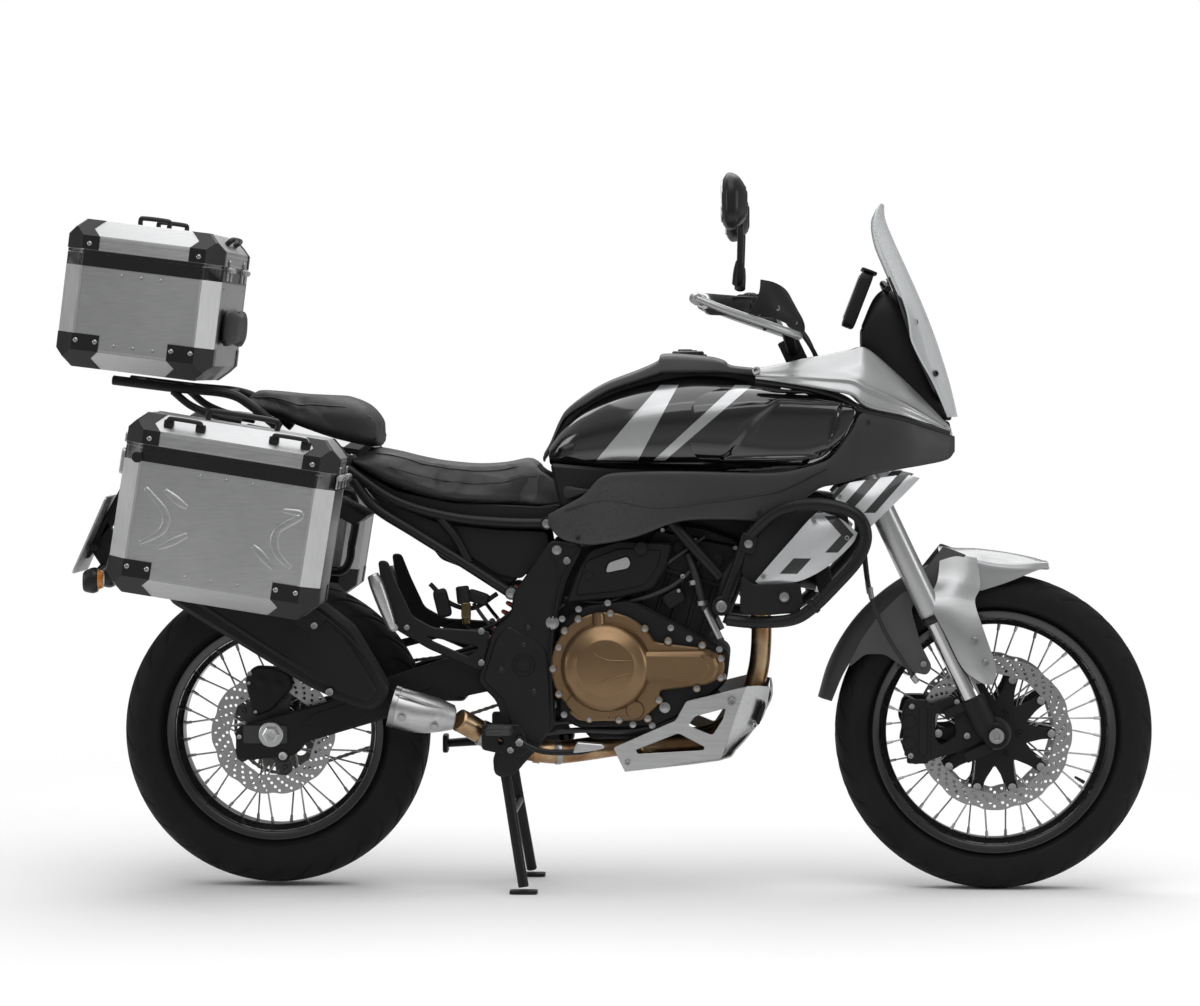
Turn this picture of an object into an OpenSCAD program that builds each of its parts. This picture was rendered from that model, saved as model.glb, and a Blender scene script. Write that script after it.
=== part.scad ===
// Adventure touring motorcycle with aluminium luggage, standing on its centre stand.
// X points forward, Y to the rider's left, Z up. The ground is Z = 0.
// Shapes are drawn from a datum under the rear axle of the standard machine, and
// place() then moves the whole machine so that its box is centred over the origin.

/* [Stance] */
// Distance between the two axles
wheelbase = 1500; // [1440:5:1800]
// Gap under the rear tyre while the centre stand carries the machine
rear_lift = 6; // [2:1:20]
// Front tyre diameter
front_tyre_d = 660; // [640:1:680]
// Front tyre width
front_tyre_w = 110; // [90:1:120]
// Rear tyre diameter
rear_tyre_d = 642; // [620:1:660]
// Rear tyre width
rear_tyre_w = 150; // [130:1:150]

/* [Wheels] */
// Bead seat diameter of the front rim
front_rim_d = 482.6; // [457.2:25.4:508]
// Bead seat diameter of the rear rim
rear_rim_d = 431.8; // [406.4:25.4:457.2]
// Height of the rim lip over the bead seat
rim_lip = 12; // [9:1:14]
// Outer width of the front rim
front_rim_w = 80; // [70:1:90]
// Outer width of the rear rim
rear_rim_w = 116; // [100:1:120]
// Depth of the rim under its bead seat
rim_depth = 18; // [12:1:22]
// Spokes in each wheel
spoke_count = 36; // [28:4:40]
// Spoke thickness
spoke_d = 4; // [3:0.5:5]
// Axle shaft diameter
axle_d = 20; // [17:1:25]
// Front brake disc diameter
front_disc_d = 320; // [280:5:320]
// Rear brake disc diameter
rear_disc_d = 260; // [220:5:260]
// Brake disc thickness
disc_t = 5; // [4:0.5:6]
// Rear sprocket diameter over its teeth
rear_sprocket_d = 200; // [170:2:210]
// Front sprocket diameter over its teeth
front_sprocket_d = 72; // [60:2:80]

/* [Steering] */
// Steering axis angle from upright
rake = 25.5; // [23:0.5:28]
// Distance between the two fork leg centres
fork_spacing = 208; // [200:2:212]
// Legs ahead of the steering axis
fork_offset = 30; // [20:1:40]
// Axle ahead of the fork legs
axle_lead = 12; // [0:1:20]
// Diameter of the upper fork tubes
fork_outer_d = 50; // [46:1:54]
// Diameter of the sliding fork tubes
fork_inner_d = 41; // [37:1:43]
// Handlebar width over the grips
bar_width = 860; // [780:5:900]
// Handlebar tube diameter outside its thick middle
bar_d = 22; // [20:0.5:24]
// Handlebar diameter in the middle, where it is clamped
bar_mid_d = 28.6; // [26:0.2:32]
// Grip diameter
grip_d = 33; // [30:1:36]

/* [Chassis] */
// Frame tube diameter
frame_tube_d = 30; // [25:1:34]
// Thickness of the plates that carry the swingarm pivot
pivot_plate_t = 14; // [10:1:18]
// Subframe tube diameter
subframe_tube_d = 22; // [18:1:25]
// Crash bar tube diameter
crash_bar_d = 25; // [22:1:28]
// Rack tube diameter
rack_tube_d = 20; // [16:1:24]
// Thickness of one swingarm beam
swingarm_beam_t = 26; // [20:1:30]
// Swingarm pivot shaft diameter
pivot_shaft_d = 20; // [16:1:24]
// Thread size of the paddock stand bobbins
bobbin_thread_d = 8; // [6:1:10]
// Centre stand tube diameter
stand_tube_d = 22; // [18:1:26]
// Height of the centre stand pivot
stand_pivot_z = 262; // [240:1:280]

/* [Engine] */
// Crankcase width between its side covers
engine_w = 290; // [260:2:310]
// Clutch cover radius
clutch_cover_r = 108; // [90:1:112]
// Exhaust pipe diameter
exhaust_d = 42; // [36:1:50]

/* [Bodywork] */
// Widest part of the fuel tank
tank_w = 330; // [290:5:350]
// Rider seat width at its widest
seat_w = 300; // [260:5:340]
// Thickness of the plastic panels
panel_t = 3.5; // [2.5:0.5:5]
// Windscreen thickness
screen_t = 4; // [3:0.5:5]

/* [Luggage] */
// Top case length
top_case_l = 322; // [280:2:360]
// Top case width
top_case_w = 440; // [380:5:470]
// Top case height without its lid
top_case_h = 234; // [200:2:260]
// Pannier length
pannier_l = 424; // [360:2:440]
// Pannier depth across the machine
pannier_w = 232; // [200:2:240]
// Pannier height without its lid
pannier_h = 292; // [250:2:300]
// Lid height of every case
case_lid_h = 70; // [55:1:90]
// Sheet thickness of the cases
case_wall = 3; // [2:0.5:4]
// Chamfer on the upright corners of the cases
case_chamfer = 36; // [20:1:45]
// Distance between the two panniers
pannier_span = 496; // [480:2:540]

/* [Fits] */
// Radial clearance of shafts and hinge pins
running_gap = 0.05; // [0.02:0.01:0.09]
// Gap between neighbouring parts that don't move
body_gap = 0.5; // [0.3:0.1:1]
// Least gap between parts that move past each other
moving_gap = 6; // [5:0.5:10]

/* [Hidden] */

// Round parts are drawn with this many sides
$fn = 64;

front_r = front_tyre_d / 2;
rear_r = rear_tyre_d / 2;
front_z = front_r;
rear_z = rear_r + rear_lift;

// The steering axis meets the ground here, and its height along the axis is counted from here
axis_foot_x = 1610.9;
front_axle_x = axis_foot_x - front_z * tan(rake) + (fork_offset + axle_lead) / cos(rake);
rear_axle_x = front_axle_x - wheelbase;
fork_axle_s = (front_z - (fork_offset + axle_lead) * sin(rake)) / cos(rake);
head_low_s = 980;
head_high_s = 1147;
head_tube_r = 34;
stem_r = 15;
yoke_low_s = 942;
yoke_low_t = 32;
yoke_high_t = 22;
yoke_high_s = head_high_s + moving_gap;
fork_top_s = yoke_high_s + yoke_high_t + 8;
fork_seam_s = 626;
fork_shoe_s = fork_axle_s + 92;
bar_clamp_s = 1247;

pivot_x = 527;
pivot_z = 475;
plate_in_y = 132;
plate_out_y = plate_in_y + pivot_plate_t;
beam_in_y = 98;
beam_out_y = beam_in_y + swingarm_beam_t;
engine_y = engine_w / 2;
sprocket_x = 625;
sprocket_z = 470;
chain_y = 86;
chain_t = 9;
chain_h = 14;
rear_disc_y = 86;
front_disc_y = 70;
axle_nut_r = 17;

case_tilt = 7;
pannier_tilt = 9;
top_case_x = -248;
top_case_foot_z = 1074;
top_case_z = top_case_foot_z + top_case_h;
pannier_x = -36;
pannier_z = 902;
hinge_r = 6;
hinge_pin_r = 2.5;
hinge_len = 24;
case_foot_chamfer = 35;
lid_chamfer = 34;
pannier_mid_y = (pannier_span + pannier_w) / 2;

machine_front_x = front_axle_x + front_r;
machine_rear_x = top_case_x - top_case_l / 2 * cos(case_tilt)
    - (top_case_h - case_foot_chamfer) * sin(case_tilt);
machine_mid_x = (machine_front_x + machine_rear_x) / 2;

// ---- shared shapes ----

module place() {
    translate([-machine_mid_x, 0, 0]) children();
}

module both_sides() {
    children();
    mirror([0, 1, 0]) children();
}

// Local frame on the steering axis: X ahead of it, Z up along it
module on_steering() {
    translate([axis_foot_x, 0, 0]) rotate([0, -rake, 0]) children();
}

function unit(v) = v / norm(v);

function blend_point(a, b, c, d, t) =
    0.5 * (2 * b + (c - a) * t + (2 * a - 5 * b + 4 * c - d) * t * t
    + (3 * b - a - 3 * c + d) * t * t * t);

// A smooth curve through the points, with so many steps to a span
function curve(p, steps) = concat(
    [for (i = [0:len(p) - 2]) for (k = [0:steps - 1])
        blend_point(p[max(i - 1, 0)], p[i], p[i + 1], p[min(i + 2, len(p) - 1)], k / steps)],
    [p[len(p) - 1]]);

function tangent(p, i) = unit(p[min(i + 1, len(p) - 1)] - p[max(i - 1, 0)]);

function tube_ring(centre, along, r, sides, side) =
    let (a = unit(side - (side * along) * along), b = cross(along, a))
    [for (k = [0:sides - 1]) centre + r * (cos(360 * k / sides) * a + sin(360 * k / sides) * b)];

// Closed skin over rings of equally many points
module loft(rings) {
    n = len(rings);
    m = len(rings[0]);
    points = [for (r = rings) each r];
    sides = [for (i = [0:n - 2]) for (k = [0:m - 1])
        each [[i * m + k, (i + 1) * m + k, i * m + (k + 1) % m],
              [i * m + (k + 1) % m, (i + 1) * m + k, (i + 1) * m + (k + 1) % m]]];
    first = [[for (k = [0:m - 1]) k]];
    last = [[for (k = [m - 1:-1:0]) (n - 1) * m + k]];
    polyhedron(points, concat(first, last, sides));
}

// Tube of one diameter, or of one diameter for each point, along a curve
module tube(p, d, steps = 4, sides = 10, side = [0, 1, 0]) {
    path = curve(p, steps);
    n = len(path);
    function dia(i) = is_list(d)
        ? let (u = i / steps, a = floor(min(u, len(d) - 1.001))) d[a] + (d[a + 1] - d[a]) * (u - a)
        : d;
    loft([for (i = [0:n - 1]) tube_ring(path[i], tangent(path, i), dia(i) / 2, sides, side)]);
}

// Straight round bar between two points
module rod(a, b, d) {
    v = b - a;
    translate(a)
        rotate([0, acos(v[2] / norm(v)), atan2(v[1], v[0])])
            cylinder(h = norm(v), d = d);
}

// Oval section across the machine at one place along it; power sets how square it is
function oval(x, z_low, z_high, y_in, y_out, power, n) =
    let (hw = (y_out - y_in) / 2, hh = (z_high - z_low) / 2,
         yc = (y_out + y_in) / 2, zc = (z_high + z_low) / 2)
    [for (k = [0:n - 1]) let (a = 360 * (k + 0.5) / n, c = cos(a), s = sin(a))
        [x, yc + hw * sign(c) * pow(abs(c), 2 / power), zc + hh * sign(s) * pow(abs(s), 2 / power)]];

// Sheet of even thickness under a grid of points
module sheet(g, t) {
    n = len(g);
    m = len(g[0]);
    function normal(i, j) = unit(cross(g[min(i + 1, n - 1)][j] - g[max(i - 1, 0)][j],
                                       g[i][min(j + 1, m - 1)] - g[i][max(j - 1, 0)]));
    outer = [for (i = [0:n - 1]) for (j = [0:m - 1]) g[i][j]];
    inner = [for (i = [0:n - 1]) for (j = [0:m - 1]) g[i][j] - t * normal(i, j)];
    k = n * m;
    function quad(a, b, c, d) = [[a, b, c], [a, c, d]];
    top = [for (i = [0:n - 2]) for (j = [0:m - 2])
        each quad(i * m + j, i * m + j + 1, (i + 1) * m + j + 1, (i + 1) * m + j)];
    bottom = [for (i = [0:n - 2]) for (j = [0:m - 2])
        each quad(k + i * m + j, k + (i + 1) * m + j, k + (i + 1) * m + j + 1, k + i * m + j + 1)];
    start = [for (j = [0:m - 2]) each quad(j, k + j, k + j + 1, j + 1)];
    end = [for (j = [0:m - 2]) let (o = (n - 1) * m + j) each quad(o, o + 1, k + o + 1, k + o)];
    left = [for (i = [0:n - 2]) let (o = i * m) each quad(o, o + m, k + o + m, k + o)];
    right = [for (i = [0:n - 2]) let (o = i * m + m - 1) each quad(o, k + o, k + o + m, o + m)];
    polyhedron(concat(outer, inner), concat(top, bottom, start, end, left, right));
}

// Flat plate with a side outline in X and Z, between two distances to the left
module side_plate(outline, y_from, y_to) {
    translate([0, y_to, 0]) rotate([90, 0, 0]) linear_extrude(y_to - y_from) polygon(outline);
}

// Cylinder across the machine
module cross_bar(x, z, r, y_from, y_to) {
    translate([x, y_from, z]) rotate([-90, 0, 0]) cylinder(h = y_to - y_from, r = r);
}

// ---- frame and running gear ----

module main_frame() {
    color("#232427") place() {
        difference() {
            union() {
                on_steering() translate([0, 0, head_low_s])
                    cylinder(h = head_high_s - head_low_s, r = head_tube_r);
                both_sides() {
                    // top tube, from the steering head back under the tank
                    tube([[1166, -14, 930], [1110, -62, 888], [1050, -92, 850], [1000, -115, 824],
                          [900, -138, 795], [780, -142, 770], [640, -139, 728]], frame_tube_d, 3);
                    // down tube, from the steering head to the front engine mount
                    tube([[1150, -14, 906], [1120, -46, 866], [1088, -80, 818], [1046, -117, 774],
                          [1000, -138, 726], [952, -150, 665], [935, -150, 600]], frame_tube_d, 3);
                    tube([[935, -150, 655], [880, -148, 715], [830, -142, 772]], frame_tube_d * 0.8, 2);
                }
                both_sides() side_plate(pivot_plate_outline, plate_in_y, plate_out_y);
                cross_bar(610, 690, 16, -plate_in_y - 1, plate_in_y + 1);
                cross_bar(565, 372, 16, -plate_in_y - 1, plate_in_y + 1);
                both_sides() cross_bar(935, 600, 17, engine_y + body_gap, crash_mount_y);
                stand_lugs();
                side_stand_lug();
            }
            on_steering() translate([0, 0, head_low_s - 1])
                cylinder(h = head_high_s - head_low_s + 2, r = stem_r + running_gap);
            cross_bar(pivot_x, pivot_z, pivot_shaft_d / 2 + running_gap, -plate_out_y - 1, plate_out_y + 1);
            cross_bar(stand_x, stand_pivot_z, stand_pin_r + running_gap, -plate_out_y - 1, plate_out_y + 1);
            cross_bar(side_stand_x, side_stand_z, side_stand_pin_r + running_gap, plate_in_y - 1,
                      plate_out_y + 20);
        }
    }
}

// Side outline of the plate round the swingarm pivot, down to the centre stand
pivot_plate_outline = [[582, 733], [650, 722], [614, 650], [599, 590], [589, 520], [589, 430], [592, 350],
    [578, 334], [552, 300], [505, 244], [466, 244], [462, 285], [492, 330], [470, 400], [430, 440],
    [462, 545], [500, 580], [505, 622]];

stand_x = 484;
stand_pin_r = 8;

module stand_lugs() {
    both_sides() cross_bar(stand_x, stand_pivot_z, 20, plate_in_y - 1, plate_out_y);
}

// Bracket on the left plate that the side stand turns on
module side_stand_lug() {
    x = side_stand_x;
    z = side_stand_z;
    side_plate([[x - 48, z - 8], [x - 30, z + 44], [x - 8, z + 52], [x + 14, z + 6], [x + 6, z - 15],
                [x - 8, z - 14]], plate_in_y, plate_out_y);
    cross_bar(x, z, 16, plate_in_y, plate_out_y + 10);
}

module subframe() {
    color("#1b1c1e") place() {
        both_sides() {
            tube([[574, -118, 766], [480, -118, 768], [370, -118, 780], [255, -116, 815], [140, -110, 890],
                  [30, -104, 935], [-80, -100, 958]], subframe_tube_d, 3);
            tube([[497, -118, 622], [400, -118, 684], [300, -117, 746], [215, -114, 800], [170, -113, 856]],
                 subframe_tube_d, 3);
            tube([[352, -118, 776], [385, -118, 735], [412, -118, 684]], subframe_tube_d * 0.8, 2);
            cross_bar(574, 766, 14, 105, 131.5);
            cross_bar(500, 622, 14, 105, 131.5);
        }
        cross_bar(300, 797, 9, -116, 116);
        cross_bar(30, 935, 9, -104, 104);
        cross_bar(-76, 957, 9, -100, 100);
        cross_bar(300, 746, 9, -117, 117);
    }
}

// Side outline of one swingarm beam, with its rear end tied to the axle
function beam_outline() = let (a = rear_axle_x, z = rear_z)
    [[a - 74, z - 50], [a - 74, z + 12], [a - 48, z + 22], [a + 112, z + 66], [200, 432], [340, 478],
     [480, 520], [527, 515], [560, 500], [565, 470], [550, 440], [500, 428], [340, 394], [211, 352],
     [a + 73, z - 16], [a + 50, z - 44], [a - 44, z - 54]];

module swingarm() {
    color("#2a2b2e") place() {
        difference() {
            union() {
                both_sides() side_plate(beam_outline(), beam_in_y, beam_out_y);
                // bridge between the beams, ahead of the tyre and between the two chain runs
                translate([346, -beam_in_y - 1, 392]) cube([56, 2 * beam_in_y + 2, 62]);
                cross_bar(pivot_x, pivot_z, 26, beam_out_y - 1, plate_in_y - body_gap);
                cross_bar(pivot_x, pivot_z, 26, -plate_in_y + body_gap, -beam_out_y + 1);
                both_sides() cross_bar(rear_axle_x + 25, rear_z - 44, 15, beam_in_y, beam_out_y);
            }
            cross_bar(pivot_x, pivot_z, pivot_shaft_d / 2 + running_gap, -plate_in_y, plate_in_y);
            cross_bar(rear_axle_x, rear_z, axle_d / 2 + running_gap, -beam_out_y - 1, beam_out_y + 1);
            both_sides() cross_bar(rear_axle_x + 25, rear_z - 44, bobbin_thread_d / 2,
                                   beam_out_y - bobbin_depth, beam_out_y + 1);
        }
        pivot_shaft();
    }
}

bobbin_depth = 18;

// Shaft through the frame plates and both beams, with a cap on each end
module pivot_shaft() {
    cross_bar(pivot_x, pivot_z, pivot_shaft_d / 2, -plate_out_y - 4, plate_out_y + 4);
    both_sides() cross_bar(pivot_x, pivot_z, 24, plate_out_y + body_gap, plate_out_y + 6);
}

module rear_axle() {
    color("silver") place() {
        cross_bar(rear_axle_x, rear_z, axle_d / 2, -beam_out_y - 2, beam_out_y + 2);
        both_sides() cross_bar(rear_axle_x, rear_z, axle_nut_r, beam_out_y + body_gap, beam_out_y + 14);
    }
}

module rear_shock() {
    color("#2c2c2c") place() {
        rod([452, 0, 470], [478, 0, 520], 44);
        rod([478, 0, 520], [530, 0, 622], 64);
        rod([530, 0, 622], [552, 0, 662], 44);
        rod([430, 0, 462], [452, 0, 470], 24);
    }
}

module engine_block() {
    color("#26272a") place() {
        difference() {
            union() {
                // crankcase
                side_plate([[596, 368], [596, 555], [650, 600], [745, 612], [905, 528], [952, 500],
                            [946, 440], [885, 385], [800, 345], [640, 342]], -engine_y, engine_y);
                // cylinders and head
                side_plate([[730, 590], [905, 500], [985, 700], [965, 735], [850, 768],
                    [792, 740]], -112, 112);
            }
            // recess for the front sprocket and the chain
            translate([560, 72, 410]) cube([130, engine_y, 120]);
        }
    }
}

module clutch_cover() {
    color("#8a6a48") place() {
        inner = engine_y + body_gap;
        mirror([0, 1, 0]) {
            cross_bar(697, 472, clutch_cover_r, inner, inner + 26);
            cross_bar(697, 472, clutch_cover_r * 0.78, inner + 25, inner + 44);
            cross_bar(697, 472, clutch_cover_r * 0.58, inner + 43, inner + 49);
            side_plate([[760, 430], [905, 438], [905, 508], [760, 525]], inner, inner + 30);
            cross_bar(905, 473, 35, inner, inner + 30);
            side_plate([[606, 408], [612, 372], [640, 358], [770, 360], [805, 400], [760, 440], [640, 440]],
                       inner, inner + 18);
        }
    }
}

module left_engine_covers() {
    color("#8a6a48") place() {
        inner = engine_y + body_gap;
        cross_bar(850, 484, 72, inner, inner + 32);
        cross_bar(850, 484, 48, inner + 31, inner + 42);
        side_plate([[764, 400], [764, 540], [720, 560], [650, 560], [650, 535], [700, 520], [700, 400],
                    [650, 395], [650, 372], [740, 365]], inner, inner + 20);
        // cover over the front sprocket
        side_plate([[599, 418], [599, 520], [640, 532], [696, 518], [696, 402],
            [640, 400]], inner, inner + 16);
    }
}

module exhaust_pipes() {
    color("#7a5636") place() {
        both_sides() tube([[992, -42, 640], [1012, -44, 590], [1016, -46, 520], [1006, -46, 440],
                           [975, -44, 365], [915, -42, 318], [830, -40, 306], [770, -36, 304]], exhaust_d, 3);
        // the two pipes meet in one, which runs back along the right side
        tube([[772, -20, 304], [710, -40, 300], [650, -74, 294], [590, -98, 290], [530, -104, 298],
              [484, -105, 312], [440, -113, 330], [410, -133, 350], [392, -147, 361]], exhaust_d * 1.15, 3);
        cross_bar(785, 304, 24, -58, 58);
    }
}

module exhaust_heat_shield() {
    color("silver") place()
        tube([[380, -155, 367], [350, -162, 372], [310, -169, 378], [258, -171, 392]],
             [52, 70, 84, 84], 3, 16);
}

module silencer() {
    color("#26272a") place() {
        difference() {
            side_plate([[84, 436], [150, 404], [214, 384], [246, 402], [256, 428], [181, 556], [120, 603],
                        [-110, 744], [-150, 740], [-206, 632], [-196, 606]], -221, -132);
            // tail pipe
            rod([-120, -178, 640], [-200, -178, 689], 46);
        }
    }
}

module radiator() {
    color("#1d1e20") place() translate([1135, 0, 615]) rotate([0, -12, 0])
        translate([0, -165, 0]) cube([34, 330, 165]);
}

// Distance out at which the crash bars bolt to the frame's front mounts
crash_mount_y = 166;

skid_outline = [[712, 306], [840, 362], [862, 402], [1000, 437], [1036, 430], [1036, 402], [1000, 342],
    [932, 281], [735, 257]];

module skid_plate() {
    color("#b9bbbd") place() {
        both_sides() difference() {
            side_plate(skid_outline, 156, 160);
            side_plate([[758, 300], [850, 330], [900, 306], [900, 302], [762, 294]], 150, 170);
            side_plate([[866, 350], [880, 370], [940, 388], [938, 370], [915, 330]], 150, 170);
        }
        // floor and front, one bent sheet
        side_plate([[735, 261], [930, 285], [998, 344], [1032, 403], [1032, 430], [1036, 430], [1036, 402],
                    [1000, 342], [932, 281], [735, 257]], -157, 157);
    }
}

module crash_bars() {
    color("#222325") place() both_sides() {
        tube([[945, -186, 572], [1000, -198, 568], [1075, -222, 574], [1118, -236, 598], [1168, -250, 648],
              [1212, -254, 700], [1228, -254, 748], [1208, -252, 790], [1150, -244, 810], [1092, -232, 808],
              [1042, -214, 790], [1004, -198, 756], [984, -186, 728], [960, -180, 660], [938, -180, 606]],
             crash_bar_d, 3);
        cross_bar(935, 600, 20, crash_mount_y + body_gap, crash_mount_y + 26);
    }
}

// ---- bodywork ----

module fuel_tank() {
    color("#101114") place() {
        half = tank_w / 2;
        // x, low, high, half width
        // distance, low, high and share of the half width
        tank_stations = [[574, 886, 922, 0.50], [604, 872, 966, 0.64], [650, 862, 1006, 0.78],
            [720, 856, 1040, 0.89], [800, 852, 1062, 0.96], [880, 850, 1072, 1], [945, 850, 1070, 1],
            [990, 852, 1062, 0.99]];
        loft([for (s = tank_stations) oval(s[0], s[1], s[2], -half * s[3], half * s[3], 2.8, 28)]);
    }
}

module tank_side_wings() {
    color("#0c0d0f") place() both_sides()
        loft([for (s = [[991, 870, 1056, 148, 172], [1050, 876, 1048, 151, 184], [1120, 888, 1038, 152, 194],
                        [1178, 930, 1026, 156, 198], [1210, 990, 1012, 168, 192]])
            oval(s[0], s[1], s[2], -s[4], -s[3], 4, 20)]);
}

module tank_top_cover() {
    color("#2b2c2e") place()
        loft([for (s = [[612, 984, 1000, 58], [700, 1042, 1062, 84], [800, 1072, 1102, 96],
                        [815, 1074, 1118, 98],
                        [900, 1079, 1114, 100], [935, 1079, 1106, 100], [950, 1078, 1094, 98],
                        [1002, 1074, 1088, 88]])
            oval(s[0], s[1], s[2], -s[3], s[3], 4, 20)]);
}

// Places along the side panel: distance, lower edge, upper edge, how far out
side_panel_stations = [[578, 762, 786, 152], [604, 736, 800, 161], [650, 724, 826, 168], [692, 726, 848, 170],
    [760, 740, 846, 172], [850, 772, 844, 176], [950, 776, 844, 178], [1010, 774, 847, 180],
    [1065, 792, 856, 184], [1130, 838, 884, 190], [1162, 848, 908, 194], [1200, 858, 962, 198],
    [1225, 865, 998, 198],
    [1300, 880, 984, 178], [1350, 888, 968, 152], [1398, 898, 952, 114], [1414, 914, 946, 98]];

module side_panels() {
    color("#2f3032") place() both_sides()
        sheet([for (s = side_panel_stations) let (z = s[1], h = s[2] - s[1], y = s[3])
            [[s[0], -y + 6, z], [s[0], -y - 2, z + h / 3], [s[0], -y - 2, z + h * 2 / 3],
                [s[0], -y + 4, z + h]]],
            panel_t);
}

// Places along the silver cowl: distance, lower edge and its distance out, upper edge and its distance out
cowl_stations = [[1004, 1064, 172, 1086, 152], [1050, 1058, 186, 1094, 154], [1100, 1050, 200, 1106, 156],
    [1150, 1041, 208, 1115, 158], [1200, 1030, 212, 1125, 160], [1232, 1006, 210, 1127, 160],
    [1300, 990, 186, 1070, 146], [1350, 974, 156, 1022, 120], [1405, 956, 112, 966, 96]];

module front_side_cowls() {
    color("#a9abad") place() both_sides()
        sheet([for (s = cowl_stations) let (dz = s[3] - s[1], dy = s[2] - s[4])
            [[s[0], -s[2], s[1]], [s[0], -s[2] - 2 + dy / 6, s[1] + dz / 3],
             [s[0], -s[2] + dy / 2, s[1] + dz * 2 / 3], [s[0], -s[4], s[3]]]], panel_t);
}

module nose_cowl() {
    color("#2b2c2e") place() difference() {
        loft([for (s = [[1222, 1128, 1170, 84], [1252, 1084, 1236, 92], [1285, 1010, 1250, 96],
                        [1330, 930, 1205, 96], [1362, 900, 1110, 92], [1398, 906, 1000, 84],
                            [1412, 925, 962, 78]])
            oval(s[0], s[1], s[2], -s[3], s[3], 4, 24)]);
        translate([1372, -70, 915]) cube([60, 140, 62]);
    }
}

module headlight() {
    color("#dfe6ea") place()
        loft([for (s = [[1373, 917, 975, 68], [1396, 917, 972, 68], [1412, 926, 956, 64]])
            oval(s[0], s[1], s[2], -s[3], s[3], 6, 20)]);
}

// Windscreen rows from the bottom: height, distance on the middle line, at the edge, and half width
screen_rows = [[986, 1424, 1402, 104], [1050, 1409, 1374, 128], [1100, 1394, 1346, 150],
    [1145, 1379, 1324, 168],
    [1190, 1362, 1318, 166], [1240, 1341, 1302, 158], [1300, 1314, 1276, 148], [1350, 1291, 1256, 140],
    [1395, 1273, 1250, 120], [1424, 1270, 1262, 86]];

module windscreen() {
    color("#e8eef2", 0.5) place()
        sheet([for (r = screen_rows)
            [for (k = [-4:4]) let (u = k / 4) [r[1] - (r[1] - r[2]) * u * u, r[3] * u, r[0]]]], screen_t);
}

module instrument_display() {
    color("#1a1a1c") place() translate([1214, 0, 1228]) rotate([0, 21, 0])
        translate([-14, -88, -62]) cube([28, 176, 124]);
}

module radiator_shrouds() {
    color("#d4d5d6") place() both_sides() {
        sheet([[[1004, -206, 652], [1010, -206, 647], [1018, -206, 645]],
               [[1040, -214, 695], [1066, -220, 670], [1092, -218, 653]],
               [[1075, -218, 735], [1114, -228, 707], [1150, -226, 683]],
               [[1110, -216, 775], [1156, -230, 750], [1198, -230, 727]],
               [[1133, -210, 797], [1178, -226, 780], [1212, -228, 752]]], panel_t);
        sheet([[[1160, -196, 826], [1198, -204, 790], [1232, -206, 757]],
               [[1186, -196, 850], [1228, -204, 820], [1264, -204, 788]],
               [[1252, -184, 862], [1278, -188, 843], [1302, -186, 824]],
               [[1310, -172, 870], [1326, -172, 866], [1340, -170, 862]]], panel_t);
    }
}

module rider_seat() {
    color("#2a2a2c") place() {
        half = seat_w / 2;
        loft([for (s = [[160, 891, 908, 0.84], [196, 869, 918, 0.94], [250, 840, 908, 1], [300, 822, 895, 1],
                        [370, 806, 886, 0.98], [430, 800, 881, 0.92], [490, 796, 886, 0.84],
                        [540, 792, 894, 0.76], [570, 790, 884, 0.74]])
            oval(s[0], s[1], s[2], -half * s[3], half * s[3], 3, 28)]);
        // horns either side of the tank
        both_sides() loft([for (s = [[568, 800, 872, 70, 112], [605, 806, 862, 92, 132],
                                     [645, 822, 856, 122, 148], [682, 842, 854, 142, 156]])
            oval(s[0], s[1], s[2], -s[4], -s[3], 3, 16)]);
    }
}

module pillion_seat() {
    color("#2a2a2c") place()
        loft([for (s = [[-66, 998, 1040, 96], [0, 984, 1034, 108], [60, 962, 1027, 122],
                        [120, 940, 1024, 128],
                            [165, 928, 1022, 128], [196, 922, 1010, 124], [218, 922, 985, 116],
                            [226, 926, 955, 104]])
            oval(s[0], s[1], s[2], -s[3], s[3], 3, 28)]);
}

// ---- luggage ----

module luggage_rack() {
    color("#1e1f21") place() {
        both_sides() {
            tube([[-330, -112, 1062], [-200, -112, 1046], [-90, -112, 1034], [-40, -112, 1008],
                [18, -108, 961]],
                 rack_tube_d, 3);
            tube([[-205, -112, 1040], [-165, -112, 1008], [-110, -110, 986], [-62, -106, 976]],
                 rack_tube_d * 0.8, 3);
        }
        cross_bar(-300, 1058, 8, -112, 112);
        cross_bar(-200, 1046, 8, -112, 112);
        cross_bar(-100, 1035, 8, -112, 112);
    }
    // plate that the top case latches to, on two blocks over the cross tubes
    color("#1e1f21") at_top_case() translate([0, 0, -top_case_h - body_gap]) {
        translate([-100, -100, -6]) cube([200, 200, 6]);
        for (x = [-24, 75]) translate([x - 9, -90, -21]) cube([18, 180, 16]);
    }
}

module pannier_racks() {
    color("#1b1c1e") place() both_sides() {
        y = -pannier_span / 2 + rack_tube_d / 2 + 4;
        tube([[120, y, 820], [-20, y, 836], [-150, y, 856], [-176, y, 830], [-196, y, 720], [-180, y, 690],
              [-60, y, 668], [90, y, 646], [128, y, 668], [140, y, 760],
                  [120, y, 820]], rack_tube_d * 0.9, 3);
        // stays to the subframe
        rod([100, y, 822], [100, -115, 894], 16);
        rod([-120, y, 850], [-74, -111, 947], 16);
    }
}

// Eight-sided plan of a case, long in X
module case_plan(l, w, c) {
    polygon([[-l / 2 + c, -w / 2], [l / 2 - c, -w / 2], [l / 2, -w / 2 + c], [l / 2, w / 2 - c],
             [l / 2 - c, w / 2], [-l / 2 + c, w / 2], [-l / 2, w / 2 - c], [-l / 2, -w / 2 + c]]);
}

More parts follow.
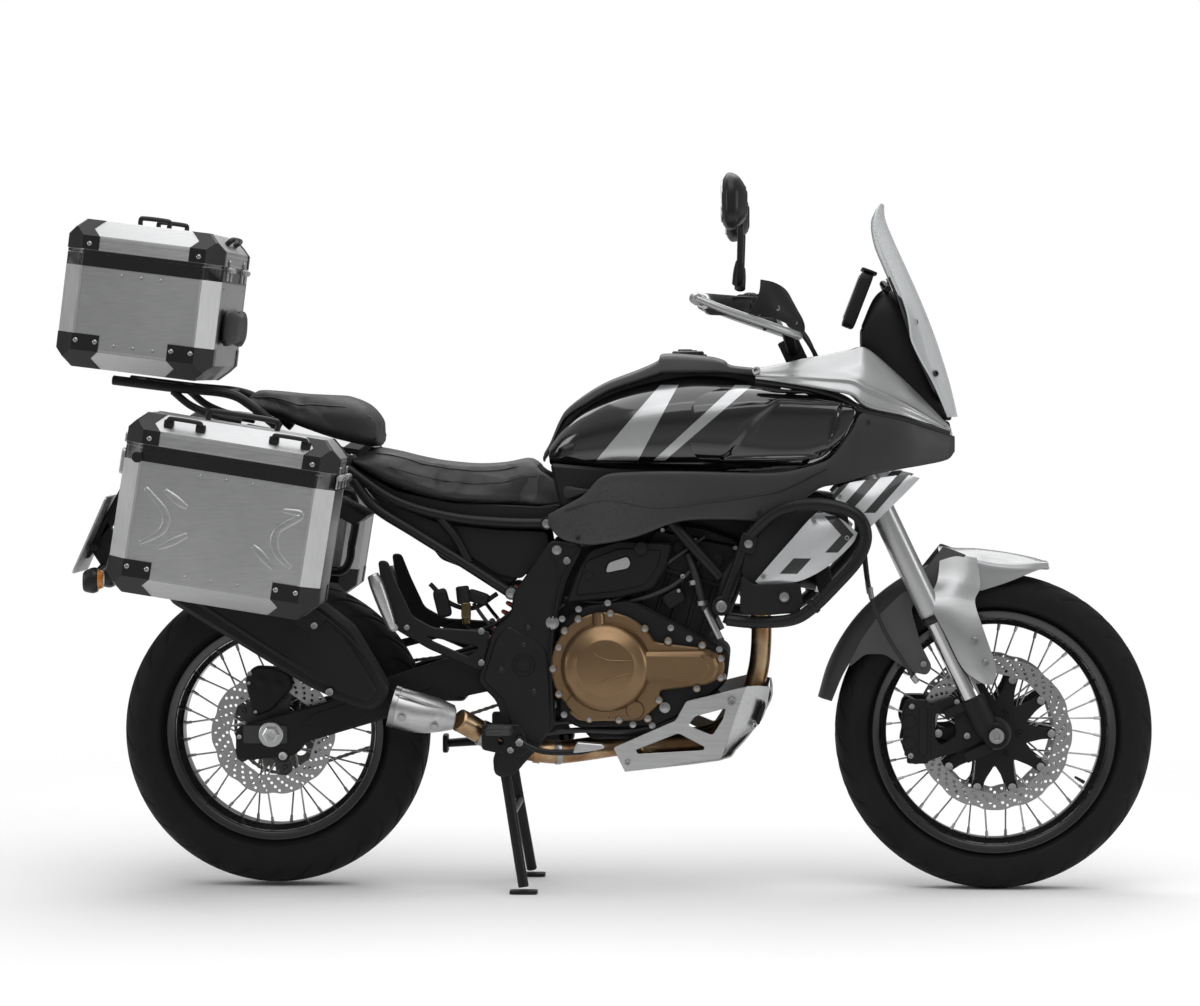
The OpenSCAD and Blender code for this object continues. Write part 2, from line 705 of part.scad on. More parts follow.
// Solid box of a case from z = 0 up to h, whose far end is drawn in by a chamfer
module case_solid(l, w, h, c, foot) {
    intersection() {
        linear_extrude(h) case_plan(l, w, c);
        translate([0, w / 2 + 1, 0]) rotate([90, 0, 0]) linear_extrude(w + 2)
            polygon([[-l / 2, 0], [l / 2, 0], [l / 2, h - foot], [l / 2 - foot, h], [-l / 2 + foot, h],
                     [-l / 2, h - foot]]);
        translate([-l / 2 - 1, 0, 0]) rotate([90, 0, 90]) linear_extrude(l + 2)
            polygon([[-w / 2, 0], [w / 2, 0], [w / 2, h - foot], [w / 2 - foot, h], [-w / 2 + foot, h],
                     [-w / 2, h - foot]]);
    }
}

// Open case: the box above less the same box one wall smaller
module case_shell(l, w, h, foot) {
    difference() {
        case_solid(l, w, h, case_chamfer, foot);
        translate([0, 0, -0.01]) case_solid(l - 2 * case_wall, w - 2 * case_wall, h - case_wall,
                                            case_chamfer, foot);
    }
}

// Hinge on the front edge of a case: barrels on the case carry the pin, one barrel on the lid turns on it
module case_hinge_fixed(l, w) {
    for (y = [-w / 4, w / 4]) {
        for (e = [-1, 1]) difference() {
            hinge_barrel(l, y + e * hinge_len, hinge_len - body_gap, 0);
            cross_bar(l / 2 + hinge_r + 1, 0, hinge_pin_r - 0.5, y - 60, y + 60);
        }
        cross_bar(l / 2 + hinge_r + 1, 0, hinge_pin_r, y - 1.5 * hinge_len, y + 1.5 * hinge_len);
    }
}

// Barrel with a foot to the case wall; its centre line is just ahead of the wall at the parting line
module hinge_barrel(l, y, len, up) {
    cross_bar(l / 2 + hinge_r + 1, 0, hinge_r, y - len / 2, y + len / 2);
    translate([l / 2 - case_wall / 2, y - len / 2, up > 0 ? 0 : -14]) cube([case_wall / 2 + 3, len, 14]);
}

module case_body(l, w, h) {
    mirror([0, 0, 1]) case_shell(l, w, h, case_foot_chamfer);
    case_hinge_fixed(l, w);
}

module case_lid(l, w) {
    translate([0, 0, body_gap]) case_shell(l, w, case_lid_h, lid_chamfer);
    for (y = [-w / 4, w / 4]) difference() {
        union() {
            cross_bar(l / 2 + hinge_r + 1, 0, hinge_r, y - hinge_len / 2 + body_gap,
                y + hinge_len / 2 - body_gap);
            translate([l / 2 - case_wall / 2, y - hinge_len / 2 + body_gap, 1])
                cube([case_wall / 2 + 3, hinge_len - 2 * body_gap, 13]);
        }
        cross_bar(l / 2 + hinge_r + 1, 0, hinge_pin_r + running_gap, y - hinge_len, y + hinge_len);
    }
}

module at_top_case() {
    place() translate([top_case_x, 0, top_case_z]) rotate([0, case_tilt, 0]) children();
}

module at_pannier(side) {
    place() translate([pannier_x, side * pannier_mid_y, pannier_z]) rotate([0, pannier_tilt, 0]) children();
}

module top_case() {
    color("#b4b6b8") at_top_case() case_body(top_case_l, top_case_w, top_case_h);
}

module top_case_lid() {
    color("#b4b6b8") at_top_case() case_lid(top_case_l, top_case_w);
}

module right_pannier() {
    color("#b4b6b8") at_pannier(-1) case_body(pannier_l, pannier_w, pannier_h);
}

module left_pannier() {
    color("#b4b6b8") at_pannier(1) case_body(pannier_l, pannier_w, pannier_h);
}

module right_pannier_lid() {
    color("#b4b6b8") at_pannier(-1) case_lid(pannier_l, pannier_w);
}

module left_pannier_lid() {
    color("#b4b6b8") at_pannier(1) case_lid(pannier_l, pannier_w);
}

// ---- tail, footrests and small parts ----

module tail_plate_holder() {
    color("#1f2022") place() {
        side_plate([[-92, 940], [-92, 972], [-150, 960], [-330, 838], [-412, 690], [-402, 684], [-310, 806],
                    [-150, 915]], -14, 14);
        side_plate([[-404, 700], [-366, 770], [-350, 730], [-374, 660]], -14, 14);
        // blank plate
        side_plate([[-344, 820], [-349, 823], [-424, 656], [-419, 654]], -90, 90);
    }
}

module tail_lamp() {
    color("#7d1214") place() side_plate([[-150, 962], [-206, 926], [-218, 940], [-176, 976]], -70, 70);
}

module indicators() {
    color("#26272a") place() both_sides() {
        rod([-370, -16, 668], [-374, -92, 652], 12);
        loft([for (s = [[-396, 622, 664, -122, -84], [-374, 618, 672, -128, -80],
            [-352, 628, 668, -122, -86]])
            oval(s[0], s[1], s[2], s[3], s[4], 2.4, 14)]);
    }
}

module footrests() {
    color("#9b9da0") place() both_sides() {
        // rider's footrest and its hanger below the frame plate
        side_plate([[440, 300], [440, 352], [520, 352], [540, 300], [520, 282], [478, 292]],
                   plate_out_y + body_gap, plate_out_y + 10);
        translate([452, plate_out_y + 9, 336]) cube([56, 92, 14]);
        // passenger's footrest, folded up, on an arm from the frame plate
        side_plate([[458, 545], [340, 552], [296, 576], [266, 640], [246, 690], [226, 690], [236, 620],
                    [262, 548], [330, 508], [440, 462]], plate_out_y + body_gap, plate_out_y + 10);
        rod([258, -plate_out_y - 22, 548], [216, -plate_out_y - 26, 664], 26);
        rod([262, -plate_out_y - 9, 552], [260, -plate_out_y - 24, 552], 16);
    }
}

module foot_levers() {
    color("#3a3b3e") place() {
        // brake pedal
        tube([[520, -174, 318], [570, -188, 300], [640, -198, 300], [672, -200, 306]], 12, 3, 8);
        translate([664, -222, 300]) cube([32, 36, 9]);
        // gear lever
        tube([[530, 174, 318], [580, 190, 322], [650, 200, 336], [690, 204, 344]], 12, 3, 8);
        rod([690, 196, 346], [690, 236, 346], 16);
    }
}

// Outline of the chain loop at a distance out from the two sprockets
module chain_outline(gap) {
    r1 = rear_sprocket_d / 2 + gap;
    r2 = front_sprocket_d / 2 + gap;
    hull() {
        translate([rear_axle_x, rear_z]) circle(r1);
        translate([sprocket_x, sprocket_z]) circle(r2);
    }
}

module drive_chain() {
    color("#3c3a36") place() {
        translate([0, chain_y + chain_t / 2, 0]) rotate([90, 0, 0]) linear_extrude(chain_t) difference() {
            chain_outline(chain_h * 0.6);
            chain_outline(body_gap);
        }
        cross_bar(sprocket_x, sprocket_z, front_sprocket_d / 2, chain_y - 3, chain_y + 3);
        cross_bar(sprocket_x, sprocket_z, 14, 72 + body_gap, chain_y);
    }
}

module rear_brake_caliper() {
    top = rear_disc_d / 2 + 12;
    color("#1b1b1d") place() translate([rear_axle_x, 0, rear_z]) difference() {
        side_plate([[-62, 34], [-66, top - 32], [-30, top], [44, top - 8], [80, top - 50], [60, 84], [20, 76],
                    [0, 60]],
                   -beam_in_y - 10, -66);
        // slot for the disc
        cross_bar(0, 0, rear_disc_d / 2 + 2, -rear_disc_y - disc_t / 2 - 1.5,
            -rear_disc_y + disc_t / 2 + 1.5);
        // cut back from the swingarm beam
        side_plate([[-90, 0], [-90, 30], [-48, 36], [112, 80], [112, 0]], -beam_in_y - 11,
            -beam_in_y + body_gap);
    }
}

// ---- wheels ----

// Tyre section turned round its axle, seated just off the rim
module tyre(d, w, bead_d, lip_w) {
    r = d / 2;
    b = bead_d / 2 + body_gap;
    h = r - b;
    seat = lip_w / 2 - 8;
    rotate([90, 0, 0]) rotate_extrude($fn = 96)
        polygon([[b, -seat], [b, seat], [b + rim_lip + 3, seat], [b + h * 0.4, w / 2 - 1],
                 [b + h * 0.58, w / 2],
                 [b + h * 0.72, w * 0.47], [b + h * 0.86, w * 0.38], [b + h * 0.95, w * 0.25],
                 [r - 1, w * 0.12],
                 [r, 0], [r - 1, -w * 0.12], [b + h * 0.95, -w * 0.25], [b + h * 0.86, -w * 0.38],
                 [b + h * 0.72, -w * 0.47], [b + h * 0.58, -w / 2], [b + h * 0.4, -w / 2 + 1],
                 [b + rim_lip + 3, -seat]]);
}

// Rim channel with a lip on each side
module rim(bead_d, w) {
    b = bead_d / 2;
    seat = w / 2 - 8;
    rotate([90, 0, 0]) rotate_extrude($fn = 96)
        polygon([[b - rim_depth, -w * 0.2], [b - rim_depth, w * 0.2], [b - 7, seat - 6], [b - 5, w / 2 - 4],
                 [b + rim_lip, w / 2], [b + rim_lip, seat + 1], [b, seat + 1], [b, seat - 5],
                 [b - rim_depth + 6, w * 0.16],
                 [b - rim_depth + 6, -w * 0.16], [b, -seat + 5], [b, -seat - 1], [b + rim_lip, -seat - 1],
                 [b + rim_lip, -w / 2], [b - 5, -w / 2 + 4], [b - 7, -seat + 6]]);
}

// Angle of the first spoke from straight ahead
first_spoke = -3;

// Crossing spokes from two hub flanges out to the rim. Those that lean forward pass outside the others.
module spokes(flange_r, flange_y, rim_r, rim_y) {
    for (i = [0:spoke_count - 1]) {
        side = i % 2 == 0 ? 1 : -1;
        lean = floor(i / 2) % 2 == 0 ? 1 : -1;
        a = first_spoke + 360 * i / spoke_count;
        out = lean * (spoke_d / 2 + body_gap);
        from = [flange_r * cos(a + lean * 34), side * (flange_y + out), flange_r * sin(a + lean * 34)];
        to = [rim_r * cos(a), side * (rim_y + out), rim_r * sin(a)];
        spoke_rod(from, to);
    }
}

module spoke_rod(a, b) {
    v = b - a;
    translate(a) rotate([0, acos(v[2] / norm(v)), atan2(v[1], v[0])])
        cylinder(h = norm(v), d = spoke_d, $fn = 6);
}

module rear_tyre() {
    color("#1c1c1d") place() translate([rear_axle_x, 0, rear_z])
        tyre(rear_tyre_d, rear_tyre_w, rear_rim_d, rear_rim_w);
}

module front_tyre() {
    color("#1c1c1d") place() translate([front_axle_x, 0, front_z])
        tyre(front_tyre_d, front_tyre_w, front_rim_d, front_rim_w);
}

module rear_wheel() {
    color("#18181a") place() translate([rear_axle_x, 0, rear_z]) difference() {
        union() {
            rim(rear_rim_d, rear_rim_w);
            cross_bar(0, 0, 34, -47, 47);
            both_sides() cross_bar(0, 0, 58, 37, 47);
            cross_bar(0, 0, 40, -rear_disc_y + disc_t / 2, -45);
            cross_bar(0, 0, 40, 45, chain_y - 6);
            // sprocket on its carrier
            cross_bar(0, 0, rear_sprocket_d / 2 - 22, chain_y - 6, chain_y - 2);
            cross_bar(0, 0, rear_sprocket_d / 2, chain_y - 3, chain_y + 3);
            cross_bar(0, 0, 22, -beam_in_y + body_gap * 4, beam_in_y - body_gap * 4);
            spokes(52, 42, rear_rim_d / 2 - rim_depth + 3, 12);
        }
        cross_bar(0, 0, axle_d / 2 + running_gap, -beam_in_y, beam_in_y);
    }
}

module rear_disc() {
    color("silver") place() translate([rear_axle_x, 0, rear_z]) difference() {
        cross_bar(0, 0, rear_disc_d / 2, -rear_disc_y - disc_t / 2, -rear_disc_y + disc_t / 2);
        cross_bar(0, 0, 30, -100, 0);
        for (a = [0:72:288]) translate([62 * cos(a), 0, 62 * sin(a)]) cross_bar(0, 0, 20, -100, 0);
    }
}

module front_wheel() {
    color("#18181a") place() translate([front_axle_x, 0, front_z]) difference() {
        union() {
            rim(front_rim_d, front_rim_w);
            cross_bar(0, 0, 26, -44, 44);
            both_sides() cross_bar(0, 0, 50, 32, 42);
            both_sides() cross_bar(0, 0, 38, 41, front_disc_y - disc_t / 2);
            both_sides() disc_carrier();
            cross_bar(0, 0, 18, -front_hub_y, front_hub_y);
            spokes(45, 37, front_rim_d / 2 - rim_depth + 3, 10);
        }
        cross_bar(0, 0, axle_d / 2 + running_gap, -fork_spacing, fork_spacing);
    }
}

front_hub_y = (fork_spacing - fork_outer_d) / 2 - 3;
disc_ring_w = 38;
carrier_r = front_disc_d / 2 - disc_ring_w + 8;

// Spider that carries one floating disc ring
module disc_carrier() {
    inner = front_disc_y - disc_t / 2 - 6;
    difference() {
        cross_bar(0, 0, carrier_r, inner, inner + 6);
        for (a = [18:36:342]) translate([84 * cos(a), 0, 84 * sin(a)]) cross_bar(0, 0, 17, inner - 1,
            inner + 7);
    }
}

module front_discs() {
    color("silver") place() translate([front_axle_x, 0, front_z]) both_sides() difference() {
        cross_bar(0, 0, front_disc_d / 2, front_disc_y - disc_t / 2, front_disc_y + disc_t / 2);
        cross_bar(0, 0, front_disc_d / 2 - disc_ring_w, 0, front_disc_y + disc_t);
    }
}

// ---- everything that steers ----

module front_axle() {
    color("silver") place() translate([front_axle_x, 0, front_z]) {
        out = (fork_spacing + fork_outer_d) / 2 + 1 + body_gap;
        cross_bar(0, 0, axle_d / 2, -out - 7, out + 7);
        both_sides() cross_bar(0, 0, axle_nut_r, out, out + 6);
    }
}

module fork_yokes() {
    color("#242527") place() on_steering() {
        for (y = [[yoke_low_s, yoke_low_t], [yoke_high_s, yoke_high_t]])
            translate([0, 0, y[0]]) difference() {
                union() {
                    linear_extrude(y[1]) polygon([[-26, -36], [fork_offset - 22, -fork_spacing / 2],
                        [fork_offset + 26, -fork_spacing / 2], [fork_offset + 16, 0],
                        [fork_offset + 26, fork_spacing / 2], [fork_offset - 22, fork_spacing / 2],
                            [-26, 36]]);
                    cylinder(h = y[1], r = 38);
                    both_sides() translate([fork_offset, fork_spacing / 2, 0])
                        cylinder(h = y[1], r = fork_outer_d / 2 + 8);
                }
                both_sides() translate([fork_offset, fork_spacing / 2, -1])
                    cylinder(h = y[1] + 2, r = fork_outer_d / 2 + 0.1);
            }
        translate([0, 0, yoke_low_s]) cylinder(h = yoke_high_s - yoke_low_s + 1, r = stem_r);
    }
}

module fork_legs() {
    color("#bfc1c3") place() {
        on_steering() both_sides() translate([fork_offset, fork_spacing / 2, 0]) {
            translate([0, 0, fork_seam_s]) cylinder(h = fork_top_s - fork_seam_s, d = fork_outer_d);
            translate([0, 0, fork_shoe_s - 1]) cylinder(h = fork_seam_s - fork_shoe_s + 2, d = fork_inner_d);
            difference() {
                union() {
                    translate([0, 0, fork_axle_s + 10])
                        cylinder(h = fork_shoe_s - fork_axle_s - 10, d = fork_outer_d + 1);
                    translate([axle_lead, 0, fork_axle_s]) rotate([90, 0, 0])
                        translate([0, 0, -22]) cylinder(h = 44, r = 27);
                    // lugs for the brake caliper
                    translate([-66, -8, fork_axle_s - 28]) cube([64, 16, 22]);
                    translate([-66, -8, fork_axle_s + 72]) cube([50, 16, 22]);
                }
                translate([axle_lead, -60, fork_axle_s]) rotate([-90, 0, 0])
                    cylinder(h = 120, r = axle_d / 2 + running_gap);
            }
        }
    }
}

guard_r = front_r + 42;

// Mudguard: places round the tyre as an angle from straight ahead, with how far it drops over each side
guard_stations = [[169, 26], [158, 34], [147, 40], [136, 40], [124, 36], [113, 32], [101, 26], [90, 20],
    [80, 14], [71, 6]];

module front_mudguard() {
    color("#a9abad") place() translate([front_axle_x, 0, front_z]) {
        sheet([for (s = guard_stations) let (half = front_tyre_w / 2 + 14 - max(0, 90 - s[0]) * 1.6)
            [for (k = [-3:3]) let (u = k / 3, r = guard_r - s[1] * pow(abs(u), 3))
                [r * cos(s[0]), half * u, r * sin(s[0])]]], panel_t);
        // stays from the guard down to the fork shoes
        both_sides() guard_stay();
    }
}

module guard_stay() {
    y = front_tyre_w / 2 + 16;
    sheet([[[-118, -y, 318], [-104, -y, 290], [-86, -y - 3, 262], [-48, -y - 9, 178]],
           [[-90, -y, 340], [-72, -y, 312], [-52, -y - 3, 262], [-28, -y - 9, 150]],
           [[-52, -y + 2, 350], [-42, -y, 322], [-34, -y - 3, 262], [-12, -y - 9, 110]],
           [[-30, -y + 3, 352], [-22, -y, 322], [-14, -y - 3, 262], [0, -y - 9, 116]]], panel_t);
}

// How far behind the fork leg the front calipers reach, round the edge of their disc
front_caliper_reach = front_disc_d / 2 - 8;

module front_brake_calipers() {
    color("#1b1b1d") place() both_sides() difference() {
        on_steering() translate([fork_offset, -fork_spacing / 2, fork_axle_s]) rotate([90, 0, 0])
            translate([0, 0, -52]) linear_extrude(46)
                polygon([[-70, -28], [-70, 94], [-92, 110], [12 - front_caliper_reach, 112],
                         [-front_caliper_reach, 84], [-front_caliper_reach, -14],
                         [14 - front_caliper_reach, -40], [-92, -40]]);
        translate([front_axle_x, 0, front_z])
            union() {
                cross_bar(0, 0, front_disc_d / 2 + 2, -front_disc_y - disc_t / 2 - 1.5,
                          -front_disc_y + disc_t / 2 + 1.5);
                cross_bar(0, 0, carrier_r + 5, -front_disc_y, 0);
            }
    }
}

module brake_hoses() {
    color("#161617") place() both_sides()
        tube([[1222, -34, 848], [1226, -60, 790], [1230, -82, 710], [1242, -94, 620], [1270, -101, 545],
              [1310, -104, 480], [1332, -92, 446]], 8, 3, 8);
}

// Handlebar bends on one side: from the clamp, up and out, then back along the grip
bar_points = [[4.5, -62, bar_clamp_s], [12, -170, bar_clamp_s + 76], [-22, -246, bar_clamp_s + 108],
    [-118, -bar_width / 2, bar_clamp_s + 160]];

module handlebar() {
    color("#222325") place() on_steering() {
        rod([bar_points[0][0], -62, bar_clamp_s], [bar_points[0][0], 62, bar_clamp_s], bar_mid_d);
        both_sides() {
            tube([bar_points[0] + [0, 12, 0], bar_points[0] - [0, 6, 0], bar_points[1], bar_points[2],
                  bar_points[2] + 30 * grip_way, bar_points[3]], bar_d, 3, 12, [1, 0, 0]);
            rod(grip_start, bar_points[3] - 12 * grip_way, grip_d);
            rod(switch_start, grip_start - 2 * grip_way, 44);
            // clamp block standing on the top yoke
            translate([-18, -46, yoke_high_s + yoke_high_t + body_gap])
                cube([44, 20, bar_clamp_s - yoke_high_s - yoke_high_t + 20]);
        }
    }
}

grip_way = unit(bar_points[3] - bar_points[2]);
grip_start = bar_points[2] + 62 * grip_way;
switch_start = bar_points[2] + 14 * grip_way;

module hand_guards() {
    color("#8d8f92") place() both_sides() {
        tube([[886, -448, 1226], [940, -443, 1204], [1020, -416, 1176], [1078, -372, 1156],
              [1088, -330, 1152], [1066, -262, 1164], [1052, -214, 1190]], 20, 3, 10);
        sheet([[[1000, -424, 1202], [1012, -424, 1232], [1016, -420, 1258]],
               [[1040, -404, 1190], [1042, -402, 1222], [1040, -398, 1254]],
               [[1078, -372, 1172], [1074, -366, 1206], [1062, -360, 1236]],
               [[1100, -334, 1160], [1092, -326, 1182], [1080, -322, 1204]]], 3);
    }
}

module mirrors() {
    color("#222325") place() both_sides() {
        rod([968, -262, 1258], [972, -288, 1300], 22);
        rod([972, -288, 1298], [974, -352, 1372], 12);
        loft([for (s = [[936, 1372, 1462, -446, -316], [950, 1360, 1476, -462, -300],
                        [970, 1368, 1466, -452, -312], [990, 1392, 1436, -414, -350]])
            oval(s[0], s[1], s[2], s[3], s[4], 2.6, 20)]);
    }
}

// ---- stands ----

stand_foot_x = 526;
stand_leg_y = 112;

module centre_stand() {
    color("#1b1c1e") place() {
        cross_bar(stand_x, stand_pivot_z, 15, -plate_in_y + 2, plate_in_y - 2);
        cross_bar(stand_x, stand_pivot_z, stand_pin_r, -plate_out_y - 3, plate_out_y + 3);
        both_sides() {
            rod([stand_x, -stand_leg_y, stand_pivot_z], [stand_foot_x, -142, 16], stand_tube_d);
            translate([stand_foot_x - 30, -158, 0]) cube([60, 34, 8]);
            translate([stand_foot_x - 8, -152, 7]) cube([18, 20, 14]);
        }
        rod([stand_x + 17, -stand_leg_y - 6, 166], [stand_x + 17, stand_leg_y + 6, 166], 18);
    }
}

side_stand_x = 600;
side_stand_z = 300;
side_stand_y = 176;
side_stand_pin_r = 6;

module side_stand() {
    color("#1b1c1e") place() {
        cross_bar(side_stand_x, side_stand_z, 16, side_stand_y - 9, side_stand_y + 9);
        cross_bar(side_stand_x, side_stand_z, side_stand_pin_r, plate_in_y - 3, side_stand_y);
        rod([side_stand_x, side_stand_y, side_stand_z],
            [side_stand_x - 262, side_stand_y + 34, side_stand_z - 22], 20);
        translate([side_stand_x - 270, side_stand_y + 14, side_stand_z - 42]) cube([12, 44, 40]);
    }
}

// ---- the machine ----

main_frame();
subframe();
swingarm();
rear_axle();
rear_shock();
engine_block();
clutch_cover();
left_engine_covers();
exhaust_pipes();
exhaust_heat_shield();
silencer();
radiator();
skid_plate();
crash_bars();
fuel_tank();
tank_side_wings();
tank_top_cover();
side_panels();
front_side_cowls();
nose_cowl();
headlight();
windscreen();
instrument_display();
radiator_shrouds();
rider_seat();
pillion_seat();
luggage_rack();
pannier_racks();
top_case();
right_pannier();
left_pannier();
tail_plate_holder();
tail_lamp();
indicators();
footrests();
foot_levers();
drive_chain();
rear_brake_caliper();
rear_tyre();
rear_wheel();
rear_disc();
front_tyre();
front_wheel();
front_discs();
front_axle();
fork_yokes();
fork_legs();
front_mudguard();
front_brake_calipers();
brake_hoses();
handlebar();
hand_guards();
mirrors();
top_case_lid();
right_pannier_lid();
left_pannier_lid();
centre_stand();
side_stand();
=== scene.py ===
import math

import bmesh
import bpy
import numpy as np
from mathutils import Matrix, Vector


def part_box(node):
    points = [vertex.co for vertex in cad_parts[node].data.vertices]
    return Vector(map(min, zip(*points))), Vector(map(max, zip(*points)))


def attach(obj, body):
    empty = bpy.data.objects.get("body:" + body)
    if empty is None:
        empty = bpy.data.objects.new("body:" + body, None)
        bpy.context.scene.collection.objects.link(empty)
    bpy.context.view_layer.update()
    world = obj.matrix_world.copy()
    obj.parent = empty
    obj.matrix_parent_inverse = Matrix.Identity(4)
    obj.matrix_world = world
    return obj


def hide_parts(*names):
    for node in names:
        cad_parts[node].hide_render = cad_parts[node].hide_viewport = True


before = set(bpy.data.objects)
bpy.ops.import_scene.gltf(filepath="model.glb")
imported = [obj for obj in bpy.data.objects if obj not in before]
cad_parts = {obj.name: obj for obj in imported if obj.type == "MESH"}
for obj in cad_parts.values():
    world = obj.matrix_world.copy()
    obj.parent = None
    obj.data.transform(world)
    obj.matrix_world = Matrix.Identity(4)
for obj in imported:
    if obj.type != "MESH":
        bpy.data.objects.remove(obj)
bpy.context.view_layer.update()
scene = bpy.context.scene

# All lengths below are millimetres from a datum on the ground under the rear axle: X forward, Y left, Z up
rearLow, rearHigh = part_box("rear_axle")
frontLow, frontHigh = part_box("front_axle")
datumX = (rearLow.x + rearHigh.x) / 2
rearAxle = np.array([0.0, 0.0, (rearLow.z + rearHigh.z) * 500])
frontAxle = np.array([((frontLow.x + frontHigh.x) / 2 - datumX) * 1000, 0.0,
    (frontLow.z + frontHigh.z) * 500])


def toFrame(points):  # millimetres from the datum become metres in the frame
    return np.asarray(points, float) / 1000 + np.array([datumX, 0, 0])


# A table of numbers written as text, its rows parted by semicolons
def rows(text):
    return np.array([row.split() for row in text.split(";")], float)


# A cubic through each pair of points, its slopes taken from their neighbours
def catmull(points, steps):
    p = np.asarray(points, float)
    q = np.vstack([2 * p[:1] - p[1:2], p, 2 * p[-1:] - p[-2:-1]])
    t = np.arange(steps)[:, None, None] / steps
    a, b, c, d = q[:-3][None], q[1:-2][None], q[2:-1][None], q[3:][None]
    spans = 0.5 * (2 * b + (c - a) * t + (2 * a - 5 * b + 4 * c - d) * t ** 2 + (3 * b - a - 3 * c + d)
        * t ** 3)
    return np.vstack([spans.transpose(1, 0, 2).reshape(-1, p.shape[1]), p[-1:]])


# A cubic along the rows of a grid, then another along its columns
def smoothGrid(control, stepsU, stepsV):
    g = np.asarray(control, float)
    n, m, k = g.shape
    rows = catmull(g.reshape(n, m * k), stepsU).reshape(-1, m, k)
    columns = catmull(rows.transpose(1, 0, 2).reshape(m, -1), stepsV)
    return columns.reshape(-1, rows.shape[0], k).transpose(1, 0, 2)


# Each corner becomes a quadratic arc that starts and ends one radius away, or less on a short side
def roundCorners(outline, radius, steps=5):
    p = np.asarray(outline, float)
    back, ahead = np.roll(p, 1, 0) - p, np.roll(p, -1, 0) - p
    backLong, aheadLong = np.linalg.norm(back, axis=1), np.linalg.norm(ahead, axis=1)
    cut = np.minimum(np.broadcast_to(radius, backLong.shape), 0.45 * np.minimum(backLong, aheadLong))[:, None]
    start, end = p + back / backLong[:, None] * cut, p + ahead / aheadLong[:, None] * cut
    t = np.linspace(0, 1, steps)[None, :, None]
    arc = (1 - t) ** 2 * start[:, None] + 2 * t * (1 - t) * p[:, None] + t ** 2 * end[:, None]
    return arc.reshape(-1, p.shape[1])


def circle(x, z, r, n=24):
    a = fullTurn(n)
    return np.column_stack([x + r * np.cos(a), z + r * np.sin(a)])


# A shape is its points, its quads and its triangles. Rows of points become a skin, closed round each row,
# with a fan of triangles over each end.
def skin(g, closed=True, caps=True, loop=False):
    n, m, _ = g.shape
    i = np.arange(n if loop else n - 1)[:, None]
    j = np.arange(m if closed else m - 1)[None, :]
    i2, j2 = (i + 1) % n, (j + 1) % m
    quads = np.stack([i * m + j, i2 * m + j, i2 * m + j2, i * m + j2], -1).reshape(-1, 4)
    points, tris = g.reshape(-1, 3), np.zeros((0, 3), int)
    if caps and not loop:
        k = np.arange(m)
        points = np.vstack([points, g[0].mean(0), g[-1].mean(0)])
        first = np.stack([np.full(m, n * m), k, (k + 1) % m], 1)
        last = np.stack([np.full(m, n * m + 1), (n - 1) * m + (k + 1) % m, (n - 1) * m + k], 1)
        tris = np.vstack([first, last])
    return points, quads, tris


# A sheet of points and its copy one thickness behind, joined round the edge; behind is against the cross
# product of the two directions of the grid
def panel(g, thickness):
    n, m, _ = g.shape
    normal = np.cross(np.gradient(g, axis=0), np.gradient(g, axis=1))
    normal /= np.maximum(np.linalg.norm(normal, axis=2, keepdims=True), 1e-9)
    points = np.vstack([g.reshape(-1, 3), (g - normal * thickness).reshape(-1, 3)])
    top = skin(g, closed=False, caps=False)[1]
    index = np.arange(n * m).reshape(n, m)
    rim = np.concatenate([index[0, :], index[1:, -1], index[-1, -2::-1], index[-2:0:-1, 0]])
    after = np.roll(rim, -1)
    edge = np.stack([rim, after, after + n * m, rim + n * m], 1)
    return points, np.vstack([top, top[:, ::-1] + n * m, edge]), np.zeros((0, 3), int)


# The signed volume of a closed shape says whether its faces point outwards
def outward(shape):
    points, quads, tris = shape
    corners = (points - points.mean(0))[np.vstack([quads[:, :3], quads[:, [0, 2, 3]], tris])]
    volume = np.einsum("ij,ij->", corners[:, 0], np.cross(corners[:, 1], corners[:, 2]))
    return shape if volume > 0 else (points, quads[:, ::-1], tris[:, ::-1])


def mirrored(shape):
    return shape[0] * np.array([1, -1, 1]), shape[1], shape[2]


def both(*shapes):  # the shapes and their mirror images on the other side
    return list(shapes) + [mirrored(s) for s in shapes]


def moved(shape, x=0, y=0, z=0):
    return shape[0] + np.array([x, y, z]), shape[1], shape[2]


def turnUp(degrees):  # turns a row of points from X towards Z when it multiplies them
    c, s = math.cos(math.radians(degrees)), math.sin(math.radians(degrees))
    return np.array([[c, 0, -s], [0, 1, 0], [s, 0, c]])


def fullTurn(n):
    return np.linspace(0, 2 * np.pi, n, endpoint=False)


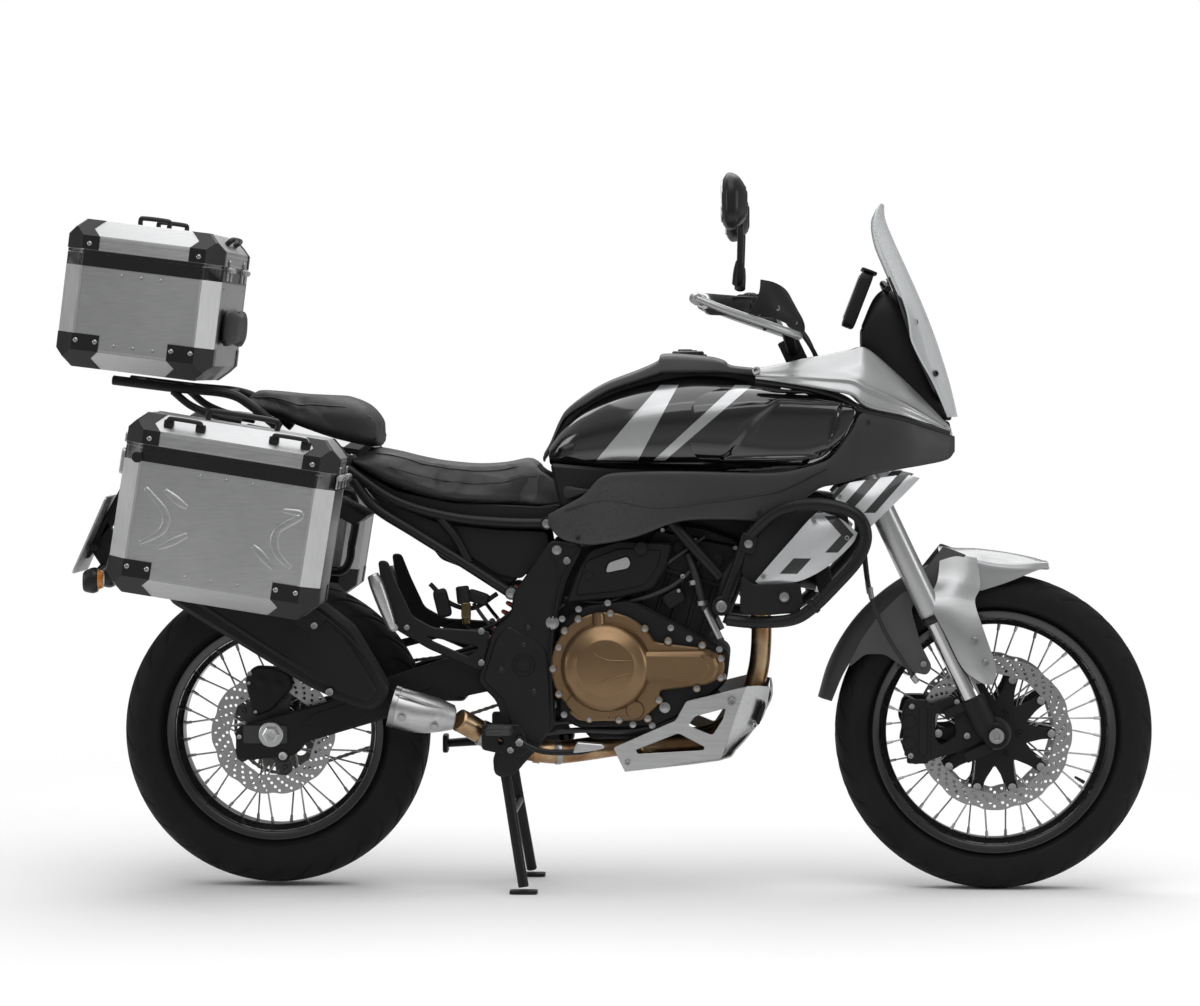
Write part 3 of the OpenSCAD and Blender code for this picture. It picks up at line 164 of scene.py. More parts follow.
# Closed shapes joined into one mesh that rides on a body and stands in for CAD nodes
def build(name, shapes, material, stands=(), angle=38, body="root"):
    shapes = [outward(s) for s in shapes]
    starts = np.cumsum([0] + [len(s[0]) for s in shapes[:-1]])
    points = toFrame(np.vstack([s[0] for s in shapes]))
    quads = np.vstack([s[1] + k for s, k in zip(shapes, starts)])
    tris = np.vstack([s[2] + k for s, k in zip(shapes, starts)])
    mesh = bpy.data.meshes.new(name)
    mesh.vertices.add(len(points))
    mesh.vertices.foreach_set("co", points.ravel())
    mesh.loops.add(quads.size + tris.size)
    mesh.loops.foreach_set("vertex_index", np.concatenate([quads.ravel(), tris.ravel()]))
    mesh.polygons.add(len(quads) + len(tris))
    corner = np.concatenate([np.arange(len(quads)) * 4, quads.size + np.arange(len(tris)) * 3])
    mesh.polygons.foreach_set("loop_start", corner)
    mesh.polygons.foreach_set("use_smooth", np.ones(len(corner), bool))
    mesh.update(calc_edges=True)
    mesh.validate()
    if angle:
        mesh.set_sharp_from_angle(angle=math.radians(angle))
    mesh.materials.append(material)
    piece = bpy.data.objects.new(name, mesh)
    scene.collection.objects.link(piece)
    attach(piece, body)
    for node in stands:
        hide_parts(node)
    return piece


# Side and up for every point of a path; side stays across the machine where it can
def carry(path):
    along = np.gradient(path, axis=0)
    along /= np.maximum(np.linalg.norm(along, axis=1, keepdims=True), 1e-9)
    across = np.array([0, 1.0, 0]) if np.abs(along[:, 1]).mean() < 0.8 else np.array([1.0, 0, 0])
    side = across - (along @ across)[:, None] * along
    side /= np.maximum(np.linalg.norm(side, axis=1, keepdims=True), 1e-6)
    return along, side, np.cross(along, side)


# A circle carried along a smooth curve. Its radius may change along the way, flat squashes it, and both
# ends have a small chamfer.
def tube(points, radius, steps=8, sides=20, flat=1.0):
    path = catmull(points, steps)
    r = catmull(np.asarray(radius, float)[:, None], steps)[:, 0] if np.ndim(radius) else np.full(len(path),
        radius)
    along, side, up = carry(path)
    cut = 0.18 * min(r[0], r[-1])
    path = np.vstack([path[:1], path[0] + along[:1] * cut, path[1:-1], path[-1] - along[-1:] * cut,
        path[-1:]])
    r = np.concatenate([[r[0] - cut, r[0]], r[1:-1], [r[-1], r[-1] - cut]])
    side, up = side[[0, *range(len(side)), -1]], up[[0, *range(len(up)), -1]]
    a = fullTurn(sides)
    ring = np.cos(a)[None, :, None] * side[:, None] + flat * np.sin(a)[None, :, None] * up[:, None]
    return skin(path[:, None] + r[:, None, None] * ring)


# A profile of radius and distance along an axis, turned once round it. A profile that ends where it
# began gives a ring.
def turned(profile, centre=(0, 0, 0), axis="y", segments=48):
    p = np.asarray(profile, float)
    ring = bool(np.allclose(p[0], p[-1]))
    p = p[:-1] if ring else p
    a = fullTurn(segments)
    u, v = p[:, :1] * np.cos(a), p[:, :1] * np.sin(a)
    s = np.broadcast_to(p[:, 1:], u.shape)
    g = np.stack({"x": (s, u, v), "y": (u, s, v), "z": (u, v, s)}[axis], -1) + np.asarray(centre, float)
    return skin(g, loop=ring, caps=not ring)


# A disc or drum across the machine with rounded edges
def drum(x, z, r, yFrom, yTo, edge=1.2, segments=40):
    low, high = min(yFrom, yTo), max(yFrom, yTo)
    e = min(edge, (high - low) * 0.4, r * 0.4)
    profile = [[r - e, low], [r - 0.3 * e, low + 0.3 * e], [r, low + e], [r, high - e],
        [r - 0.3 * e, high - 0.3 * e], [r - e, high]]
    return turned(profile, (x, 0, z), "y", segments)


# Turns a shape drawn along Z so that it points another way
def aimed(shape, origin, direction, up=(0, 0, 1)):
    z = np.asarray(direction, float) / np.linalg.norm(direction)
    x = np.cross(up, z)
    x = x / np.linalg.norm(x) if np.linalg.norm(x) > 1e-3 else np.array([1.0, 0, 0])
    return shape[0] @ np.stack([x, np.cross(z, x), z]) + np.asarray(origin, float), shape[1], shape[2]


def bar(a, b, radius, sides=20, edge=0.8, endRadius=None):  # a round bar between two points
    a, b = np.asarray(a, float), np.asarray(b, float)
    length, r2 = np.linalg.norm(b - a), endRadius or radius
    e = min(edge, 0.4 * radius)
    return aimed(turned([[radius - e, 0], [radius, e], [r2, length - e], [r2 - e, length]], axis="z",
        segments=sides), a, b - a)


# A block with soft edges: a superellipsoid, whose power says how square it is
def block(centre, size, power=6.0, rows=14, columns=32, turn=0.0):
    t = np.linspace(-np.pi / 2, np.pi / 2, rows + 2)[1:-1, None]
    a = fullTurn(columns)[None]
    bend = lambda c: np.sign(c) * np.abs(c) ** (2 / power)
    x, y = bend(np.cos(t)) * bend(np.cos(a)), bend(np.cos(t)) * bend(np.sin(a))
    g = np.stack([x, y, np.broadcast_to(bend(np.sin(t)), x.shape)], -1) * np.asarray(size, float) / 2
    g = g @ turnUp(-turn)
    return skin(g + np.asarray(centre, float))


# Superellipses across the machine. Each place gives its distance along, low, high, the two sides and,
# if it differs, how square it is. Both ends are rounded off by shrinking rings.
def ovals(places, steps=6, sides=44, power=2.8, crown=6.0):
    s = catmull(places, steps)
    grow = np.array([0.0, 0.12, 0.3, 0.55])
    mid = np.stack([s[:, 1] + s[:, 2], s[:, 3] + s[:, 4]], 1) / 2
    half = np.stack([s[:, 2] - s[:, 1], s[:, 4] - s[:, 3]], 1) / 2
    shrink = crown * (1 - np.sqrt(1 - (1 - grow) ** 2))
    lead = lambda k: (np.repeat(mid[[k]], 4, 0), half[[k]] - shrink[:, None])
    firstMid, firstHalf = lead(0)
    lastMid, lastHalf = lead(-1)
    x = np.concatenate([s[0, 0] + crown * grow, s[1:-1, 0], s[-1, 0] - crown * grow[::-1]])
    mid = np.vstack([firstMid, mid[1:-1], lastMid])
    half = np.vstack([firstHalf, half[1:-1], lastHalf[::-1]])
    q = s[:, 5] if s.shape[1] > 5 else np.full(len(s), power)
    q = 2 / np.concatenate([np.full(4, q[0]), q[1:-1], np.full(4, q[-1])])[:, None]
    a = 2 * np.pi * (np.arange(sides) + 0.5) / sides
    y = mid[:, 1:] + half[:, 1:] * np.sign(np.cos(a)) * np.abs(np.cos(a)) ** q
    z = mid[:, :1] + half[:, :1] * np.sign(np.sin(a)) * np.abs(np.sin(a)) ** q
    return np.stack([np.broadcast_to(x[:, None], y.shape), y, z], -1)


# A side outline in X and Z with holes, as a filled curve given a thickness across the machine and a
# chamfer round every edge
def plate(outline, yFrom, yTo, holes=(), edge=0.8):
    curve = bpy.data.curves.new("outline", "CURVE")
    curve.dimensions, curve.fill_mode = "2D", "BOTH"
    edge = min(edge, abs(yTo - yFrom) * 0.4)
    curve.extrude, curve.bevel_depth, curve.bevel_resolution = abs(yTo - yFrom) / 2 - edge, edge, 0
    curve.offset = -edge
    for ring in [outline, *holes]:
        spline = curve.splines.new("POLY")
        spline.points.add(len(ring) - 1)
        spline.points.foreach_set("co", np.column_stack([ring, np.zeros(len(ring)),
            np.ones(len(ring))]).ravel())
        spline.use_cyclic_u = True
    holder = bpy.data.objects.new("outline", curve)
    mesh = bpy.data.meshes.new_from_object(holder)
    work = bmesh.new()
    work.from_mesh(mesh)
    bmesh.ops.remove_doubles(work, verts=work.verts, dist=0.01)
    bmesh.ops.recalc_face_normals(work, faces=work.faces)
    bmesh.ops.triangulate(work, faces=[f for f in work.faces if len(f.verts) > 4])
    work.to_mesh(mesh)
    work.free()
    points = np.zeros(len(mesh.vertices) * 3)
    mesh.vertices.foreach_get("co", points)
    points = points.reshape(-1, 3)
    corners, sizes = np.zeros(len(mesh.loops), int), np.zeros(len(mesh.polygons), int)
    mesh.loops.foreach_get("vertex_index", corners)
    mesh.polygons.foreach_get("loop_total", sizes)
    first = np.cumsum(sizes) - sizes
    quads = corners[first[sizes == 4][:, None] + np.arange(4)]
    tris = corners[first[sizes == 3][:, None] + np.arange(3)]
    bpy.data.objects.remove(holder)
    bpy.data.curves.remove(curve)
    bpy.data.meshes.remove(mesh)
    return np.column_stack([points[:, 0], (yFrom + yTo) / 2 + points[:, 2], points[:, 1]]), quads, tris


# One bolt head of each kind, drawn along Z with a radius of one and its seat just below zero
def boltHead(kind):
    profiles = {"socket": rows("0.02 0.4; 0.45 0.4; 0.5 0.92; 0.86 0.95; 1 0.8; 1 -0.2"),
        "hex": rows("0.02 0.72; 0.66 0.72; 0.86 0.66; 0.9 0.1; 1.25 0.08; 1.25 -0.2"),
        "dome": rows("0.02 0.2; 0.3 0.22; 0.36 0.46; 0.7 0.4; 1 0.1; 1 -0.2"),
        "rivet": rows("0.02 0.5; 0.5 0.43; 0.85 0.22; 1 0; 1 -0.2")}
    points, quads, tris = turned(profiles[kind], axis="z", segments=12)
    if kind == "hex":  # the wall is pressed flat on six sides
        r, a = np.hypot(points[:, 0], points[:, 1]), np.arctan2(points[:, 1], points[:, 0])
        wall = (r > 0.8) & (r < 1)
        points[wall, :2] *= 1.06 * np.where(np.round(a[wall] * 6 / np.pi) % 2 == 0, 1, 0.9)[:, None]
    return points, quads, tris


def bolts(places, direction=(0, -1, 0), kind="socket"):  # a place and a radius for each head
    head = boltHead(kind)
    return [aimed((head[0] * p[3], head[1], head[2]), p[:3], direction) for p in places]


class Wire:
    # a socket whose arithmetic adds Math nodes
    def __init__(self, finish, socket):
        self.finish, self.socket = finish, socket

    def maths(self, operation, a, b):
        return self.finish.add("Math", {"operation": operation}, {0: a, 1: b})

    def __add__(self, other):
        return self.maths("ADD", self, other)

    def __radd__(self, other):
        return self.maths("ADD", other, self)

    def __sub__(self, other):
        return self.maths("SUBTRACT", self, other)

    def __rsub__(self, other):
        return self.maths("SUBTRACT", other, self)

    def __mul__(self, other):
        return self.maths("MULTIPLY", self, other)

    def __rmul__(self, other):
        return self.maths("MULTIPLY", other, self)

    def __truediv__(self, other):
        return self.maths("DIVIDE", self, other)

    def __pow__(self, other):
        return self.maths("POWER", self, other)

    def __abs__(self):
        return self.maths("ABSOLUTE", self, 0)

    def __gt__(self, other):
        return self.maths("GREATER_THAN", self, other)

    def __lt__(self, other):
        return self.maths("LESS_THAN", self, other)



class Finish:
    # one material: a Principled shader, the nodes that feed it and the fixed values on its sockets
    def __init__(self, name, **fixed):
        self.material = bpy.data.materials.new(name)
        self.material.use_nodes = True
        self.tree = self.material.node_tree
        self.shader = self.tree.nodes["Principled BSDF"]
        self.set(**fixed)
        self.point = self.add("TexCoord", output="Object")

    def set(self, **values):  # socket names without their spaces
        for socket in self.shader.inputs:
            key = socket.name.replace(" ", "")
            if key in values:
                self.feed(socket, values[key])

    def feed(self, socket, value):
        if isinstance(value, Wire):
            self.tree.links.new(value.socket, socket)
        elif socket.type == "RGBA" and len(value) == 3:
            socket.default_value = (*value, 1)
        else:
            socket.default_value = value

    def add(self, kind, settings=None, values=None, output=0):
        node = self.tree.nodes.new("ShaderNode" + kind)
        for key, value in (settings or {}).items():
            if key == "stops":
                for k, (place, colour) in enumerate(value):
                    stop = node.color_ramp.elements[k] if k < 2 else node.color_ramp.elements.new(place)
                    stop.position, stop.color = place, (*colour, 1)
            else:
                setattr(node, key, value)
        for key, value in (values or {}).items():
            self.feed(node.inputs[key], value)
        return Wire(self, node.outputs[output])

    def noise(self, scale, detail=3, stretch=(1, 1, 1)):
        place = self.point
        if stretch != (1, 1, 1):
            place = self.add("Mapping", {}, {"Vector": place, "Scale": stretch})
        return self.add("TexNoise", {}, {"Vector": place, "Scale": scale, "Detail": detail})

    def span(self, value, low, high, to=(0, 1)):  # low to high becomes the range given, and no further
        return self.add("MapRange", {}, {0: value, 1: low, 2: high, 3: to[0], 4: to[1]})

    def mix(self, mask, a, b):  # two colours
        return self.add("Mix", {"data_type": "RGBA"}, {0: mask, 6: a, 7: b}, 2)

    def axes(self):  # X, Y and Z of the point, in metres
        node = self.add("SeparateXYZ", {}, {0: self.point}).socket.node
        return [Wire(self, out) for out in node.outputs]

    def bump(self, height, strength, distance):
        self.set(Normal=self.add("Bump", {}, {"Height": height, "Strength": strength, "Distance": distance}))


# Even paint or plastic: two close shades in soft clouds, a roughness that wanders, and a fine grain
def plain(name, dark, light, rough, grain, depth, metallic=0.0, **fixed):
    f = Finish(name, Metallic=metallic, **fixed)
    f.set(BaseColor=f.mix(f.noise(9), dark, light), Roughness=f.span(f.noise(14, 5), 0.3, 0.7, rough))
    f.bump(f.noise(grain, 4), depth, 0.0004)
    return f


# Metal with a grain: noise drawn out along one axis, in the colour, the roughness and the bump
def brushed(name, dark, light, rough, stretch, depth=0.12, **fixed):
    f = Finish(name, Metallic=1.0, **fixed)
    grain = f.noise(240, 3, stretch)
    cloud = f.noise(6, 4)
    f.set(BaseColor=f.mix(f.span(grain * 0.6 + cloud * 0.4, 0.3, 0.7), dark, light),
        Roughness=f.span(grain * 0.5 + cloud * 0.5, 0.3, 0.7, rough))
    f.bump(grain, depth, 0.0002)
    return f


# Disc metal: the grain follows rings round the axle, as noise of the distance from it
def ringed(name, centre, dark, light, rough):
    f = Finish(name, Metallic=1.0)
    x, _, z = f.axes()
    dx, dz = x - centre[0], z - centre[2]
    radius = (dx * dx + dz * dz) ** 0.5
    grain = f.add("TexNoise", {"noise_dimensions": "1D"}, {"W": radius, "Scale": 900.0, "Detail": 4})
    f.set(BaseColor=f.mix(f.span(grain, 0.3, 0.7), dark, light), Roughness=f.span(grain, 0.3, 0.7, rough))
    f.bump(grain, 0.1, 0.0002)
    return f.material


# Tank paint: black under a clear coat, with two slanted silver stripes on the sides. A point lies in a
# stripe where its X, less its height times the slant, falls between two values that widen with height.
def tankPaint():
    f = Finish("tank_gloss", CoatWeight=0.8, CoatRoughness=0.07)
    x, _, z = f.axes()
    x, z = (x - datumX) * 1000, z * 1000
    up = (z - 896) / 162
    stripes = None
    for low, high, topLow, topHigh in tankStripes:
        left, right = low + up * (topLow - low), high + up * (topHigh - high)
        inside = (x > left) * (x < right)
        stripes = inside if stripes is None else stripes + inside
    inside = f.span(stripes * (z > 897) * (z < 1052), 0, 1)
    flake = f.noise(900, 2)
    silver = f.mix(flake, (0.36, 0.365, 0.37), (0.5, 0.505, 0.51))
    f.set(BaseColor=f.mix(inside, (0.0045, 0.0046, 0.005), silver), Metallic=inside * 0.75,
        Roughness=f.span(inside, 0, 1, (0.12, 0.3)))
    f.bump(f.noise(3, 1), 0.02, 0.004)
    return f.material


# Shroud print: pale silver with slanted black bars and a hooked arrow, all half planes in X and Z
def shroudPrint():
    f = Finish("shroud_print", CoatWeight=0.5, CoatRoughness=0.08)
    x, _, z = f.axes()
    x, z = (x - datumX) * 1000, z * 1000
    slant = x - z * 0.9
    bars = (slant > 512) * (slant < 535) * (z > 792) + (slant > 456) * (slant < 482) * (z > 792)
    bars = bars + (slant > 405) * (slant < 428) * (z > 792)
    fold = abs(z - 748) * 0.9 + x
    arrow = (fold > 1178) * (fold < 1204) * (z > 712) * (z < 786) * (x > 1128)
    block = (slant > 452) * (slant < 488) * (z > 668) * (z < 700)
    ink = f.span(bars + arrow + block, 0, 1)
    flake = f.noise(700, 2)
    f.set(BaseColor=f.mix(ink, f.mix(flake, (0.5, 0.51, 0.52), (0.62, 0.63, 0.64)), (0.012, 0.012, 0.013)),
        Metallic=f.span(ink, 0, 1, (0.45, 0)), Roughness=f.span(ink, 0, 1, (0.3, 0.42)))
    f.bump(flake, 0.02, 0.0002)
    return f.material


# Moulded grain: cells with raised middles over a fine noise. The colour is lighter on the raised middles and
# darker in the hollows between them, painted shade that follows the bump.
def pebbled(name, dark, light, rough, scale, depth, **fixed):
    f = Finish(name, **fixed)
    cells = f.add("TexVoronoi", {"feature": "SMOOTH_F1"}, {"Vector": f.point, "Scale": scale,
        "Smoothness": 0.6})
    f.set(BaseColor=f.mix(f.span(cells, 0.1, 0.7), light, dark), Roughness=f.span(f.noise(30, 4), 0.3, 0.7,
        rough))
    f.bump(f.span(cells, 0.1, 0.75, (1, 0)) + f.noise(1500, 2) * 0.15, depth, 0.0006)
    return f.material


# Side panel: pebble grain behind a slanting line, and a plain fine grain ahead of it. Within the pebble grain
# the colour is lighter on the raised cell middles and darker in the hollows, painted shade that follows the
# bump.
def panelGrain():
    f = Finish("panel_plastic")
    x, _, z = f.axes()
    x, z = (x - datumX) * 1000, z * 1000
    rough = f.span(x - z * 0.35, 440, 600, (1, 0)) * f.span(z, 846, 862, (1, 0))
    cells = f.span(f.add("TexVoronoi", {"feature": "SMOOTH_F1"}, {"Vector": f.point, "Scale": 380.0}), 0.1,
        0.75, (1, 0))
    f.set(BaseColor=f.mix(rough * cells, f.mix(f.noise(8), (0.018, 0.018, 0.019), (0.025, 0.025, 0.026)),
        (0.042, 0.042, 0.044)), Roughness=f.span(f.noise(20, 4), 0.3, 0.7, (0.4, 0.54)))
    f.bump(cells * rough + f.noise(1400, 3) * 0.2, 0.5, 0.0006)
    return f.material


# Pipe steel coloured by heat: straw, bronze and a brown haze in soft patches
def heatTint():
    f = Finish("exhaust_steel", Metallic=1.0)
    patches = f.noise(11, 5)
    tone = f.add("ValToRGB", {"stops": [(0.28, (0.16, 0.085, 0.045)), (0.45, (0.34, 0.2, 0.1)),
        (0.6, (0.5, 0.36, 0.22)), (0.78, (0.3, 0.21, 0.15))]}, {0: patches})
    f.set(BaseColor=tone, Roughness=f.span(f.noise(25, 4), 0.3, 0.7, (0.24, 0.46)))
    f.bump(f.noise(300, 3), 0.08, 0.0003)
    return f.material


# Seat cover: leather cells and wrinkles, a paler panel on top of the rider's seat, and a worn sheen
def seatCover(name, panelFrom, panelTo):
    f = Finish(name, SpecularIORLevel=0.45)
    x, y, z = f.axes()
    x = (x - datumX) * 1000
    middle = f.span((x > panelFrom) * (x < panelTo) * (abs(y) < 0.094), 0, 1)
    cells = f.add("TexVoronoi", {}, {"Vector": f.point, "Scale": 620.0})
    shade = f.noise(7, 4)
    black = f.mix(shade, (0.011, 0.011, 0.012), (0.021, 0.021, 0.022))
    f.set(BaseColor=f.mix(middle, black, f.mix(shade, (0.034, 0.034, 0.036), (0.05, 0.05, 0.052))),
        Roughness=f.span(f.noise(18, 5), 0.3, 0.7, (0.42, 0.58)))
    f.bump(f.span(cells, 0.1, 0.6, (1, 0)) + f.noise(60, 5) * 0.5, 0.28, 0.0006)
    return f.material


# Clear sheet: almost all let through face on, more milky towards the edge of sight
def clearSheet(name, tint, low, high, rough=0.04):
    f = Finish(name, SpecularIORLevel=0.6)
    edge = f.add("LayerWeight", {}, {"Blend": 0.35}, 1)
    f.set(BaseColor=f.mix(f.noise(4), tint, tuple(c * 0.94 for c in tint)),
        Alpha=f.span(edge, 0, 1, (low, high)), Roughness=f.span(f.noise(12, 3), 0.3, 0.7,
        (rough, rough * 2)))
    f.bump(f.noise(5, 1), 0.02, 0.002)
    f.material.surface_render_method = "BLENDED"
    return f.material


tankStripes = [(675, 762, 812, 848), (793, 817, 968, 1004)]
rearCentre, frontCentre = toFrame(rearAxle), toFrame(frontAxle)
tyreRubber = plain("tyre_rubber", (0.007, 0.007, 0.0072), (0.012, 0.012, 0.0123), (0.55, 0.75), 420, 0.25,
    SpecularIORLevel=0.14).material
rimBlack = plain("wheel_black", (0.006, 0.006, 0.0065), (0.01, 0.01, 0.0105), (0.2, 0.3), 60, 0.03,
    CoatWeight=0.6, CoatRoughness=0.08).material
spokeSteel = plain("spoke_steel", (0.3, 0.3, 0.31), (0.42, 0.42, 0.43), (0.2, 0.32), 300, 0.04, 1.0).material
rearDiscSteel = ringed("rear_disc_steel", rearCentre, (0.26, 0.26, 0.265), (0.38, 0.38, 0.385), (0.26, 0.42))
frontDiscSteel = ringed("front_disc_steel", frontCentre, (0.26, 0.26, 0.265), (0.38, 0.38, 0.385),
    (0.26, 0.42))
frameBlack = plain("frame_paint", (0.007, 0.007, 0.0075), (0.011, 0.011, 0.0117), (0.32, 0.44), 260, 0.07,
    SpecularIORLevel=0.24).material
castBlack = plain("engine_black", (0.007, 0.007, 0.0075), (0.013, 0.013, 0.0137), (0.42, 0.58), 900, 0.3,
    SpecularIORLevel=0.18).material
castGrey = plain("cast_grey", (0.028, 0.0285, 0.03), (0.05, 0.051, 0.053), (0.42, 0.58), 900, 0.25,
    0.4).material
bronze = plain("engine_bronze", (0.17, 0.103, 0.05), (0.24, 0.15, 0.076), (0.27, 0.36), 1100, 0.1, 0.85,
    CoatWeight=0.25, CoatRoughness=0.3).material
silverPaint = plain("silver_paint", (0.33, 0.333, 0.337), (0.41, 0.413, 0.417), (0.3, 0.38), 1400, 0.03,
    0.72, CoatWeight=0.7, CoatRoughness=0.08).material
paleSilver = plain("fork_silver", (0.46, 0.463, 0.467), (0.55, 0.553, 0.557), (0.24, 0.34), 1200, 0.04,
    0.85).material
blackPlastic = plain("black_plastic", (0.008, 0.008, 0.0084), (0.014, 0.014, 0.0147), (0.4, 0.54), 1300,
    0.2, SpecularIORLevel=0.2).material
satinBlack = plain("satin_black", (0.006, 0.006, 0.0065), (0.01, 0.01, 0.0105), (0.28, 0.38), 700, 0.06,
    SpecularIORLevel=0.35).material
coverGrey = plain("cover_grey", (0.05, 0.05, 0.051), (0.075, 0.075, 0.076), (0.36, 0.48), 1300, 0.12).material
panelPlastic = panelGrain()
gripRubber = pebbled("grip_rubber", (0.01, 0.01, 0.01), (0.024, 0.024, 0.025), (0.62, 0.76), 900.0, 0.4)
caseMetal = brushed("case_aluminium", (0.4, 0.402, 0.406), (0.48, 0.482, 0.486), (0.36, 0.46),
    (0.12, 1, 1), 0.05).material
# A brighter copy of the case aluminium, for painted highlights on the corners and folds of the cases
caseHighlightMetal = brushed("case_highlight_metal", (0.5, 0.502, 0.506), (0.6, 0.602, 0.606), (0.3, 0.4), (1, 1, 0.08),
    0.05).material
bareMetal = brushed("bare_aluminium", (0.42, 0.42, 0.424), (0.55, 0.55, 0.555), (0.3, 0.44),
    (0.2, 1, 1)).material
skidMetal = brushed("skid_metal", (0.45, 0.452, 0.456), (0.56, 0.562, 0.566), (0.3, 0.42),
    (0.06, 1, 1)).material
chrome = plain("chrome_tube", (0.5, 0.5, 0.505), (0.58, 0.58, 0.585), (0.07, 0.13), 200, 0.02, 1.0).material
boltSteel = plain("steel_bolts", (0.26, 0.26, 0.265), (0.42, 0.42, 0.425), (0.24, 0.4), 500, 0.1,
    1.0).material
blackBolt = plain("black_bolts", (0.012, 0.012, 0.013), (0.022, 0.022, 0.023), (0.3, 0.42), 500, 0.1,
    0.3).material
chainSteel = plain("chain_steel", (0.1, 0.096, 0.088), (0.19, 0.183, 0.168), (0.32, 0.5), 600, 0.15,
    1.0).material
hoseRubber = plain("hose_rubber", (0.009, 0.009, 0.009), (0.015, 0.015, 0.015), (0.4, 0.55), 500,
    0.1).material
goldParts = plain("dark_gold", (0.07, 0.052, 0.024), (0.12, 0.09, 0.042), (0.26, 0.36), 600, 0.05,
    0.9).material
redPlastic = plain("red_plastic", (0.34, 0.012, 0.012), (0.46, 0.02, 0.018), (0.3, 0.4), 500, 0.04).material
tankGloss = tankPaint()
shroudFinish = shroudPrint()
screenEdge = plain("screen_edge", (0.5, 0.52, 0.53), (0.6, 0.62, 0.63), (0.1, 0.2), 40, 0.02).material
screenClear = clearSheet("screen_clear", (0.72, 0.74, 0.75), 0.16, 0.85)
lensClear = clearSheet("lens_clear", (0.75, 0.77, 0.78), 0.2, 0.8, 0.02)
lensRed = plain("lens_red", (0.26, 0.006, 0.006), (0.36, 0.01, 0.01), (0.1, 0.16), 90, 0.1,
    CoatWeight=0.8).material
lensAmber = plain("lens_amber", (0.5, 0.16, 0.01), (0.6, 0.2, 0.015), (0.12, 0.2), 90, 0.1,
    CoatWeight=0.8).material
displayGlass = plain("display_glass", (0.004, 0.005, 0.006), (0.007, 0.008, 0.01), (0.05, 0.09), 4, 0.02,
    CoatWeight=1.0).material
mirrorGlass = plain("mirror_glass", (0.76, 0.78, 0.8), (0.8, 0.82, 0.84), (0.015, 0.03), 3, 0.01,
    1.0).material
riderLeather = seatCover("seat_cover", 330, 560)
pillionLeather = seatCover("pillion_cover", 2000, 2001)
print("finishes made")


# Tyres. Section: round crown over straight shoulders, from bead to bead. Tread: slanted grooves that sweep
# back from the middle, each where a saw of angle and sideways distance is near its middle, cut inwards.
tyres = {"rear_tyre": {"centre": rearAxle, "d": 642, "w": 150, "bead": 431.8, "rim": 116, "pitches": 30,
    "body": "rear_wheel_body"}, "front_tyre": {"centre": frontAxle, "d": 660, "w": 110, "bead": 482.6,
    "rim": 80, "pitches": 32, "body": "front_wheel_body"}}


def tyre(name, t):
    r, w, b = t["d"] / 2, t["w"], t["bead"] / 2 + 0.5
    h, seat = r - b, t["rim"] / 2 - 8
    side = np.array([[b, seat - 6], [b, seat], [b + 15, seat], [b + h * 0.24, w / 2 - 6],
        [b + h * 0.4, w / 2 - 1.6], [b + h * 0.57, w / 2 - 0.2], [b + h * 0.72, w * 0.472],
        [b + h * 0.86, w * 0.39], [b + h * 0.95, w * 0.265], [r - 1.2, w * 0.13], [r, 0]])
    half = catmull(side, 9)
    section = np.vstack([half, (half * [1, -1])[-2::-1]])
    n = 840
    angle = fullTurn(n)[:, None]
    radius, y = section[None, :, 0], section[None, :, 1]
    off = np.abs(y) / (w / 2)
    hand = np.sign(y)
    turn = angle * t["pitches"] / (2 * np.pi) + hand * 0.25
    soft = lambda value, width, edge: np.clip((width - np.abs(value)) / edge, 0, 1)
    saw = (turn - 1.55 * off ** 1.3 + 0.5) % 1 - 0.5
    inTread = np.clip((radius - (b + h * 0.7)) / 6, 0, 1)
    groove = soft(saw, 0.085, 0.03) * soft(off - 0.58, 0.4, 0.05)
    short = (turn - 1.2 * off + 0.05) % 1 - 0.5
    groove = np.maximum(groove, soft(short, 0.07, 0.03) * soft(off - 0.26, 0.17, 0.05))
    middle = soft(y - 4 * np.sin(turn * 2 * np.pi), 2.6, 1.2) * (off < 0.2)
    cut = np.maximum(groove, middle * 0.8) * 5.0 * inTread
    rings = sum(np.exp(-((off - 0.93) ** 2 + ((radius - b - h * k) / 1.1) ** 2)) for k in (0.2, 0.3, 0.52))
    radius = radius - cut
    y = y + hand * 0.5 * rings * (off > 0.8)
    g = np.stack([radius * np.cos(angle), np.broadcast_to(y, (n, radius.shape[1])),
        radius * np.sin(angle)], -1)
    points, quads, _ = skin(g, closed=False, caps=False, loop=True)
    m = radius.shape[1]
    i = np.arange(n)
    closing = np.stack([i * m + m - 1, ((i + 1) % n) * m + m - 1, ((i + 1) % n) * m, i * m], 1)
    build(name, [(points + t["centre"], np.vstack([quads, closing]), np.zeros((0, 3), int))], tyreRubber,
        [name], angle=None, body=t["body"])


for name, t in tyres.items():
    tyre(name, t)


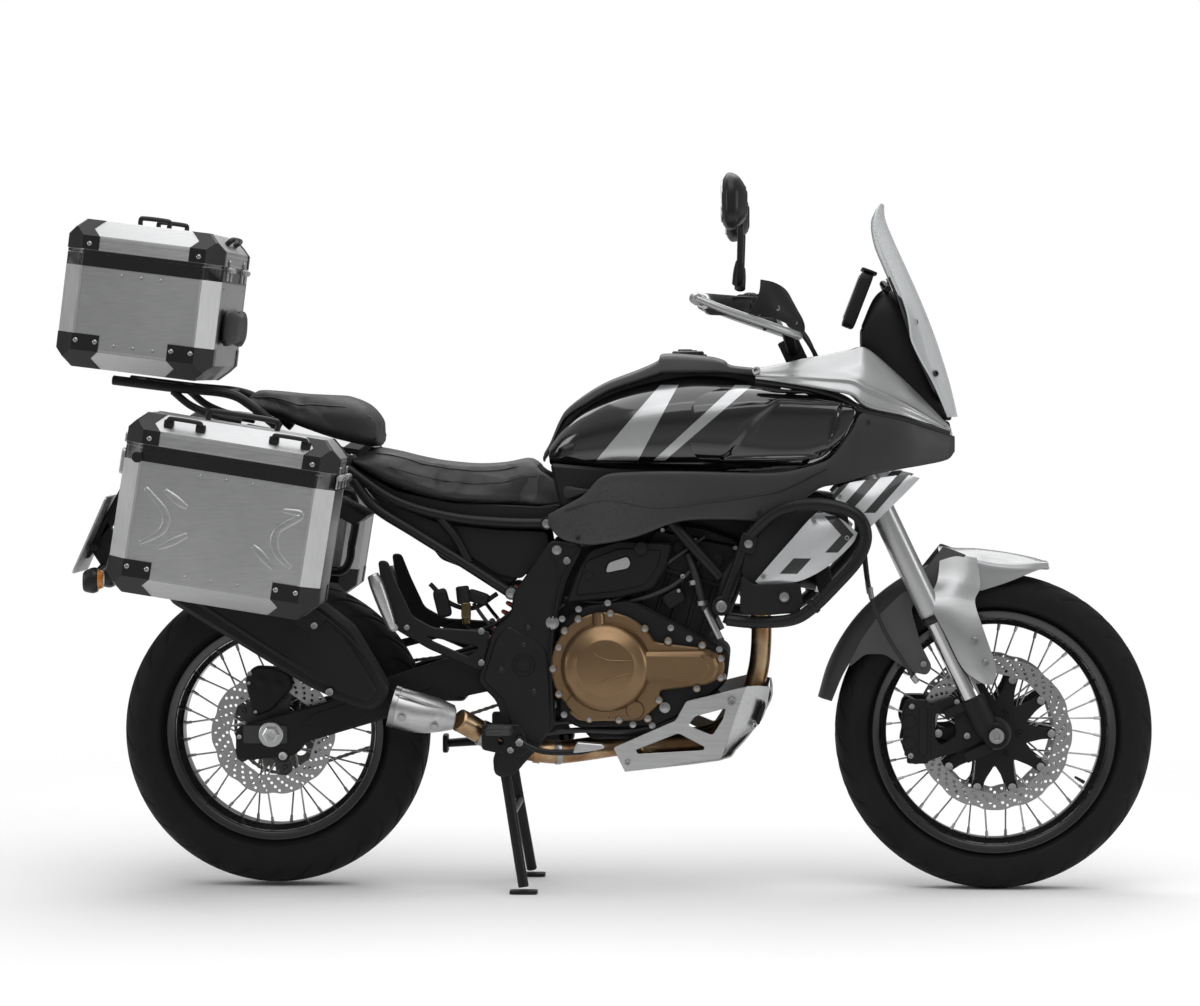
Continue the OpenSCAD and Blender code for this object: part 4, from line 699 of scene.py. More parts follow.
# A wheel: turned rim with a lip each side, crossing spokes that pass outside or inside each other, their
# nipples, and a hub whose flanges carry the spoke heads
def wheel(kind, centre, bead, w, flange, flangeY, rimY, body):
    b, seat = bead / 2, w / 2 - 8
    half = [[b - 18, w * 0.2], [b - 7, seat - 6], [b - 5, w / 2 - 4], [b + 4, w / 2 - 1.5],
        [b + 12, w / 2], [b + 12, seat + 1], [b, seat + 1], [b, seat - 5], [b - 12, w * 0.16]]
    outline = roundCorners(np.vstack([np.array(half), np.array(half)[::-1] * [1, -1]]), 2.5, 4)
    rim = turned(np.vstack([outline, outline[:1]]), centre, "y", 192)
    i = np.arange(36)
    hand, lean = np.where(i % 2 == 0, 1, -1), np.where(i // 2 % 2 == 0, 1, -1)
    a = np.radians(-3 + 10.0 * i)
    out = lean * 2.5
    lead = a + np.radians(34) * lean
    start = np.stack([flange * np.cos(lead), hand * (flangeY + out), flange * np.sin(lead)], 1) + centre
    rimR = b - 15
    end = np.stack([rimR * np.cos(a), hand * (rimY + out), rimR * np.sin(a)], 1) + centre
    wires, nipples = [], []
    for s, e in zip(start, end):
        way = (e - s) / np.linalg.norm(e - s)
        wires.append(bar(s, e, 1.9, 8, 0.3))
        wires.append(bar(s - way * 3, s + way * 7, 3.2, 10, 0.8))
        nipples.append(bar(e - way * 16, e + way * 1, 3.0, 8, 0.8, 3.6))
    build(kind + "_spokes", wires + nipples, spokeSteel, body=body)
    return rim


rearRim = wheel("rear", rearAxle, 431.8, 116, 52, 42, 12, "rear_wheel_body")
hub = turned(rows("12 -94; 21 -93; 22 -84; 38 -82; 40 -79; 40 -52; 34 -48; 57 -47; 58 -45; 58 -39; 56 -37; "
    "36 -35; 31 -20; 31 20; 36 35; 56 37; 58 39; 58 45; 57 47; 38 49; 40 53; 40 79; 22 82; 21 94; 12 95"),
    rearAxle, "y", 64)
ribs = [bar(rearAxle + [34 * math.cos(a), -34, 34 * math.sin(a)], rearAxle + [34 * math.cos(a), 34,
    34 * math.sin(a)], 4, 8) for a in fullTurn(12)]
build("rear_rim", [rearRim, hub] + ribs, rimBlack, ["rear_wheel"], body="rear_wheel_body")
build("rear_valve", [bar(rearAxle + [0, 8, 204], rearAxle + [0, 10, 172], 4, 12, 0.6, 2.6)], hoseRubber,
    body="rear_wheel_body")


# A brake disc: wavy outer edge, rows of drilled holes on a spiral, arms inwards to the carrier
def disc(centre, outer, inner, y, rows, perRow, waves, wave):
    a = fullTurn(288)
    r = outer - wave * (0.5 - 0.5 * np.cos(a * waves)) ** 3
    edge = np.column_stack([centre[0] + r * np.cos(a), centre[2] + r * np.sin(a)])
    q = inner + wave * (0.5 + 0.5 * np.cos(a * waves)) ** 3
    hole = np.column_stack([centre[0] + q * np.cos(a), centre[2] + q * np.sin(a)])
    holes = [hole]
    for k, dr in enumerate(np.linspace(inner + 9, outer - 8, rows)):
        for s in range(perRow):
            angle = 2 * np.pi * (s + 0.33 * k) / perRow
            holes.append(circle(centre[0] + dr * math.cos(angle), centre[2] + dr * math.sin(angle), 3.3, 8))
    return plate(edge, y - 2.4, y + 2.4, holes, 0.4)


build("rear_disc_ring", [disc(rearAxle, 129.5, 88, -86, 4, 30, 10, 4)], rearDiscSteel, ["rear_disc"], 30,
    body="rear_wheel_body")
spider = [circle(0, 0, 30, 32)]
carrierEdge = roundCorners([[r * math.cos(a), r * math.sin(a)] for k in range(5)
    for a, r in ((k * 1.2566 - 0.14, 93), (k * 1.2566 + 0.14, 93), (k * 1.2566 + 0.3, 56),
    (k * 1.2566 + 0.95, 56))], 8, 5)
build("rear_disc_carrier", [moved(plate(carrierEdge, -85, -79, spider, 1), z=rearAxle[2])]
    + [moved(s, z=rearAxle[2]) for s in bolts([(78 * math.cos(k * 1.2566), -84.6,
    78 * math.sin(k * 1.2566), 6) for k in range(5)])], castGrey, body="rear_wheel_body")
sensor = circle(0, 0, 52, 120) * (1 + 0.05 * (np.arange(120) % 3 == 0))[:, None]
build("rear_sensor_ring", [moved(plate(sensor, -78, -76, [circle(0, 0, 40, 32)], 0.3), z=rearAxle[2])],
    boltSteel, body="rear_wheel_body")


def sprocket(x, z, r, teeth, y, thick, holes):
    a = fullTurn(teeth * 8)
    rr = r - 4.5 + 4.5 * np.clip(np.cos(a * teeth) * 1.4, -1, 1)
    return plate(np.column_stack([x + rr * np.cos(a), z + rr * np.sin(a)]), y - thick / 2, y + thick / 2,
        holes, 0.5)


windows = [circle(62 * math.cos(a), rearAxle[2] + 62 * math.sin(a), 14, 24)
    for a in np.linspace(0, 2 * np.pi, 6)[:5] + 0.3]
build("rear_sprocket", [sprocket(0, rearAxle[2], 99.5, 44, 86, 5.5, windows)], chainSteel,
    body="rear_wheel_body")
build("sprocket_bolts", bolts([(41 * math.cos(a), 88.6, rearAxle[2] + 41 * math.sin(a), 6)
    for a in np.linspace(0, 2 * np.pi, 7)[:6]], (0, 1, 0), "hex"), boltSteel, body="rear_wheel_body")

frontRim = wheel("front", frontAxle, 482.6, 80, 45, 37, 10, "front_wheel_body")
hub = turned(rows("12 -76; 17 -75; 18 -68; 36 -66.5; 38 -64; 38 -44; 49 -42; 50 -40; 50 -34; 48 -32; "
    "28 -29; 25 -15; 25 15; 28 29; 48 32; 50 34; 50 40; 49 42; 38 44; 38 64; 36 66.5; 18 68; 17 75; "
    "12 76"), frontAxle, "y", 64)
build("front_rim", [frontRim, hub], rimBlack, ["front_wheel"], body="front_wheel_body")
build("front_valve", [bar(frontAxle + [190, -6, -108], frontAxle + [170, -9, -96], 4, 12, 0.6, 2.6)],
    hoseRubber, body="front_wheel_body")
arms = roundCorners([[r * math.cos(a), r * math.sin(a)] for k in range(10)
    for a, r in ((k * 0.62832 - 0.085, 127), (k * 0.62832 + 0.085, 127), (k * 0.62832 + 0.12, 98),
    (k * 0.62832 + 0.314, 66), (k * 0.62832 + 0.508, 98))], 7, 5)
ears = [(117 * math.cos(k * 0.62832), 117 * math.sin(k * 0.62832)) for k in range(10)]
buttons, carriers = [], []
for side in (-1, 1):
    spiderPlate = plate(arms, side * 61.8, side * 67.3, [circle(0, 0, 34, 32)], 1.2)
    carriers.append((spiderPlate[0] + frontAxle, spiderPlate[1], spiderPlate[2]))
    buttons += [turned(rows("0.1 0; 4 0; 4.5 1.4; 8 1.6; 8.6 0.4; 8.6 -3"), frontAxle + [x, 0, z], "y", 20)
        for x, z in ears]
    buttons[-10:] = [(p * [1, side, 1] + [0, side * 73, 0], q, t) for p, q, t in buttons[-10:]]
    carriers += [(p + frontAxle, q, t) for p, q, t in bolts([(50 * math.cos(a), side * 67,
        50 * math.sin(a), 6) for a in np.linspace(0, 2 * np.pi, 7)[:6]], (0, side, 0))]
build("front_disc_carriers", carriers, castBlack, body="front_wheel_body")
build("disc_buttons", buttons, boltSteel, body="front_wheel_body")
build("front_disc_rings", [disc(frontAxle, 159.5, 122, s * 70, 4, 36, 12, 3.5) for s in (-1, 1)],
    frontDiscSteel, ["front_discs"], 30, body="front_wheel_body")
print("wheels made")


# Tank: superellipse sections that swell from the seat to the middle, then draw in under the front wings
tankPlaces = rows("574 886 922 -82 82; 604 872 966 -106 106; 650 862 1006 -129 129; 720 856 1040 -147 147; "
    "800 852 1062 -160 160; 870 850 1072 -164 164; 945 850 1070 -157 157; 992 852 1060 -150 150")
build("tank_shell", [skin(ovals(tankPlaces, 14, 96, 2.7, 14))], tankGloss, ["fuel_tank"], None)

# Front wing of the tank: places of distance, low, high, outer and inner distance out, and squareness. The
# outer face is the front of a superellipse, pressed in by a few millimetres inside a window with soft edges.
wing = {"places": rows("842 868 1052 152 110 2.8; 880 866 1058 166.5 110 2.9; 940 868 1058 170 120 3.2; "
    "1000 870 1056 175 132 3.8; 1050 876 1048 184 151 4.6; 1120 886 1040 194 152 5; "
    "1176 922 1028 198 156 5; 1200 965 1018 197 160 4.6; 1212 990 1011 190 168 4"),
    "window": [(930, 897), (1150, 903), (1184, 1017), (1050, 1024), (1000, 985)], "depth": 6.5}


def pressedIn(x, z, corners, soft):
    # how deep inside a polygon that turns anticlockwise, from 0 at its edge to 1
    depth = np.full(x.shape, 1e9)
    for (ax, az), (bx, bz) in zip(corners, corners[1:] + corners[:1]):
        length = math.hypot(bx - ax, bz - az)
        depth = np.minimum(depth, ((bx - ax) * (z - az) - (bz - az) * (x - ax)) / length)
    t = np.clip(depth / soft, 0, 1)
    return t * t * (3 - 2 * t)


s = catmull(wing["places"], 12)
a = np.radians(np.linspace(-62, 62, 60))
q = 2 / s[:, 5:6]
x = np.broadcast_to(s[:, :1], (len(s), 60))
z = (s[:, 1:2] + s[:, 2:3]) / 2 + (s[:, 2:3] - s[:, 1:2]) / 2 * np.sign(np.sin(a)) * np.abs(np.sin(a)) ** q
y = s[:, 3:4] * np.cos(a) ** q - wing["depth"] * pressedIn(x, z, wing["window"], 9)
y = np.maximum(y, s[:, 4:5] + 2)
backZ = np.stack([z[:, -1] - 4, z[:, 0] + 4], 1)
backY = np.repeat(s[:, 4:5], 2, 1)
wingGrid = np.stack([np.hstack([x, s[:, :1], s[:, :1]]), np.hstack([-y, -backY]), np.hstack([z, backZ])], -1)
build("tank_wings", both(skin(wingGrid)), tankGloss, ["tank_side_wings"], 50)

# Matte cover along the top, with the filler on its raised part
coverPlaces = rows("560 890 906 -34 34 4; 576 915 934 -44 44 4; 594 956 976 -52 52 4; "
    "612 984 1003 -60 60 4; 655 1010 1036 -74 74 4; 700 1036 1061 -84 84 4; 760 1056 1084 -92 92 4; "
    "800 1070 1102 -96 96 5; 815 1073 1117 -98 98 5; 900 1074 1112 -100 100 5; 935 1074 1104 -100 100 5; "
    "952 1074 1093 -98 98 5; 1002 1068 1087 -88 88 5")
build("tank_cover", [skin(ovals(coverPlaces, 7, 60, 4, 4))], coverGrey, ["tank_top_cover"], 45)
cap = turned(rows("0.1 10; 18 10; 20 8; 30 8; 33 6; 34 0; 40 -1; 41 -8"), (862, 0, 1114), "z", 56)
build("filler_cap", [cap, block((856, 0, 1124), (30, 12, 4), 5)] + bolts([(862 + 36 * math.cos(k),
    36 * math.sin(k), 1113, 2.6) for k in np.arange(6) * 1.047], (0, 0, 1)), satinBlack)

# Side panels under the tank: a sheet through four lines along the machine, with pebble grain behind
sidePlaces = rows("578 762 786 152; 604 736 800 161; 650 724 826 168; 692 726 866 170; 760 740 874 172; "
    "850 772 876 176; 950 776 874 178; 1010 774 873 180; 1065 792 876 184; 1130 838 892 190; "
    "1162 848 910 194; 1200 858 962 198; 1225 865 998 198; 1300 880 984 178; 1350 888 968 152; "
    "1398 898 952 114; 1414 914 946 98")
px, low, high, out = sidePlaces.T
share = np.array([0, 0.04, 0.3, 0.66, 0.95, 1.0])
push = np.array([-8, 0, 2, 2, -1, -7])
control = np.stack([np.repeat(px[:, None], 6, 1), -(out[:, None] + push),
    low[:, None] + (high - low)[:, None] * share], -1)
sideGrid = smoothGrid(control, 7, 7)
build("side_panel_skins", both(panel(sideGrid, 3.4)), panelPlastic, ["side_panels"], 45)
panelScrews = [(1233, -193, 975, 5.5), (640, -170.5, 738, 4.5), (1010, -182.5, 792, 4.5)]
build("panel_screws", both(*bolts(panelScrews)), blackBolt)
seamLine = rows("612 -168 796; 700 -172 815; 800 -176 800; 900 -181 812; 1000 -183 826; 1060 -187 838; "
    "1150 -195 882")
build("panel_creases", both(tube(seamLine, 1.3, 10, 8)), satinBlack)

# Silver cowls: distance, lower edge and how far out it is, upper edge and how far out it is. A crease runs
# along the lower third.
cowlPlaces = rows("1004 1064 172 1086 152; 1050 1058 186 1094 154; 1100 1050 200 1106 156; "
    "1150 1041 208 1115 158; 1200 1030 212 1125 160; 1232 1006 210 1127 160; 1300 990 186 1070 146; "
    "1350 974 156 1022 120; 1405 956 112 966 96")
px, low, lowOut, high, highOut = cowlPlaces.T
share = np.array([0.0, 0.05, 0.24, 0.34, 0.44, 0.7, 0.96, 1.0])
bulge = np.array([-7, 0, 1.5, 6, 2.0, 4, 1, -5])
control = np.stack([np.repeat(px[:, None], 8, 1), -((lowOut + (highOut - lowOut) * share[:, None] ** 1.2).T
    + bulge), low[:, None] + (high - low)[:, None] * share], -1)
build("silver_cowls", both(panel(smoothGrid(control, 10, 7), 3.4)), silverPaint, ["front_side_cowls"], 45)
build("cowl_bolts", both(*bolts([(1006, -158, 1079, 9)], (-0.2, -0.9, 0.35))), boltSteel)

# Nose between the cowls, and the lamp in its mouth
nosePlaces = rows("1222 1128 1170 -84 84; 1252 1084 1236 -92 92; 1285 1010 1248 -96 96; "
    "1330 930 1200 -96 96; 1362 900 1100 -92 92; 1371 901 1066 -90 90")
build("nose_shell", [skin(ovals(nosePlaces, 9, 64, 4, 5)), skin(ovals(rows("1368 976 1070 -88 88; "
    "1392 977 1010 -82 82; 1408 978 992 -78 78"), 5, 40, 4, 3)), skin(ovals(rows("1368 900 914 -90 90; "
    "1398 905 914 -84 84; 1411 908 914 -76 76"), 5, 32, 4, 2)), *both(block((1386, 79, 945), (40, 14, 66),
    5))], blackPlastic, ["nose_cowl"], 45)
lens = skin(ovals(rows("1384 919 973 -68 68; 1400 920 970 -67 67; 1411 927 957 -62 62"), 6, 56, 6, 4))
build("headlight_lens", [lens], lensClear, ["headlight"], 50)
build("headlight_bowls", both(turned(rows("0.1 2; 9 1; 14 6; 20 13; 21 13; 21 -6; 0.1 -6"),
    (1384, 33, 946), "x", 40)), chrome)
build("headlight_eyes", both(turned(rows("0.1 9; 6 8; 10 4; 11 0; 11 -3"), (1388, 33, 946), "x", 32)),
    displayGlass)
build("day_lights", both(tube(rows("1395 58 970; 1402 62 950; 1404 56 930; 1406 30 924"), 2.4, 8, 10)),
    mirrorGlass)

# Windscreen rows: height, middle distance, edge distance, half width; each row is a parabola across
screenRows = rows("986 1424 1402 104; 1050 1409 1374 128; 1100 1394 1346 150; 1145 1379 1324 168; "
    "1190 1362 1318 166; 1240 1341 1302 158; 1300 1314 1276 148; 1350 1291 1256 140; 1395 1273 1250 120; "
    "1424 1270 1262 86")
s = catmull(screenRows, 10)
u = np.linspace(-1, 1, 61)[None]
screenGrid = np.stack([s[:, 1:2] - (s[:, 1:2] - s[:, 2:3]) * u ** 2, s[:, 3:4] * u,
    np.broadcast_to(s[:, :1], (len(s), 61))], -1)
build("screen_sheet", [panel(screenGrid[:, ::-1], 3.6)], screenClear, ["windscreen"], 50)
edgeLine = np.vstack([screenGrid[:, 0], screenGrid[-1], screenGrid[::-1, -1]])[::6] + [-2, 0, 0]
build("screen_edge", [tube(edgeLine, 2.1, 4, 8)], screenEdge)
mount = both(panel(smoothGrid(rows("1392 78 1010; 1368 118 1040; 1352 86 1110; 1326 140 1130; 1306 84 1200; "
    "1296 112 1225; 1278 70 1268; 1276 86 1274").reshape(4, -1, 3), 8, 6), 4))
build("screen_brackets", mount + [tube(rows("1276 -80 1250; 1268 0 1262; 1276 80 1250"), 7, 8, 14)],
    satinBlack)
build("screen_screws", both(*bolts([(1371, 118, 1075, 7), (1328, 134, 1180, 7)], (0.6, 0.75, 0.2))),
    blackBolt)

# Instrument display: a rounded slab leaning back, with its glass on the rider's side
def onDisplay(shape):
    return shape[0] @ turnUp(21) + [1214, 0, 1228], shape[1], shape[2]


build("display_case", [onDisplay(block((1, 0, 0), (26, 175, 122), 10, 20, 48)),
    onDisplay(block((2, 0, 64), (34, 168, 7), 6))], blackPlastic, ["instrument_display"])
build("display_glass", [onDisplay(block((-12.6, 0, 3), (3, 152, 96), 14, 12, 48))], displayGlass)

# Shroud panels inside the crash bars
shroudLow = rows("1004 -206 652; 1010 -206 647; 1018 -206 645; 1040 -214 695; 1066 -220 670; 1092 -218 653; "
    "1075 -218 735; 1114 -228 707; 1150 -226 683; 1110 -216 775; 1156 -230 750; 1198 -230 727; "
    "1133 -210 797; 1178 -226 780; 1212 -228 752").reshape(5, -1, 3)
shroudHigh = rows("1160 -196 826; 1198 -204 790; 1232 -206 757; 1186 -196 850; 1228 -204 820; "
    "1264 -204 788; 1252 -184 862; 1278 -188 843; 1302 -186 824; 1310 -172 870; 1326 -172 866; "
    "1340 -170 862").reshape(4, -1, 3)
build("shroud_panels", both(panel(smoothGrid(shroudLow, 10, 14)[:, ::-1], 3.2),
    panel(smoothGrid(shroudHigh, 10, 14)[:, ::-1], 3.2)), shroudFinish, ["radiator_shrouds"], 45)
build("shroud_bolts", both(*bolts(rows("1020 -211 663 5; 1122 -224 778 5; 1190 -228 742 5; "
    "1176 -199 826 4"))), boltSteel)
innerShroud = plate(roundCorners(rows("975 662; 1000 640; 1090 640; 1140 690; 1200 735; 1190 800; 1130 826; "
    "1075 790; 1010 770; 985 720"), 14), -196, -190, [roundCorners(rows("1150 722; 1180 748; 1174 786; "
    "1140 792"), 8)], 1.5)
build("shroud_frames", both(innerShroud), blackPlastic)
print("bodywork made")


# Seats. The foam starts a little small, is remeshed, and is blown up as cloth; no point may then stray more
# than its cap, and the base stays where it was.
seat = {"voxel": 0.006, "pressure": 4.0, "frames": 20, "shrink": 0.006, "cap": 0.026}


def inflate(piece, low):
    scene.frame_set(1)
    change = piece.modifiers.new("work", "REMESH")
    change.mode, change.voxel_size, change.use_smooth_shade = "VOXEL", seat["voxel"], True
    settle(piece)
    n = len(piece.data.vertices)
    rest, normal = np.zeros(n * 3), np.zeros(n * 3)
    piece.data.vertices.foreach_get("co", rest)
    piece.data.vertices.foreach_get("normal", normal)
    rest, normal = rest.reshape(-1, 3), normal.reshape(-1, 3)
    start = rest - normal * seat["shrink"]
    piece.data.vertices.foreach_set("co", start.ravel())
    cloth = piece.modifiers.new("work", "CLOTH")
    cloth.settings.quality, cloth.settings.mass = 4, 0.3
    cloth.settings.use_pressure, cloth.settings.uniform_pressure_force = True, seat["pressure"]
    cloth.settings.tension_stiffness, cloth.settings.bending_stiffness = 30, 2
    cloth.settings.effector_weights.gravity = 0
    cloth.point_cache.frame_start, cloth.point_cache.frame_end = 1, seat["frames"]
    for k in range(1, seat["frames"] + 1):
        scene.frame_set(k)
    settle(piece)
    blown = np.zeros(n * 3)
    piece.data.vertices.foreach_get("co", blown)
    move = blown.reshape(-1, 3) - start
    far = np.linalg.norm(move, axis=1, keepdims=True)
    move *= np.minimum(1, seat["cap"] / np.maximum(far, 1e-9))
    soft = start + move
    crown = np.clip((rest[:, 2:] - low(rest[:, 0])[:, None]) / 0.03, 0, 1)
    away = np.einsum("ij,ij->i", soft - rest, normal)[:, None]
    soft = soft - normal * np.maximum(away - 0.005, 0)  # never more than 5 mm proud of the foam
    piece.data.vertices.foreach_set("co", (rest + (soft - rest) * crown).ravel())
    scene.frame_set(1)
    smooth = piece.modifiers.new("even", "SMOOTH")
    smooth.factor, smooth.iterations = 0.5, 6
    settle(piece)
    finer = piece.modifiers.new("finer", "SUBSURF")
    finer.levels = finer.render_levels = 1
    settle(piece)


def settle(piece):
    # the piece keeps the shape that its modifiers give it
    scene.view_layers[0].update()
    graph = bpy.context.evaluated_depsgraph_get()
    shape = bpy.data.meshes.new_from_object(piece.evaluated_get(graph))
    piece.modifiers.clear()
    piece.data = shape


def pad(name, shapes, material, stands, low):
    piece = build(name, shapes, material, stands, None)
    inflate(piece, low)
    piece.data.materials.clear()
    piece.data.materials.append(material)
    piece.data.polygons.foreach_set("use_smooth", np.ones(len(piece.data.polygons), bool))
    return piece


def bottomOf(places):  # the height of a seat's base at a point along it, in metres
    return lambda x: np.interp((x - datumX) * 1000, [p[0] for p in places], [p[1] for p in places]) / 1000


def welt(seatPiece, line, radius=1.6):
    # sewn cord that lies on the seat: each of its points moves to the nearest point of the cover
    wanted = toFrame(catmull(line, 14))
    n = len(seatPiece.data.vertices)
    points, normal = np.zeros(n * 3), np.zeros(n * 3)
    seatPiece.data.vertices.foreach_get("co", points)
    seatPiece.data.vertices.foreach_get("normal", normal)
    points, normal = points.reshape(-1, 3), normal.reshape(-1, 3)
    near = np.array([np.argmin(((points - w) ** 2).sum(1)) for w in wanted])
    found = points[near] + normal[near] * 0.0006
    keep = np.concatenate([[True], np.linalg.norm(np.diff(found, axis=0), axis=1) > 0.004])
    found = (found[keep] - [datumX, 0, 0]) * 1000
    found[1:-1] = (found[:-2] + found[1:-1] + found[2:]) / 3
    return both(tube(found, radius, 2, 8))


riderPlaces = rows("160 893 907 -116 116; 196 869 917 -136 136; 250 840 909 -146 146; 300 822 897 -147 147; "
    "350 810 888 -145 145; 420 801 882 -136 136; 480 797 885 -125 125; 530 794 894 -114 114; "
    "566 791 886 -108 108")
hornPlaces = rows("540 800 880 60 108; 575 801 872 74 116; 605 806 862 92 132; 645 822 856 122 148; "
    "680 842 854 142 155")
riderSeat = pad("rider_seat_cover", [skin(ovals(riderPlaces, 10, 72, 3, 22)),
    *both(skin(ovals(hornPlaces, 8, 40, 3, 3)))], riderLeather, ["rider_seat"], bottomOf(riderPlaces))
pillionPlaces = rows("-66 1000 1038 -94 94; 0 985 1034 -107 107; 60 962 1028 -121 121; "
    "120 941 1025 -127 127; 168 929 1022 -127 127; 200 923 1010 -122 122; 222 924 982 -112 112; "
    "226 928 962 -106 106")
pillionSeat = pad("pillion_seat_cover", [skin(ovals(pillionPlaces, 10, 72, 3.2, 16))], pillionLeather,
    ["pillion_seat"], bottomOf(pillionPlaces))


def seamOn(places, share, upTo, power=3):
    # a line along the seat at one angle round its superellipse
    s = np.array(places, float)
    c, d = math.cos(share), math.sin(share)
    y = s[:, 4] * c ** (2 / power)
    z = (s[:, 1] + s[:, 2]) / 2 + (s[:, 2] - s[:, 1]) / 2 * d ** (2 / power)
    return np.stack([s[:, 0], -y, z], 1)[upTo]


build("seat_welts", welt(riderSeat, seamOn(riderPlaces, 0.95, slice(1, 9))) + welt(riderSeat,
    seamOn(riderPlaces, 0.3, slice(2, 9)), 1.2) + welt(pillionSeat,
    seamOn(pillionPlaces, 0.62, slice(0, 7))), satinBlack)
print("seats made")


# Frame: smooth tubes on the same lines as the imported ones, and the plates that carry the swingarm
frameTubes = [(rows("1166 -14 930; 1110 -62 888; 1050 -92 850; 1000 -115 824; 900 -138 795; 780 -142 770; "
    "640 -139 728"), 15), (rows("1150 -14 906; 1120 -46 866; 1088 -80 818; 1046 -117 774; 1000 -138 726; "
    "952 -150 665; 935 -150 600"), 15), (rows("935 -150 655; 880 -148 715; 830 -142 772"), 12)]
pivotOutline = roundCorners(rows("582 733; 650 722; 614 650; 599 590; 589 520; 589 430; 592 350; 578 334; "
    "552 300; 505 244; 466 244; 462 285; 492 330; 470 400; 430 440; 462 545; 500 580; 505 622"), 14)
headTube = aimed(turned(rows("15.2 980; 31 980; 34 984; 34 1004; 31 1008; 31 1118; 34 1122; 34 1143; "
    "31 1147; 15.2 1147"), axis="z", segments=48), (1610.9, 0, 0), (-math.sin(math.radians(25.5)), 0,
    math.cos(math.radians(25.5))))
frameShapes = both(*[tube(p, r, 9, 22) for p, r in frameTubes], plate(pivotOutline, -145.6, -132.4,
    edge=3.2), bar((935, -145.6, 600), (935, -166, 600), 17), drum(484, 262, 20, -146, -132, 3))
frameShapes += [bar((610, -132, 690), (610, 132, 690), 16), bar((565, -132, 372), (565, 132, 372), 16),
    headTube]
frameShapes += [plate(roundCorners(rows("552 292; 570 344; 592 352; 614 306; 606 285; 592 286"), 6), 132,
    146), drum(600, 300, 16, 132, 156)]
build("frame_tubes", frameShapes, frameBlack, ["main_frame"])
coverLine = roundCorners(rows("495 556; 560 518; 574 505; 580 430; 583 352; 560 306; 508 250; 474 250; "
    "472 286; 506 334; 486 402; 442 444; 470 530"), 10)
capRing = turned(rows("0.1 -152; 14 -152; 15 -150.5; 19 -150.5; 20 -151.6; 22.8 -151.6; 23.8 -150; "
    "23.8 -146.2"), (527, 0, 475), "y", 48)
plateDetail = both(capRing, plate(coverLine, -149.6, -144, edge=2.4),
    tube(rows("640 -146 716; 606 -146.5 650; 594 -146.5 590; 584 -146 536"), [0.6, 3, 3, 0.6], 8, 10),
    tube(rows("584 -146 706; 600 -146 650; 586 -146 590; 578 -146 520; 577 -146 440; 580 -146 360"), 2.4,
    8, 10), drum(480, 466, 9, -150.4, -148), drum(548, 421, 9, -150.4, -148),
    drum(536, 552, 8, -148.4, -145))
build("pivot_caps", plateDetail, frameBlack)
build("pivot_bolts", both(*bolts(rows("536 -148.4 552 5; 527 -150 516 5; 548 -150.4 421 5; "
    "480 -150.4 466 5"), kind="dome")), blackBolt)
build("frame_bolts", both(*bolts(rows("586 -146.5 562 11; 500 -131 622 9; 574 -131 766 8; 595 -146 712 8"),
    kind="hex"), *bolts([(935, -193, 600, 12), (616, -146, 690, 8)])), boltSteel)

# Subframe with the black trays between its rails
rails = [(rows("574 -118 766; 480 -118 768; 370 -118 780; 255 -116 815; 140 -110 890; 30 -104 935; "
    "-80 -100 958"), 11), (rows("497 -118 622; 400 -118 684; 300 -117 746; 215 -114 800; 170 -113 856"),
    11), (rows("352 -118 776; 385 -118 735; 412 -118 684"), 9)]
build("subframe_rails", both(*[tube(p, r, 9, 20) for p, r in rails],
    bar((574, -131, 766), (574, -105, 766), 14), bar((500, -131, 622), (500, -105, 622), 14))
    + [bar((x, -w, z), (x, w, z), 9) for x, z, w in ((300, 797, 116), (30, 935, 104), (-76, 957, 100),
    (300, 746, 117))], frameBlack, ["subframe"])
tray = rows("150 888; 262 800; 352 764; 470 752; 572 748; 578 716; 520 650; 470 660; 408 700; 372 706; "
    "330 730; 230 800; 170 868")
lowTray = rows("330 718; 352 690; 388 676; 470 646; 500 640; 560 700; 560 730; 350 730")
seatBase = roundCorners(rows("150 906; 170 880; 262 832; 380 808; 560 800; 700 806; 700 772; 560 770; "
    "380 772; 262 806; 150 880"), 6)
tankTray = roundCorners(rows("580 890; 700 880; 980 872; 1100 880; 1100 800; 980 770; 720 770; 600 800"), 10)
airBox = roundCorners(rows("650 600; 650 800; 1040 830; 1060 760; 1060 600; 1000 590; 960 640; 760 640"), 14)
build("inner_trays", [plate(seatBase, -108, 108, edge=2), plate(tankTray, -128, 128, edge=6),
    plate(airBox, -84, 84, edge=10), plate(roundCorners(rows("585 540; 680 540; 700 760; 610 760"), 8),
    -100, 100, edge=4)], blackPlastic)
# Painted shade: a dark satin sheet under the tank cover and a dark cord along the seam between the silver
# cowls and the tank wings, filling those gaps with black where the white behind would otherwise show
coverGapShade = roundCorners(rows("576 912; 592 952; 612 986; 700 1046; 800 1076; 900 1083; 1000 1078; 1056 1066; "
    "1056 1020; 900 1050; 800 1040; 700 1000; 620 950; 592 900"), 4)
cowlGapShade = rows("1004 -156 1062; 1060 -160 1054; 1120 -164 1044; 1178 -172 1026; 1206 -182 1009; "
    "1228 -190 1001; 1300 -172 987; 1350 -146 971; 1400 -104 954")
build("gap_shade_fillers", [plate(coverGapShade, -50, 50, edge=2), *both(tube(cowlGapShade, 8.5, 8, 14))], satinBlack)
build("under_seat_trays", both(plate(roundCorners(tray, 10), -105.5, -101, edge=1),
    plate(roundCorners(lowTray, 8), -99, -84, edge=3), plate(roundCorners(rows("366 690; 392 676; 400 690; "
    "374 706"), 4), -116, -100)), blackPlastic)

